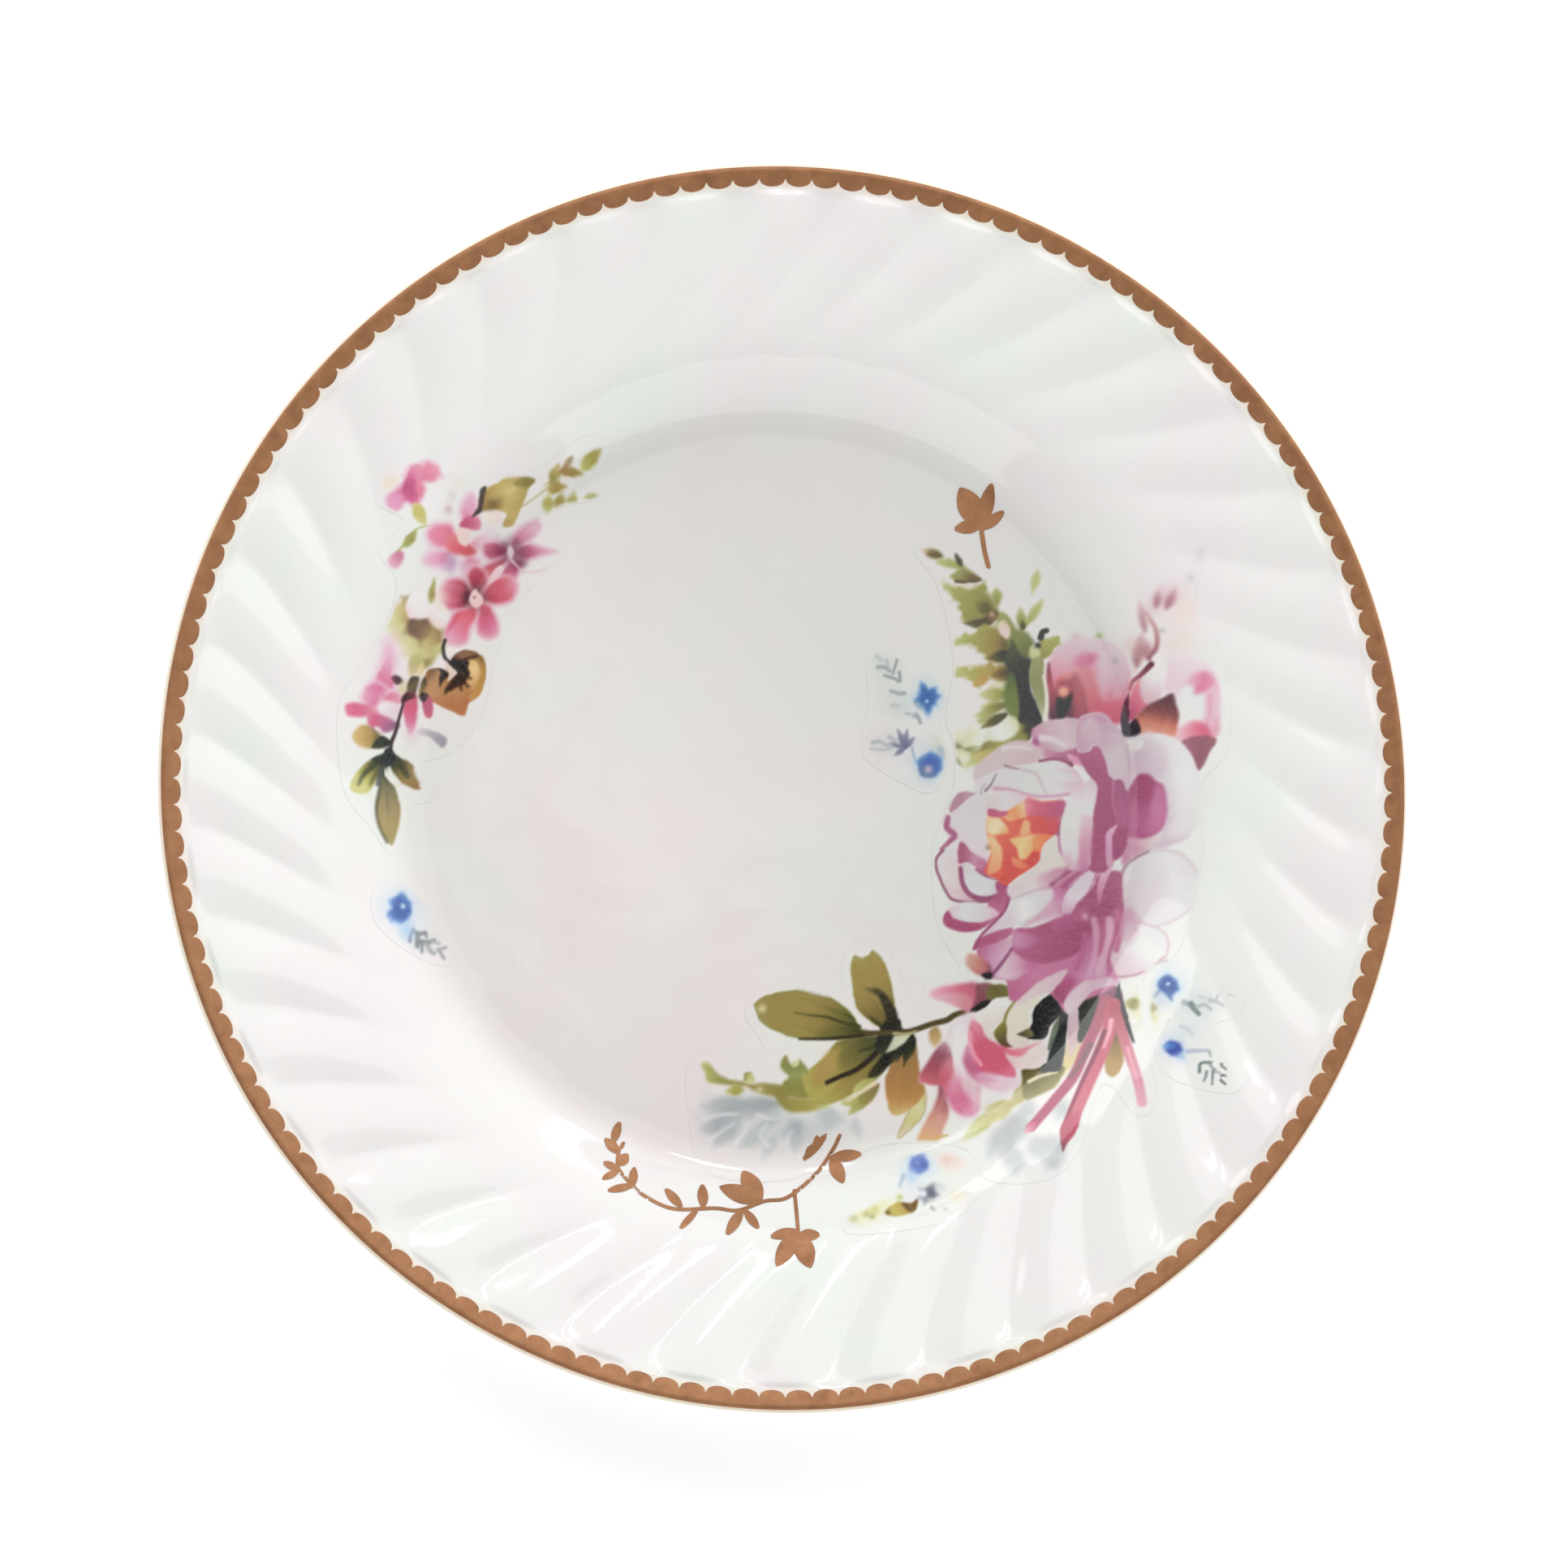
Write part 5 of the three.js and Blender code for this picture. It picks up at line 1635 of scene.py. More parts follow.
def trumpet_top(p):
    """The pink petals and the cream ones above the trumpet."""
    upper = [
        (44, -40.6), (39, -40.8), (34.6, -41.8), (33.4, -43.4), (37, -44.6), (40, -45.8), (42.2, -46.9),
        (44, -44.8),
    ]
    p.petal(
        upper, [(188, 100, 124), (214, 112, 136), (230, 150, 172), (236, 190, 200)], soft=0.7, tip=3,
    )
    p.petal(
        [(40.6, -42.6), (36, -43), (34.6, -44), (38, -45), (42.2, -46.8), (43, -44.8)],
        [(214, 140, 150), (224, 170, 184), (230, 196, 206)], soft=0.7, tip=2,
    )
    p.petal(
        [(47, -40.6), (43.6, -40.8), (43.4, -43.6), (42.2, -46.8), (45, -45.4), (47.4, -43.6)],
        [(140, 96, 92), (136, 74, 88), (150, 80, 92)], soft=0.5,
    )
    p.petal(
        [(46.4, -43.8), (43.6, -45.2), (42, -46.9), (44, -46.4), (46.4, -45)], [(36, 24, 26), BLACK],
        soft=0.3,
    )
    p.petal(
        [(50.2, -41), (46.4, -41), (46, -44), (48.4, -43.6), (50.4, -43.4)],
        [(126, 116, 66), (108, 98, 52), (120, 110, 60)], soft=0.35,
    )
    first = [
        (46.4, -44.8), (48.4, -43.7), (51, -43.4), (52, -44.2), (50.4, -46.6), (49.2, -48.6),
        (47.4, -50.6), (47.6, -53.2), (45.4, -51.4), (44.4, -48.4),
    ]
    p.petal(first, [WHITE, (228, 222, 212), (226, 216, 210)], soft=0.3, tip=7)
    second = [
        (51.4, -45), (53, -43.4), (57, -43.4), (57, -45), (55, -46.8), (55, -49.8), (53.4, -51.2),
        (54.8, -52.2), (54.6, -54.2), (51, -54.4), (50, -52), (49.8, -48.6),
    ]
    p.petal(second, [(230, 224, 208), (228, 222, 204), (228, 216, 206)], soft=0.3, tip=8)
    p.stroke([(52, -44.2), (50.2, -46.8), (49.4, -49.8)], 0.5, (150, 140, 84), taper=-0.6)
    p.petal(
        [
            (49.6, -48.8), (48.2, -49.8), (47.3, -51.2), (47.8, -52.8), (49.6, -54.4), (52.4, -55.2),
            (50.2, -53), (50.1, -50.4),
        ],
        [OLIVE, (112, 100, 50), (84, 66, 40), (150, 90, 70)], soft=0.3, tip=5,
    )


def trumpet(p):
    """The trumpet itself: its pale funnel, its red side, and its pink and golden tail."""
    funnel = [
        (43, -46.8), (39.4, -48), (37.6, -50.4), (36, -54), (33, -58), (31, -62), (35, -62.6),
        (37, -66), (40, -69), (43.6, -68.8), (44.4, -65),
    ]
    p.petal(
        funnel + [(44.6, -61), (44, -56), (43.4, -50)],
        [(232, 218, 222), (230, 222, 224), (230, 200, 208), (228, 170, 190)], soft=0.6, tip=8,
    )
    p.petal(
        [(37, -53.4), (35, -54.6), (32.4, -58.4), (31, -61.6), (34.4, -62.8), (37, -62), (38.4, -58)],
        [(196, 160, 164), (150, 84, 102), (166, 80, 96), (200, 104, 114)], soft=0.6, tip=4,
    )
    p.petal(
        [(37.4, -56.6), (35.4, -60.6), (36.8, -65.4), (38.4, -63), (38.8, -58.6)],
        [(220, 150, 158), (212, 104, 120), (206, 96, 122)], soft=1, depth=0.85,
    )
    p.petal(
        [(40, -48.4), (38.4, -52), (38.6, -58), (40, -62.4), (41.6, -58), (41.4, -52)],
        [(232, 226, 228), WHITE, WHITE, (232, 196, 208)], soft=0.7,
    )
    p.petal(
        [
            (38.4, -61), (37.2, -64), (38.2, -67.4), (40.4, -69.3), (43, -69.2), (42.6, -66.4),
            (40.8, -64), (40, -61),
        ],
        [(226, 170, 190), (220, 124, 154), (214, 104, 144), (230, 172, 194)], soft=1, tip=4, depth=0.9,
    )
    p.petal(
        [(41.6, -54), (40.6, -57), (41.4, -59.6), (44, -61.6), (47, -61.6), (45, -59), (43, -57)],
        [(206, 140, 160), (196, 110, 144), (200, 104, 140), (222, 150, 176)], soft=0.8, tip=4,
    )
    red = [
        (42.6, -48.4), (41.8, -51), (42.4, -55), (43.6, -58.6), (46, -60.2), (49, -60.9), (52, -60.8),
        (51.6, -57.6), (50.6, -54.8), (48, -53.6), (45.6, -52), (44.4, -49.6),
    ]
    p.petal(red, [(228, 150, 168), (208, 96, 120), (212, 96, 122), (220, 106, 132)], soft=0.5, tip=6)
    p.stroke(
        [(42.2, -51.4), (42.2, -53.6), (43, -56), (44.5, -58.2)], 0.9, (246, 160, 180), soft=0.35,
        taper=0.1,
    )
    p.petal(
        [
            (43, -60.4), (46, -60), (50, -60.8), (53.4, -61.2), (53, -62.8), (50, -64), (47, -63.6),
            (45, -62.6),
        ],
        [(220, 150, 180), (232, 200, 214), (232, 218, 224)], soft=0.7,
    )
    tail = [
        (35.6, -62.6), (36.8, -65.6), (37.6, -68.6), (36.2, -72.4), (35.4, -74.4), (32, -75.2),
        (30.6, -74.4), (32.8, -70), (34.6, -66.4),
    ]
    p.petal(
        tail, [(150, 78, 96), (184, 116, 118), (210, 150, 134), (214, 156, 126), (214, 172, 108)],
        soft=0.6, tip=6,
    )
    p.stroke(
        [(31, -75), (33.4, -75), (35.4, -74), (37, -73.6)], 0.9, (206, 160, 84), soft=0.4, taper=0.6,
    )


def dark_leaves(p):
    """The dark leaves between the trumpet and the stems, with a few pale, pink and tan ones."""
    p.petal(
        [
            (53.6, -58.8), (53.4, -62), (53.8, -65.8), (57, -64.8), (60.4, -62.8), (62.4, -59),
            (60, -58.6), (57, -58.8),
        ],
        [(84, 76, 34), (104, 96, 44), (122, 116, 62), (156, 150, 92)], soft=0.4, tip=3,
    )
    p.stroke([(54.8, -61.8), (57.4, -60.6), (60.6, -59.8)], 0.8, (228, 222, 184), soft=0.3, taper=0.3)
    p.petal(
        [
            (49.8, -54.8), (54, -54), (57, -52.2), (58.6, -53.4), (59.1, -55.4), (58.8, -57.4),
            (56.6, -58.8), (52.6, -59), (50.8, -57.6),
        ],
        [(232, 196, 200), (232, 218, 214), (230, 222, 216)], soft=0.3, tip=4,
    )
    p.petal(
        [
            (49.4, -54.4), (52, -54.8), (56, -53.6), (57.6, -53.2), (55, -54.8), (53.2, -56.4),
            (50.2, -55.8),
        ],
        [(222, 104, 128), (228, 140, 156), (232, 180, 190)], soft=0.35, tip=3,
    )
    p.petal(
        [
            (60, -42.6), (57, -44.8), (55.8, -46.8), (55.6, -49), (54.8, -51.4), (55, -52.5),
            (58.4, -52.3), (59.6, -49.6), (61.4, -47.6), (62.5, -46.2), (61.8, -44.4),
        ],
        [BLACK, (10, 12, 14), (14, 18, 18)], soft=0.25,
    )
    p.petal(
        [(55, -50.2), (53.4, -51), (52.4, -51.6), (54.6, -52.2), (56, -51.6)],
        [(120, 114, 70), (60, 58, 36)], soft=0.3,
    )
    p.petal(
        [
            (62.3, -45.8), (63.5, -46.6), (63.4, -48.8), (62.6, -55), (61.4, -59.2), (59.2, -59.6),
            (58.9, -57.4), (59.8, -54), (61, -50),
        ],
        [(22, 24, 24), (26, 34, 32), (40, 50, 50), (36, 44, 42)], soft=0.25, tip=5,
    )
    p.petal(
        [(61.4, -47.8), (60.3, -49.6), (59.4, -52.4), (59, -55), (60, -54), (61.2, -50.4)],
        [(84, 98, 74), (104, 118, 94), (96, 112, 92)], soft=0.25,
    )
    p.petal(
        [(57, -59.4), (58.6, -57.8), (59.4, -58.6), (58.6, -59.8)], [(40, 44, 30), (30, 34, 26)],
        soft=0.25,
    )
    p.petal(
        [(63.6, -45), (65.4, -45.4), (65.6, -50), (65.2, -54), (63.2, -57), (63.4, -52)],
        [(222, 200, 210), (206, 176, 184), (222, 204, 180)], soft=0.5,
    )
    p.petal(
        [
            (69.2, -41.8), (67, -43.8), (65.7, -45.4), (65.8, -49), (65.3, -52.6), (66.1, -53.4),
            (67.6, -51), (69.8, -47.4), (70.7, -45), (70.5, -43),
        ],
        [(54, 56, 42), (44, 48, 38), (56, 60, 44)], soft=0.25,
    )
    p.petal(
        [(72.2, -51), (70.8, -56), (70.6, -60), (72.2, -61.4), (74.2, -58.6), (74.4, -55), (73.6, -51)],
        [(96, 74, 40), (150, 118, 64), (178, 142, 84), (186, 152, 98)], soft=0.3, tip=3,
    )
    p.petal(
        [(70, -42.2), (74, -41), (75, -44), (73.4, -47.6), (70, -48), (70.6, -45)],
        [(140, 96, 116), (132, 70, 92), (176, 84, 104)], soft=0.35,
    )
    p.petal(
        [(74.4, -40), (74.8, -43), (75.8, -48), (76.8, -54), (75, -50.4), (73.4, -45)],
        [(40, 34, 44), (24, 24, 30), (30, 30, 34)], soft=0.25,
    )


def cut_stems(p):
    """The red and pink stems that fan out under the peony."""
    p.stroke(
        [(71.4, -44), (69.8, -48.6), (67, -54.6), (64, -61), (59.6, -66.4), (54.6, -72.2)], 2.5,
        (176, 90, 110), end_colour=(178, 86, 114), taper=0.25, soft=0.35,
    )
    p.stroke([(67.8, -54), (65.4, -58.4), (63.4, -61)], 1.4, (120, 92, 92), soft=0.6, depth=0.8)
    p.stroke(
        [(73, -45), (71.8, -51), (69.8, -56), (67, -62), (64, -68.6), (62, -73)], 3, (190, 84, 104),
        end_colour=(214, 120, 136), taper=0.05, soft=0.35,
    )
    p.stroke(
        [(71, -51), (68.8, -56), (65.8, -62), (62.6, -69), (61, -73)], 0.9, (124, 48, 70),
        end_colour=(150, 60, 86), taper=0.3, soft=0.35,
    )
    p.petal(
        [
            (65, -68.6), (62.6, -69.6), (60.7, -72.6), (60.5, -75.4), (60.9, -77.9), (61.9, -76),
            (63.4, -74), (64.6, -71.6),
        ],
        [(206, 104, 126), (190, 84, 108), (184, 86, 106), (126, 80, 86)], soft=0.3, tip=4,
    )
    p.stroke(
        [(73.2, -46), (74.6, -52), (75.8, -57), (77.2, -62), (78, -67)], 2.3, (178, 80, 92),
        end_colour=(232, 176, 190), taper=0.1, soft=0.35,
    )
    p.stroke([(75.4, -55), (76.4, -59.4), (77.6, -64)], 0.8, (238, 166, 186), soft=0.3, depth=0.8)
    p.stroke([(72.4, -48.6), (71.8, -51.4), (70.6, -54.6)], 1, (240, 170, 184), soft=0.35, taper=0.5)
    p.leaf((56, -70.8), (53, -73.6), 1.8, [(190, 84, 112), (232, 180, 192)], soft=0.4)


# ---- The pink spray ------------------------------------------------------------------------------------
def carnation_and_bud(p):
    """The haze, the ragged flower at the top of the pink spray, and the bud below it."""
    for centre, size, colour, depth in (
        ((-70, 66), 2.6, (226, 224, 208), 0.5), ((-85, 65), 2.6, (244, 220, 200), 0.8),
        ((-77, 59), 3, WHITE, 0.5), ((-72, 60), 1.3, (206, 170, 170), 0.8),
        ((-71.4, 63), 1.3, (210, 206, 200), 0.6), ((-63, 56), 3.4, (228, 212, 216), 0.8),
        ((-66, 50), 3, (226, 206, 214), 0.8), ((-74, 50), 3.4, (232, 190, 206), 0.7),
    ):
        p.blot(centre, size, colour, depth)
    carnation = [
        (-77, 66), (-73.6, 67), (-75, 69.4), (-78.4, 69.8), (-81.6, 68), (-82.6, 65), (-86, 61.6),
        (-84.6, 58.8), (-81, 60.4), (-78.6, 60.6), (-77.6, 63),
    ]
    p.petal(
        carnation, [(226, 150, 170), (212, 112, 150), (230, 170, 196)], soft=1, tip=6, ragged=0.5,
        edge=(230, 180, 200), rim=1.2,
    )
    for root, tip, width, tones in (
        ((-78, 66), (-74.6, 68.4), 3.6, [(216, 120, 148), (234, 160, 178)]),
        ((-80.6, 67), (-80.2, 61), 4, [(206, 106, 146), (190, 84, 126), (206, 100, 140)]),
        ((-82, 62), (-85, 60), 3.2, [(226, 150, 184), (230, 164, 192)]),
        ((-78.6, 66), (-78.2, 62.4), 2.2, [(226, 140, 160), (222, 120, 142)]),
    ):
        p.leaf(root, tip, width, tones, soft=0.8, widest=0.55)
    p.leaf((-79.6, 61), (-77, 56.2), 2.8, [(206, 196, 120), (196, 188, 112), (214, 206, 150)], soft=0.5)
    p.leaf((-81.6, 51.4), (-79, 55.2), 2, [FERN, OLIVE, FERN], soft=0.5, depth=0.9)
    p.stroke([(-83, 50.4), (-81, 53), (-79, 55.4), (-76, 56.4)], 0.6, FERN, depth=0.7)
    p.leaf(
        (-82, 50.4), (-85.4, 46.4), 2.8, [(196, 110, 140), (222, 150, 176), (232, 200, 212)], soft=0.7,
    )


def upper_pink_flower(p):
    """The upper pink flower, round a cream heart."""
    for outline, tones in (
        (
            [(-68, 56.6), (-69.8, 59.6), (-68.8, 62.8), (-67, 64.2), (-65.2, 62.2), (-64.8, 58.4)],
            [(206, 110, 140), (226, 164, 188), (228, 186, 204)],
        ),
        (
            [(-69.6, 54), (-71, 57.4), (-75, 57.2), (-77.2, 55), (-76, 52.2), (-72, 51)],
            [(216, 106, 122), (228, 130, 156), (230, 150, 178)],
        ),
        (
            [(-70.6, 51.6), (-75, 51.6), (-77.6, 49.4), (-76, 47.6), (-72, 48.2)],
            [(216, 110, 130), (230, 160, 190), (232, 186, 206)],
        ),
        (
            [(-67, 51.4), (-69, 49), (-68, 46), (-65, 47), (-64, 50)],
            [(214, 110, 136), (226, 176, 194), (228, 196, 210)],
        ),
        (
            [(-67, 54), (-63.6, 55.6), (-61, 54), (-63, 52), (-66, 52)],
            [(216, 120, 140), (228, 190, 200), (228, 206, 212)],
        ),
    ):
        p.petal(outline, tones, soft=0.9, edge=(232, 200, 212), rim=1.6)
    p.blot((-71, 49.2), 2.4, (188, 140, 178), 0.8)
    p.petal(
        [(-68, 50.8), (-71.8, 51.6), (-72, 54), (-69.6, 55), (-66, 52.6), (-65.4, 51.4)],
        [(206, 84, 96), (218, 100, 112), (226, 130, 140)], soft=0.7,
    )
    p.petal(
        [(-69.4, 56.8), (-67.6, 58.8), (-65, 58.6), (-64.6, 56.6), (-67, 56.2)],
        [(186, 76, 110), (200, 92, 126), (222, 140, 160)], soft=0.5,
    )
    p.petal(
        [(-69.8, 56), (-69.6, 53.8), (-67.6, 52.8), (-66.6, 54.6), (-67.2, 56.2)],
        [(246, 206, 200), (244, 210, 204)], soft=0.4,
    )


def right_pink_flower(p):
    """The right-hand flower, with a dark ring round its heart."""
    for outline, tones in (
        (
            [(-57, 52), (-55, 54.2), (-51, 53.4), (-47.6, 52.2), (-51, 51), (-55, 50)],
            [(140, 50, 84), (186, 92, 124), (214, 150, 174), (220, 190, 202)],
        ),
        (
            [(-57.6, 53), (-57, 56.4), (-54.4, 58.2), (-51.8, 59.2), (-51.2, 57), (-54, 54)],
            [(150, 60, 92), (214, 140, 166), (222, 176, 194), (222, 190, 204)],
        ),
        (
            [(-58, 52), (-60.6, 54.4), (-64, 53.6), (-63.6, 50.6), (-60, 49.6)],
            [(140, 50, 80), (182, 84, 112), (200, 110, 134)],
        ),
        (
            [(-58, 51), (-61, 50.6), (-65, 48), (-64.6, 45.4), (-61.4, 46), (-59, 48.6)],
            [(150, 50, 78), (198, 88, 104), (208, 106, 118)],
        ),
        (
            [(-57.6, 50.6), (-60.2, 47.4), (-58.8, 45), (-56.4, 46), (-55, 49.4)],
            [(130, 46, 76), (192, 84, 122), (210, 120, 150)],
        ),
    ):
        p.petal(outline, tones, soft=0.8, edge=(224, 176, 194), rim=1.3)
    p.blot((-57.6, 52), 3.3, (112, 42, 72), 0.95)
    p.blot((-55.6, 49.6), 1.5, (110, 40, 68), 0.8)
    p.petal(
        [(-57.9, 53.6), (-58.6, 52), (-57.8, 50.2), (-56.9, 51.8)], [(222, 204, 206), (210, 180, 188)],
        soft=0.4,
    )
    p.stroke([(-57.4, 50), (-56, 48.6), (-55, 47.4)], 0.5, (230, 196, 202), soft=0.3)
    p.stroke(
        [(-55, 47.6), (-51, 48), (-48, 50), (-47.4, 52)], 0.5, (216, 180, 190), soft=0.4, depth=0.6,
    )


def red_flower(p):
    """The red flower in front."""
    for outline, tones in (
        (
            [(-65.4, 42), (-67.6, 46.4), (-65.8, 49), (-63.2, 48), (-62.2, 45.2), (-63.4, 43)],
            [(110, 44, 62), (182, 72, 90), (196, 86, 104)],
        ),
        (
            [
                (-64.4, 42), (-63.4, 44.4), (-61, 46.6), (-57.6, 47), (-56, 44.6), (-57.2, 41.2),
                (-60.6, 40.2), (-63.6, 40.6),
            ],
            [(150, 54, 74), (200, 74, 92), (212, 92, 112), (226, 156, 176)],
        ),
        (
            [
                (-64.6, 41), (-62, 40.4), (-60.4, 37), (-60.2, 34), (-62.4, 32.8), (-64.8, 34),
                (-65.4, 37),
            ],
            [(206, 76, 90), (210, 88, 112), (214, 108, 144), (228, 166, 190)],
        ),
        (
            [
                (-65.4, 41), (-69, 39.8), (-71.2, 37), (-72.4, 33.4), (-70.4, 31.4), (-67.2, 32),
                (-66, 35.4), (-64.6, 38),
            ],
            [(206, 76, 84), (218, 90, 106), (222, 120, 146), (228, 172, 196)],
        ),
        (
            [
                (-65.6, 42), (-67.6, 46), (-71.6, 45.8), (-73.4, 42.8), (-72, 39.2), (-68.6, 39),
                (-66.4, 40),
            ],
            [(110, 50, 64), (190, 84, 102), (212, 112, 136), (230, 168, 188)],
        ),
    ):
        p.petal(outline, tones, soft=0.75, edge=(228, 168, 184), rim=1.3)
    p.blot((-65.4, 42), 3.2, (96, 42, 58), 0.85)
    p.blot((-67, 41.6), 1.8, (80, 36, 52), 0.7)
    p.petal(
        [(-65.4, 43.8), (-66.8, 41.6), (-65.4, 39.6), (-63.6, 41.2)],
        [(238, 206, 204), (236, 196, 194)], soft=0.35,
    )
    p.blot((-65.6, 42), 0.5, (150, 84, 92), 0.9)
    p.petal(
        [(-62.6, 45), (-61.8, 47.4), (-60, 49), (-59.3, 48.2), (-60.6, 46.2)],
        [(232, 186, 192), (238, 210, 212)], soft=0.3,
    )


def broad_leaf(p):
    """The broad leaf with its dark edge, and the pale grasses beyond it."""
    big = [
        (-66.4, 59), (-65, 60.8), (-64.8, 64), (-63.6, 65), (-61.6, 66), (-59, 67.6), (-56, 68),
        (-52.8, 67.4), (-54, 65.6), (-55, 63), (-56, 60.4), (-57.4, 57.6), (-59.6, 57.6), (-58.8, 60),
        (-61, 60.6), (-63.6, 60.4),
    ]
    p.petal(
        big, [(120, 92, 60), (172, 142, 80), (196, 174, 102), (182, 162, 88), (150, 134, 66)], soft=0.4,
        tip=7,
    )
    p.blot((-58, 65), 1.9, (218, 200, 132), 0.8, 1.8, 0.5)
    p.blot((-62, 61.8), 1.6, (112, 88, 44), 0.8, 1.4, 0.2)
    p.petal(
        [(-55, 67.8), (-52.6, 67.5), (-54.6, 65.8), (-57.6, 66.4)], [(128, 118, 54), (140, 128, 62)],
        soft=0.5, depth=0.8,
    )
    p.petal(
        [(-66.6, 58.8), (-65.4, 61), (-65, 64.6), (-63.6, 65.2), (-64.2, 62), (-64.6, 60.2)],
        [(60, 48, 54), (74, 58, 56), (70, 60, 50)], soft=0.3,
    )
    p.petal(
        [(-62.6, 60.2), (-60.4, 60.4), (-59.6, 58.6), (-61.4, 57.6), (-64, 58.4)],
        [(238, 224, 214), (234, 216, 212)], soft=0.6,
    )
    for root, tip, width, tones in (
        ((-50.6, 66), (-45.6, 66.4), 2.8, [(196, 180, 110), (166, 144, 74), (180, 160, 96)]),
        ((-49, 67), (-47.4, 71), 2.4, [OLIVE, (200, 176, 110)]),
        ((-47.6, 69.6), (-42, 69.2), 2.2, [(170, 130, 80), (156, 130, 66), (170, 150, 84)]),
        ((-46.4, 70), (-44.6, 72.8), 1.4, [(160, 124, 70), (150, 130, 90)]),
        ((-42.6, 70), (-38.4, 74.6), 3, [(206, 200, 130), (170, 160, 80), (166, 152, 76)]),
        ((-50, 60.6), (-49.4, 64.8), 2.4, [LIME, (180, 174, 100), LIME]),
        ((-47.6, 61), (-46.6, 65), 2.4, [LIME, (166, 152, 80), FERN]),
        ((-44.6, 61.6), (-44, 65.4), 2.2, [LIME, (170, 158, 84), LIME]),
        ((-42, 64), (-38, 64.4), 1.6, [LIME, FERN, LIME]),
        ((-53, 63), (-49.6, 66.6), 1.8, [WHITE, (226, 222, 200)]),
        ((-54, 64.4), (-51, 67), 1.8, [WHITE, WHITE]),
    ):
        p.leaf(root, tip, width, tones, soft=0.6, ragged=0.2)
    p.leaf((-46.4, 68.2), (-44.4, 67.8), 1.3, [(236, 214, 190), WHITE], soft=0.4)
    p.stroke([(-55, 62), (-51, 65), (-47, 68)], 0.5, (176, 166, 110), depth=0.6)


def lime_leaf(p):
    """The pale lime leaf at the left, with two white petals and small leaves round it."""
    p.leaf((-75.4, 39), (-74.6, 45.6), 1.5, [LIME, OLIVE, FERN], soft=0.5, depth=0.9)
    p.blot((-73, 42), 2, (240, 222, 200), 0.6)
    p.petal(
        [
            (-76, 37), (-79.6, 41.2), (-83, 39.6), (-84.4, 36.6), (-85, 34), (-82.4, 31.4), (-81, 29),
            (-77, 28.4), (-73.4, 30), (-72.8, 35),
        ],
        [(160, 138, 92), (192, 178, 118), (208, 204, 146), (222, 222, 180)], soft=1, tip=5, ragged=0.5,
    )
    p.leaf((-79, 36), (-82.6, 38.8), 3, [(150, 124, 80), (190, 172, 110), (214, 208, 150)], soft=1)
    p.petal(
        [(-79.4, 37), (-75, 37.2), (-75, 33.6), (-77.6, 32.4), (-80.4, 34)],
        [(96, 72, 64), (122, 96, 74), (166, 146, 90)], soft=0.8,
    )
    for tip in ((-81, 33.6), (-77.4, 31.4)):
        p.stroke([(-77.8, 36.4), tip], 1.4, (130, 106, 76), soft=0.9, depth=0.45)
    p.petal(
        [(-80, 36.8), (-80.8, 40), (-78.6, 42.4), (-76, 41), (-75.2, 37.6)],
        [(232, 214, 206), WHITE, WHITE], soft=0.5,
    )
    p.petal(
        [(-75.4, 36.6), (-75.6, 40), (-72.6, 40.6), (-71, 37.4), (-73, 35)],
        [(236, 218, 206), WHITE, (236, 222, 206)], soft=0.7,
    )
    for root, tip, width, tones in (
        ((-77, 30), (-79.6, 24.6), 3.4, [LIME, (190, 180, 124), (206, 196, 150)]),
        ((-74.6, 30), (-71.8, 31.6), 2, [LIME, (200, 200, 140)]),
        ((-78, 26), (-73.6, 29.4), 1.8, [FERN, (160, 146, 90), LIME]),
        ((-77.4, 24.6), (-77, 28), 1.7, [(230, 214, 166), (224, 208, 160), LIME]),
    ):
        p.leaf(root, tip, width, tones, soft=0.7)


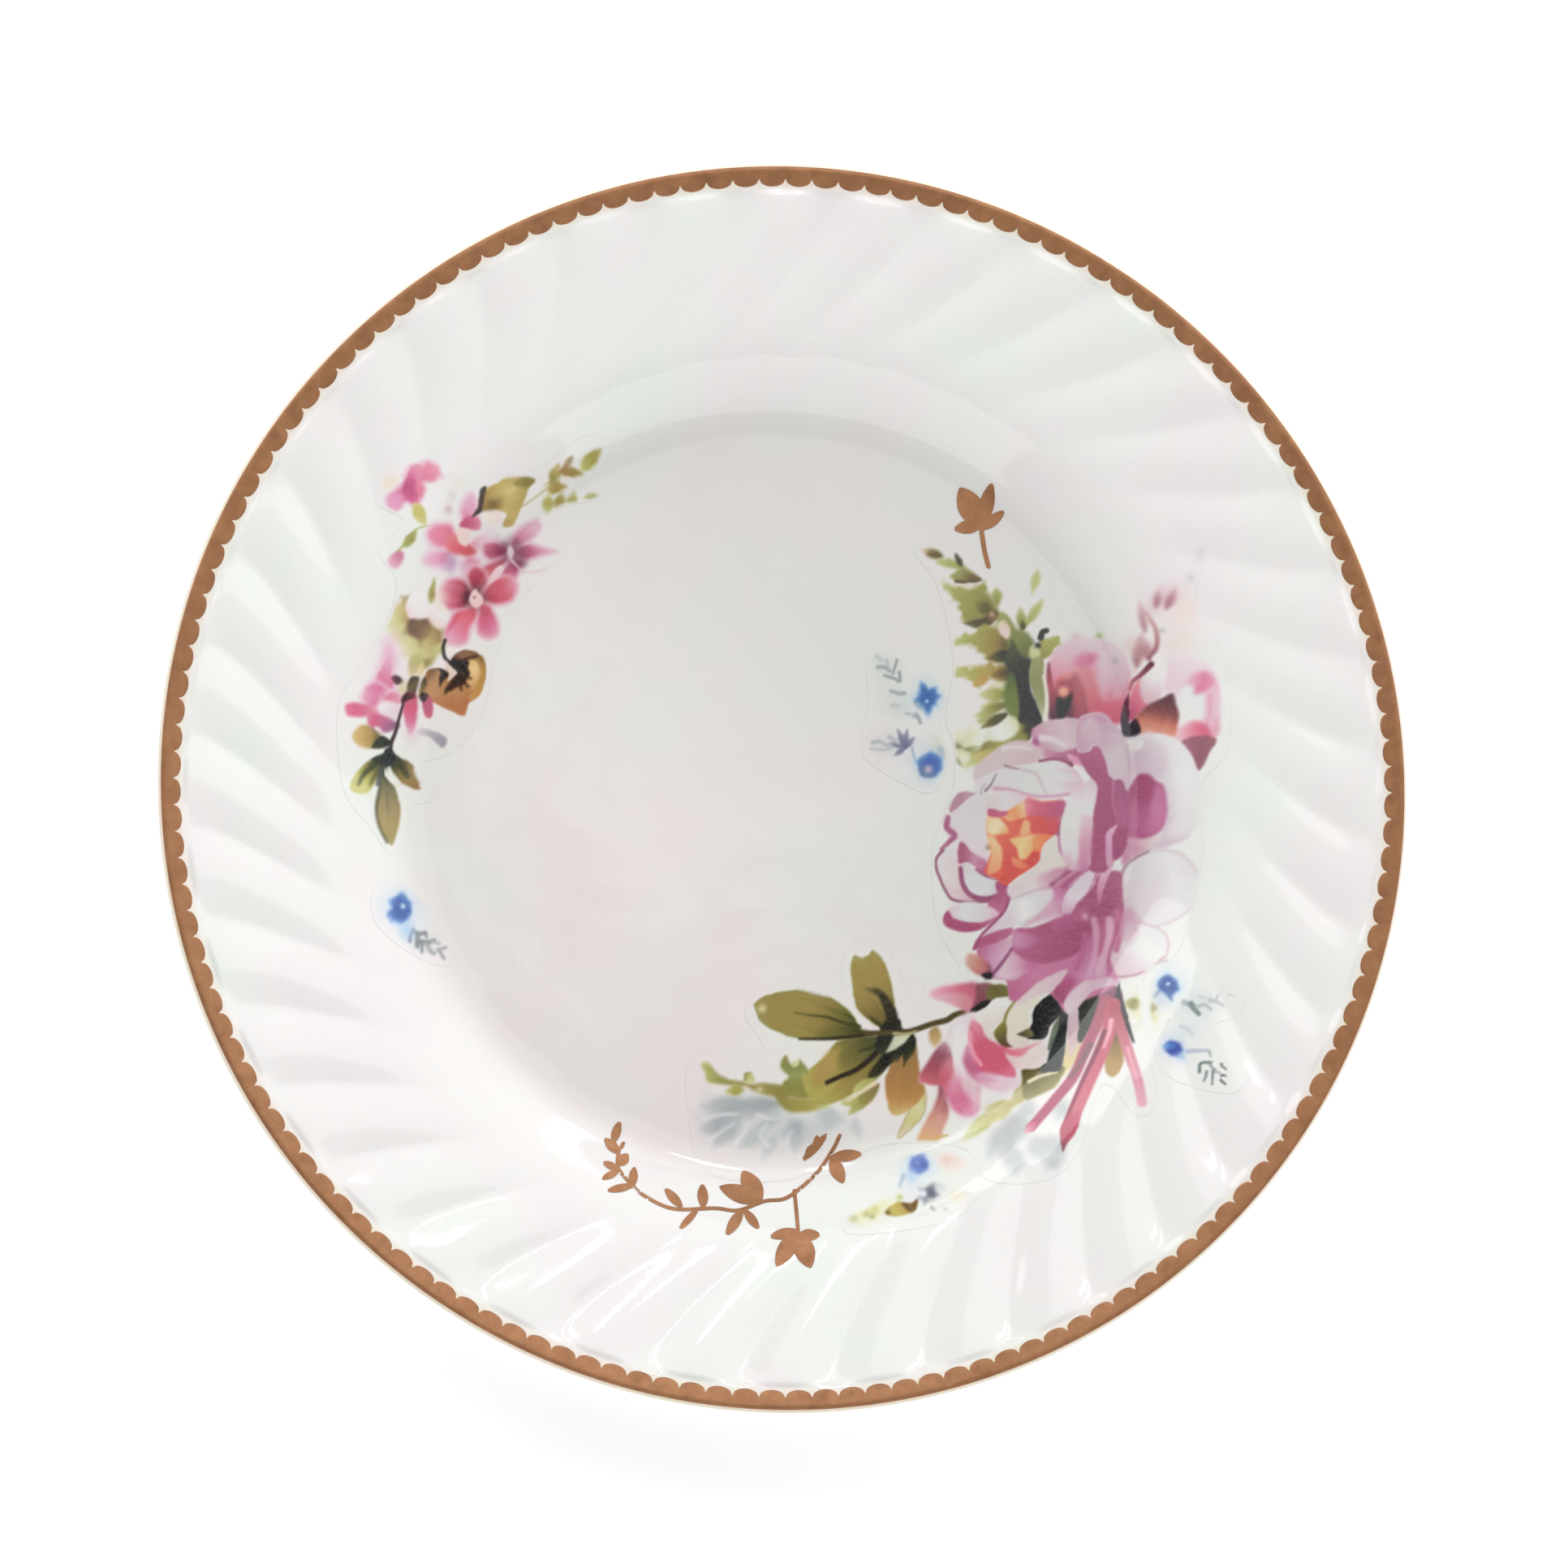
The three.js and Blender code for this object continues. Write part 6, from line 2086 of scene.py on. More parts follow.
def ochre_leaf(p):
    """The heart-shaped ochre leaf and its dark stalk."""
    p.stroke(
        [(-71.9, 32.6), (-72.3, 31), (-72, 29), (-70.8, 27.6), (-69.4, 26.4)], 0.7, (38, 34, 28),
        taper=-0.3, soft=0.25,
    )
    heart = [
        (-70.3, 27.4), (-70.2, 29), (-68.6, 30.3), (-66.4, 30.5), (-64.4, 29.4), (-63.2, 27.6),
        (-63.2, 24), (-64.4, 20.9), (-66.6, 19), (-67.2, 17.4), (-67.9, 16.2), (-71, 17.4), (-75, 19.4),
        (-76.4, 20.8), (-76.4, 24),
    ]
    p.petal(
        heart + [(-75.6, 26), (-73.4, 26.6), (-71.4, 26.2)],
        [(128, 96, 60), (178, 132, 80), (186, 138, 88), (180, 118, 76), (184, 120, 76)], soft=0.25,
        tip=10,
    )
    p.petal(
        [
            (-66, 19.6), (-64.4, 21), (-63.4, 24), (-63.2, 27.6), (-64.2, 29.4), (-66.2, 27.6),
            (-65.2, 23), (-66.6, 20.4),
        ],
        [(196, 150, 90), (190, 142, 72), (184, 140, 70), (130, 96, 52)], soft=0.4, tip=4,
    )
    p.petal(
        [(-67, 28), (-64.8, 28), (-64.4, 25), (-65.6, 21.6), (-67.2, 23.6)],
        [(222, 184, 118), (236, 202, 142), (218, 176, 116), (196, 144, 92)], soft=0.6, tip=3,
    )
    p.petal(
        [
            (-70.4, 27.6), (-70, 29), (-68.6, 30), (-66.6, 30.4), (-64.8, 29.8), (-66.4, 29.2),
            (-68, 28.7),
        ],
        [(78, 50, 34), (128, 86, 58), (138, 98, 66), (120, 80, 50)], soft=0.3, tip=4,
    )
    p.stroke([(-68.6, 28.2), (-66.8, 28.8), (-65, 29.3)], 0.7, (78, 38, 20), soft=0.3, taper=0.2)
    p.petal(
        [
            (-70.6, 27.6), (-70.2, 28.9), (-68.6, 28.4), (-66.8, 28), (-67, 26.6), (-66.6, 25.4),
            (-67.8, 23.2), (-68.6, 22.8), (-69.6, 22.2), (-71, 21.4), (-71.8, 22), (-70.4, 23.4),
            (-69.6, 25.4),
        ],
        [(24, 14, 10), (34, 18, 12), (52, 28, 18), (74, 42, 24)], soft=0.4, tip=9,
    )
    for tip in ((-66.4, 24.4), (-66.9, 22.6), (-68.4, 22), (-71.8, 21.2)):
        p.stroke([(-69.4, 25.6), tip], 1, (46, 26, 16), soft=0.5, taper=0.4, depth=0.8)
    p.petal(
        [
            (-73.2, 26.4), (-71.8, 26), (-71.2, 25), (-72.4, 23.6), (-73, 22.6), (-73.2, 24.4),
            (-72.8, 25.4),
        ],
        [(30, 16, 12), (40, 22, 16), (70, 40, 26)], soft=0.3,
    )
    p.petal(
        [
            (-71.8, 28.2), (-71, 27.2), (-69.4, 25.8), (-69.8, 24.8), (-71.2, 23.8), (-71, 25.4),
            (-71.8, 26.4),
        ],
        [(230, 214, 200), (222, 204, 196)], soft=0.25,
    )


def foot_flower(p):
    """The rose-pink flower at the foot of the spray, and the two dark-tipped buds beside it."""
    p.blot((-84.6, 27.4), 3, (226, 178, 196), 0.7, 2.2, 1.5)
    for outline, tones in (
        (
            [(-88.4, 20), (-87.6, 24), (-86, 27.4), (-85, 30.6), (-83.4, 29), (-83.2, 25), (-83, 21)],
            [(212, 110, 146), (216, 116, 150), (224, 160, 184), (228, 190, 206)],
        ),
        (
            [
                (-90.4, 20.6), (-91, 18.4), (-88.6, 16.4), (-84.6, 17.4), (-83, 20), (-86, 22.6),
                (-88.6, 22.6),
            ],
            [(226, 170, 190), (218, 134, 166), (212, 110, 146), (222, 140, 164)],
        ),
        (
            [(-86.6, 18.6), (-84, 18), (-81, 18.2), (-80.6, 20.4), (-84, 21.6)],
            [(206, 100, 134), (220, 130, 152), (226, 170, 184)],
        ),
    ):
        p.petal(outline, tones, soft=1.1, ragged=0.3, edge=(232, 190, 208), rim=1.2)
    p.petal(
        [(-85.4, 18.8), (-81.6, 18), (-82, 15.6), (-84.6, 15.4), (-87, 17)],
        [WHITE, (228, 212, 218), (226, 206, 214)], soft=0.8,
    )
    p.petal(
        [(-94, 17.4), (-91, 17.8), (-86.4, 16.6), (-88, 15.4), (-91.4, 14.8), (-93.8, 15)],
        [(222, 120, 146), (214, 100, 134), (216, 118, 144), (226, 160, 176)], soft=0.6, tip=2,
    )
    p.petal(
        [(-88.8, 16), (-86, 15.8), (-82.6, 14.6), (-81.8, 13.6), (-84, 12.4), (-87, 12.2), (-89, 13.6)],
        [(216, 124, 152), (208, 98, 130), (186, 106, 138), (150, 96, 130)], soft=0.6, tip=4,
    )
    p.leaf((-87.4, 13), (-85.6, 11.6), 1.2, [WHITE, (230, 206, 200)], soft=0.5)
    p.leaf(
        (-83.8, 24), (-80.8, 23), 1.9, [(120, 70, 84), (76, 40, 52), (150, 130, 110)], soft=0.4,
        widest=0.45,
    )
    p.petal(
        [(-81.4, 23), (-79.4, 24), (-78.6, 24), (-79.6, 21.4), (-81, 20.4), (-82.4, 21.4)],
        [(218, 208, 176), (224, 216, 190), WHITE], soft=0.5,
    )
    p.petal(
        [(-79.6, 24), (-78, 24.6), (-77.4, 24), (-78, 21.6), (-78.6, 20), (-80.4, 20)],
        [(62, 54, 40), (104, 92, 62), (96, 80, 56)], soft=0.4, tip=3,
    )
    p.petal(
        [(-76.4, 24.6), (-75.9, 23), (-76.6, 20.8), (-77.6, 20.2), (-77.4, 22.4)],
        [(60, 50, 38), (112, 96, 62), (150, 140, 90)], soft=0.4,
    )
    p.petal(
        [
            (-81.2, 19.4), (-80.4, 20.8), (-78.6, 20.9), (-77.8, 19.6), (-78, 16), (-78.6, 13),
            (-79.6, 12), (-80.4, 14), (-81, 16.6),
        ],
        [(196, 96, 116), (214, 100, 132), (220, 126, 160), (226, 170, 196)], soft=0.5, tip=6,
    )
    p.petal(
        [(-81.4, 18.8), (-80.6, 20.9), (-78.8, 21), (-78.4, 20), (-80, 19.4)],
        [(50, 22, 30), (60, 26, 36), (120, 56, 70)], soft=0.35,
    )
    p.petal(
        [
            (-77, 20.8), (-76, 20.8), (-74.8, 19.8), (-74.4, 17.4), (-74.8, 15.8), (-76, 15.8),
            (-76.8, 18),
        ],
        [(110, 40, 62), (184, 82, 112), (190, 84, 116), (204, 96, 124)], soft=0.35, tip=4,
    )
    p.petal(
        [(-77.4, 20.2), (-76.8, 21.2), (-75.6, 20.6), (-76.2, 19.2), (-77, 19.4)],
        [(46, 22, 28), (60, 26, 34)], soft=0.3,
    )
    p.petal(
        [
            (-77.6, 13.2), (-75.6, 13.2), (-71.8, 11.6), (-71.8, 9.8), (-72.8, 9.4), (-75.4, 11.6),
            (-77.8, 12),
        ],
        [(222, 206, 216), (190, 184, 192), (170, 164, 174), (160, 154, 164)], soft=0.4, tip=3,
    )
    p.blot((-79, 12), 2, (230, 196, 214), 0.5)


def olive_twig(p):
    """The dark twig and its three olive leaves."""
    p.stroke(
        [(-81, 18.6), (-81.8, 15.8), (-82.6, 12.6), (-83.6, 10), (-83.8, 8)], 0.55, (60, 44, 50),
        taper=-0.8, soft=0.25,
    )
    p.petal(
        [
            (-83.8, 10), (-86, 11.4), (-89, 13.2), (-91.4, 12.6), (-92.6, 10.4), (-91, 8.6), (-88, 8.4),
            (-85, 9),
        ],
        [(26, 30, 24), (76, 66, 36), (170, 142, 84), (196, 164, 100), (216, 186, 134)], soft=0.6, tip=4,
    )
    p.petal(
        [(-83.8, 10.2), (-85.8, 11.2), (-87.6, 9.6), (-88, 8.4), (-85, 8.9)],
        [(20, 26, 22), (40, 46, 34), (60, 58, 36)], soft=0.4,
    )
    for outline, tones, tip in (
        (
            [
                (-84.6, 7.4), (-87, 6.8), (-89.4, 5.2), (-91.4, 3), (-92.8, 0.6), (-92.8, -1),
                (-91, -1.7), (-89, -1.2), (-87.6, 0.4), (-86, 4),
            ],
            [(28, 38, 40), (56, 64, 40), (140, 130, 72), (190, 186, 104), (206, 200, 130)], 4,
        ),
        (
            [
                (-83.6, 7.6), (-81.3, 6.8), (-79.3, 5.7), (-77.6, 4), (-76.6, 2.6), (-76.7, 1.7),
                (-77.4, 1.1), (-77.1, 0.2), (-78.4, 0.1), (-80.9, 1.3), (-82.8, 3.1), (-83.9, 5.2),
            ],
            [(26, 34, 34), (58, 60, 34), (128, 112, 56), (154, 124, 66), (146, 106, 52)], 6,
        ),
        (
            [
                (-84.9, 4.4), (-86, 2), (-87, -3), (-86.8, -6.6), (-85.6, -10), (-84, -12),
                (-83, -11.8), (-81.9, -8), (-81.5, -4), (-82.6, 0), (-84, 2.4),
            ],
            [(50, 52, 40), (112, 104, 60), (150, 130, 78), (166, 142, 82), (156, 144, 84)], 5,
        ),
    ):
        p.petal(outline, tones, soft=0.4, tip=tip)
    for points, width, colour, taper in (
        ([(-85, 6.4), (-88, 4.4), (-90, 2.4), (-91, 0.4)], 1.5, (54, 60, 30), 0.5),
        ([(-85.4, 5.4), (-87.2, 3), (-88.4, 0.6)], 1, (92, 84, 46), 0.6),
        ([(-84.6, 5.8), (-86, 3), (-86.6, 0.8)], 1.6, (40, 46, 40), 0.4),
        ([(-83.6, 6.6), (-81.6, 5.4), (-80, 3)], 2, (58, 58, 30), 0.4),
        ([(-85.8, 1), (-86.9, -4), (-86.4, -8), (-84.6, -11.6)], 0.8, (80, 74, 44), 0.2),
        ([(-84.2, 2), (-84.4, -2), (-84.2, -5)], 0.7, (104, 96, 54), 0.6),
    ):
        p.stroke(points, width, colour, soft=0.5, depth=0.8, taper=taper)
    p.blot((-90, -0.4), 1.5, (214, 206, 130), 0.8)
    p.petal(
        [(-84.9, 8.6), (-83.6, 8.6), (-82.6, 6.8), (-84, 5), (-86, 5), (-88, 6.2), (-85.6, 7.2)],
        [(22, 28, 28), (30, 40, 40), (44, 50, 40)], soft=0.35,
    )
    p.petal(
        [(-84.9, 4.4), (-84.4, 3.6), (-82.6, 1.6), (-81.4, 0.6), (-83.4, 1.2), (-85, 2.8)],
        [(232, 224, 204), WHITE, (230, 210, 176)], soft=0.25,
    )


# ---- The blue sprigs -----------------------------------------------------------------------------------
def washed(p, centre, size, deep, wash, petals, heart=None):
    """A small blue flower: a wash, soft petals towards the given angles, and a pale or dark heart."""
    p.blot(centre, size * 1.3, wash, 0.6)
    for angle, reach, width in petals:
        around = math.radians(angle)
        tip = (centre[0] + size * reach * math.cos(around), centre[1] + size * reach * math.sin(around))
        p.leaf(
            centre, tip, size * width, [deep, deep, gradient((deep, wash), 0.3), wash], soft=0.6,
            widest=0.4,
        )
    p.blot(centre, size * 0.45, deep, 0.8)
    if heart:
        offset, heart_size, colour = heart
        p.blot((centre[0] + offset[0], centre[1] + offset[1]), heart_size, colour, 1)


def well_blue(p):
    """Two blue flowers in the well beside the fern, with grey twigs and a small grey flower."""
    p.blot((24, 28), 4, (204, 212, 208), 0.5, 1.3, 2.4)
    p.blot((26, 20), 5, (208, 214, 208), 0.5, 1.2, 2.4)
    p.blot((24, 11), 4, (206, 212, 208), 0.5, 1.4)
    for points, width, colour in (
        ([(26.8, 27), (26.9, 25), (25.6, 25.6), (23.6, 26.2)], 0.6, (140, 152, 150)),
        ([(26.3, 29.6), (25.9, 28.2), (25.4, 26.6)], 0.6, (150, 160, 158)),
        ([(22.2, 28), (23.6, 28), (24.8, 27.2)], 0.9, (164, 172, 170)),
        ([(21.8, 30.4), (23, 29.4)], 0.8, (194, 202, 200)),
        ([(24, 29.6), (24.4, 28.4)], 0.5, (176, 184, 182)),
        ([(27.9, 22.4), (26.8, 22.3), (25, 22.8)], 0.9, (166, 174, 172)),
        ([(25.4, 19.8), (26.6, 19.6)], 1, (196, 202, 196)),
        ([(28.4, 18), (29.4, 17.8), (30, 17.2)], 0.7, (188, 194, 190)),
        ([(30.4, 17.8), (31, 17), (31.4, 16)], 0.9, (158, 166, 170)),
        ([(29.6, 10.4), (29.9, 9), (30.2, 8)], 0.6, (160, 180, 204)),
        ([(21, 11.6), (22.6, 11.8), (24, 11), (26, 10.8)], 0.9, (182, 190, 190)),
        ([(20.8, 10.2), (23, 10), (25, 10.2)], 0.7, (192, 198, 196)),
        ([(24.6, 12.8), (26, 12)], 0.8, (180, 184, 196)),
    ):
        p.stroke(points, width, colour, soft=0.35, depth=1, taper=0.2)
    for tip, width in (
        ((26.4, 14.6), 1.3), ((28.5, 14.6), 1.2), ((30.2, 13), 1.2), ((25.6, 8.8), 1),
        ((24.6, 11.6), 0.9), ((27.4, 13.4), 1.4),
    ):
        p.leaf(
            (28.1, 10.4), tip, width, [(96, 100, 134), (112, 116, 140), (142, 150, 166)], soft=0.4,
            depth=0.95,
        )
    upper = (
        (113, 1.25, 0.5), (52, 1, 0.5), (12, 0.95, 0.5), (-38, 0.85, 0.45), (-88, 1.25, 0.5),
        (-170, 1, 0.5), (150, 0.8, 0.45), (-130, 0.85, 0.4),
    )
    washed(
        p, (33, 21.4), 3.4, (32, 92, 170), (168, 204, 232), upper, ((-0.2, -0.7), 0.5, (186, 212, 244)),
    )
    p.stroke([(30.2, 20.4), (31, 19.4), (31.8, 18.8)], 0.5, (110, 134, 150), soft=0.4, depth=0.7)
    lower = (
        (85, 0.85, 0.8), (35, 0.85, 0.7), (-15, 0.8, 0.7), (-70, 0.75, 0.8), (-130, 0.8, 0.8),
        (165, 0.85, 0.7), (125, 0.7, 0.6),
    )
    p.blot((36, 11.6), 2.6, (226, 226, 206), 0.8)
    p.petal(
        [(37.4, 10.2), (36, 12.2), (34.4, 12.2), (33.6, 11), (35, 10)],
        [(206, 200, 156), (228, 228, 200), (230, 230, 208)], soft=0.7,
    )
    p.stroke([(36.2, 14), (36.5, 12.6), (37.3, 10.8)], 0.7, (190, 184, 130), soft=0.5, depth=0.8)
    p.blot((37.2, 9), 1.2, (208, 202, 158), 0.7)
    washed(p, (33.5, 6.8), 4, (48, 94, 176), (160, 196, 226), lower)
    p.stroke([(31.6, 6), (32, 4.8), (33.4, 4.4), (34.6, 4.8)], 1.2, (84, 108, 146), soft=0.6, depth=0.8)
    p.blot((33.1, 5.9), 1.2, (196, 178, 196), 1)
    p.blot((36, 10), 1.4, (150, 168, 200), 0.6)
    p.blot((37.6, 6), 1.8, (202, 218, 226), 0.6)


def right_blue(p):
    """Two blue flowers at the right of the peony's stems, with the cream blossom and grey twigs."""
    cream_star(p)
    p.blot((90.6, -45.4), 4, (212, 214, 214), 0.6, 1.6)
    p.blot((88.6, -51), 3, (218, 220, 222), 0.6, 1.4)
    p.blot((82.6, -44.6), 2.4, (196, 196, 214), 0.7)
    for points, width, colour in (
        ([(87.4, -45.2), (88.8, -45.8), (89.8, -46.2)], 1.4, (172, 182, 184)),
        ([(88.8, -45.6), (89.4, -46.6), (90.4, -47.8)], 1.5, (128, 140, 140)),
        ([(90, -46.2), (91.6, -45.8), (93, -46.8)], 0.9, (182, 188, 188)),
        ([(92.8, -44.8), (94.4, -45.2), (95.6, -46)], 1, (188, 190, 190)),
        ([(94, -45), (94.6, -43.6)], 0.7, (190, 192, 192)),
        ([(96.8, -43.6), (98, -43.8)], 0.5, (206, 206, 206)),
        ([(90.6, -44), (92, -44.4)], 0.8, (204, 206, 206)),
        ([(86.6, -50.4), (88, -51.2), (89, -52.4)], 1, (206, 208, 214)),
        ([(88, -55.9), (90, -55.8), (92, -55.8)], 1.2, (188, 192, 204)),
        ([(92.4, -56), (92.7, -57)], 0.7, (170, 178, 176)),
        ([(90.3, -60.4), (90.6, -58.6), (92.8, -58.4)], 0.8, (112, 124, 122)),
        ([(92.2, -58.4), (93, -59.6), (93.6, -60)], 0.6, (132, 142, 142)),
        ([(91.8, -60.4), (91.6, -61.4), (91.2, -62.4)], 0.7, (132, 140, 138)),
        ([(93.1, -60.2), (93, -61.8), (92.9, -63.2)], 0.5, (96, 106, 104)),
        ([(93.4, -60.4), (94.2, -60.6), (95, -61.2)], 0.5, (150, 158, 158)),
        ([(94.9, -58.8), (95.1, -59.4)], 0.5, (60, 70, 68)),
        ([(95.5, -59.6), (95.9, -60)], 0.4, (70, 80, 80)),
        ([(94.9, -61.4), (95.4, -61.2), (95.8, -61.5)], 0.4, (60, 70, 70)),
        ([(94.7, -62.3), (95.2, -62.8), (95.7, -63.2)], 0.5, (46, 54, 54)),
    ):
        p.stroke(points, width * 0.9, colour, soft=0.3, depth=1, taper=0.3)
    upper = (
        (95, 0.85, 0.8), (35, 0.75, 0.6), (-28, 0.85, 0.7), (-80, 0.95, 0.55), (-150, 0.7, 0.6),
        (150, 0.8, 0.8),
    )
    washed(
        p, (84.2, -41.4), 3.3, (16, 66, 148), (168, 200, 230), upper, ((0, 0.4), 0.65, (200, 226, 248)),
    )
    p.stroke([(84.2, -42), (84.4, -43.6), (84.8, -44.6)], 0.9, (54, 88, 148), soft=0.5, depth=0.8)
    p.stroke([(82.2, -42.6), (81.4, -43.8)], 0.8, (120, 132, 170), soft=0.5, depth=0.7)
    lower = (
        (110, 0.75, 0.7), (30, 0.7, 0.6), (-18, 0.85, 0.6), (-60, 0.9, 0.6), (-110, 0.7, 0.6),
        (175, 0.8, 0.8),
    )
    washed(
        p, (85, -55.2), 2.9, (62, 78, 160), (178, 196, 226), lower,
        ((-0.1, 0.4), 0.35, (140, 160, 220)),
    )
    p.leaf(
        (85.4, -54.6), (82.6, -54.8), 1.8, [(70, 110, 182), (84, 126, 196), (160, 190, 228)], soft=0.6,
    )
    p.blot((86.6, -57), 1.3, (156, 190, 226), 0.8)


def lower_blue(p):
    """A blue flower under the spray, with grey leaves and an olive twig."""
    p.blot((37.2, -79.2), 2.6, (240, 206, 196), 0.75, 1.3)
    p.blot((36.4, -79.2), 1.4, (234, 190, 184), 0.6)
    p.blot((38.2, -87.6), 1.6, (236, 224, 190), 0.7)
    p.blot((28.6, -85.8), 3, (222, 218, 228), 0.6)
    for points, width, colour in (
        ([(27.2, -82.6), (26.6, -84), (26.2, -85.2)], 0.8, (150, 172, 196)),
        ([(32.6, -90), (33.1, -90.5)], 0.6, (142, 138, 126)),
        ([(35.4, -90.3), (36, -90.6)], 0.6, (196, 192, 182)),
    ):
        p.stroke(points, width, colour, soft=0.5, depth=0.8)
    petals = (
        (70, 0.95, 0.7), (15, 0.75, 0.7), (-40, 0.7, 0.6), (-95, 0.8, 0.7), (-140, 0.85, 0.7),
        (175, 0.7, 0.6), (125, 0.75, 0.6),
    )
    washed(
        p, (30.6, -80.2), 3.4, (104, 124, 194), (184, 204, 232), petals,
        ((-0.2, 0.5), 0.7, (142, 160, 214)),
    )
    p.blot((31.8, -80.2), 1.1, (84, 98, 166), 0.75)
    p.blot((28.8, -83), 1.8, (176, 200, 232), 0.7)
    for tip, width in (
        ((33.6, -84.4), 1.5), ((34.4, -87), 1.4), ((31, -89.2), 1), ((32.8, -86), 1.8),
        ((30.2, -85.6), 1), ((29.6, -88), 1),
    ):
        p.leaf(
            (31.9, -87), tip, width, [(84, 82, 100), (96, 94, 112), (152, 152, 168)], soft=0.8,
            depth=0.8,
        )
    p.blot((32.6, -86.6), 1.7, (92, 94, 114), 0.75)
    p.blot((31, -86.8), 1.2, (232, 232, 238), 1)
    p.blot((35, -85.4), 1.4, (206, 206, 212), 0.6)
    for centre, size, colour, stretch in (
        ((17.6, -91.4), 2.6, (236, 228, 186), 1.4), ((22, -89.6), 2.6, (232, 224, 180), 1.6),
        ((20.4, -90.6), 1.4, (200, 200, 130), 1), ((15.8, -92.4), 1.2, (190, 188, 140), 1.3),
        ((18.6, -91.4), 1, (182, 178, 110), 1), ((19.8, -92), 0.8, (164, 158, 84), 1),
        ((19.6, -88.6), 0.9, (190, 186, 124), 1.2), ((26, -87.6), 0.9, (190, 190, 116), 1),
    ):
        p.blot(centre, size, colour, 0.8, stretch)
    p.petal(
        [
            (22.8, -91.4), (23.4, -90), (24.6, -89.2), (25.6, -88.6), (26.6, -89), (28.6, -89),
            (29.6, -88.3), (29, -90.6), (27.4, -91.4), (25, -92),
        ],
        [(150, 130, 64), (196, 180, 96), (190, 160, 84), (150, 116, 52), (92, 70, 36)], soft=0.4, tip=6,
    )
    p.petal(
        [(26.4, -88.8), (28.2, -89), (29.7, -88.2), (29.2, -90.2), (28.2, -91), (27, -90)],
        [(84, 66, 30), (120, 92, 48), (110, 78, 34)], soft=0.4,
    )
    p.blot((23.2, -91), 0.7, (104, 84, 34), 0.9)


def left_blue(p):
    """A blue flower and its grey twig at the left edge of the well."""
    p.blot((-77, -33), 3.6, (206, 210, 210), 0.7, 1.4, 2.7)
    for points, width, colour in (
        ([(-78.8, -30.4), (-79.4, -31.6), (-79.6, -33)], 0.9, (120, 124, 136)),
        ([(-78.8, -30.8), (-77.6, -31.2), (-76.2, -31)], 1.1, (134, 140, 148)),
        ([(-77.8, -31.4), (-77.8, -32.8), (-77.9, -34)], 1.2, (124, 136, 138)),
        ([(-77.8, -33.2), (-76.6, -33), (-75.4, -33), (-74.2, -32.6)], 1.1, (122, 130, 132)),
        ([(-76.8, -33.4), (-76.9, -35.2)], 0.7, (128, 136, 134)),
        ([(-75.8, -33.4), (-75, -34.8), (-74.2, -35.4)], 1, (158, 166, 162)),
        ([(-76, -31), (-75.8, -31.8)], 0.7, (134, 140, 148)),
        ([(-73.2, -34.6), (-72.6, -34.4), (-71.6, -34)], 0.7, (166, 170, 170)),
        ([(-73.2, -34.6), (-72.6, -35.4), (-72, -36.4)], 0.8, (160, 166, 166)),
        ([(-74.6, -32.8), (-73, -33.2)], 0.8, (180, 184, 188)),
    ):
        p.stroke(points, width, colour, soft=0.35, depth=0.95, taper=0.1)
    p.blot((-80.4, -30.4), 2.2, (168, 202, 232), 0.8, 1.3, 2)
    petals = (
        (85, 0.9, 0.7), (35, 0.7, 0.7), (-10, 0.6, 0.7), (-60, 0.75, 0.8), (-105, 0.9, 0.8),
        (-145, 0.95, 0.7), (150, 0.8, 0.7),
    )
    p.leaf((-81.8, -26), (-84, -29.2), 2.6, [(60, 100, 180), (96, 128, 198), (150, 170, 216)])
    washed(p, (-81.5, -25.9), 4.3, (44, 90, 166), (168, 200, 232), petals)
    p.blot((-81.6, -26.8), 1.8, (46, 84, 158), 0.8)
    p.blot((-84.2, -26), 1, (232, 234, 244), 0.7)
    p.blot((-81, -25.4), 0.7, (196, 214, 226), 1)


SPRAY_OUTLINE = (
    (30, 54), (41, 54), (50, 45), (54, 51), (59, 50), (62, 38), (73, 38), (79, 48), (87, 57), (93, 55),
    (90, 42), (97, 27), (97, 10), (91.5, 2), (92, -12), (89, -27), (85.6, -35), (79.8, -38.8),
    (79, -50), (81, -66), (77, -70), (70, -63), (64, -78), (57, -84), (45, -84), (40, -76.5),
    (25, -75.5), (15, -79), (0, -84), (-15, -82), (-19, -70), (-18, -57), (-3, -56), (-7, -47),
    (0, -41), (13, -43), (15, -34), (23, -32), (31, -46), (33, -40), (40, -38), (35, -28), (34, -12),
    (38.5, 2), (38.5, 12), (37, 17), (38.5, 30), (35, 46),
)
PINK_OUTLINE = (
    (-88, 61), (-85, 70), (-75, 72), (-62, 68), (-52, 70), (-42, 77), (-36, 75), (-37, 65), (-48, 61),
    (-46, 53), (-55, 42), (-61, 29), (-64, 16), (-71, 8), (-78, 5), (-75, -2), (-80, -4), (-80, -11),
    (-84, -14), (-88, -9), (-94, -2), (-96, 10), (-95, 19), (-88, 30), (-83, 43), (-87, 50), (-82, 57),
)
# What is painted on the two big sheets, in order.
PEONY_SPRAY = (
    bud_haze, left_bud, right_bud, bud_stems, fern_tip, lower_fronds, fern_dark_foot, pale_blossoms,
    shadow_leaves, olive_tip, lower_leaf, golden_leaf, long_leaf, upright_leaf, trumpet_surround,
    trumpet_top, trumpet, dark_leaves, cut_stems, peony_outer_petals, peony_lower_petals,
    peony_swept_petals, peony_middle_petals, peony_top_petals, peony_cupped_petals, peony_heart,
)
PINK_SPRAY = (
    carnation_and_bud, upper_pink_flower, right_pink_flower, red_flower, broad_leaf, lime_leaf,
    ochre_leaf, foot_flower, olive_twig,
)
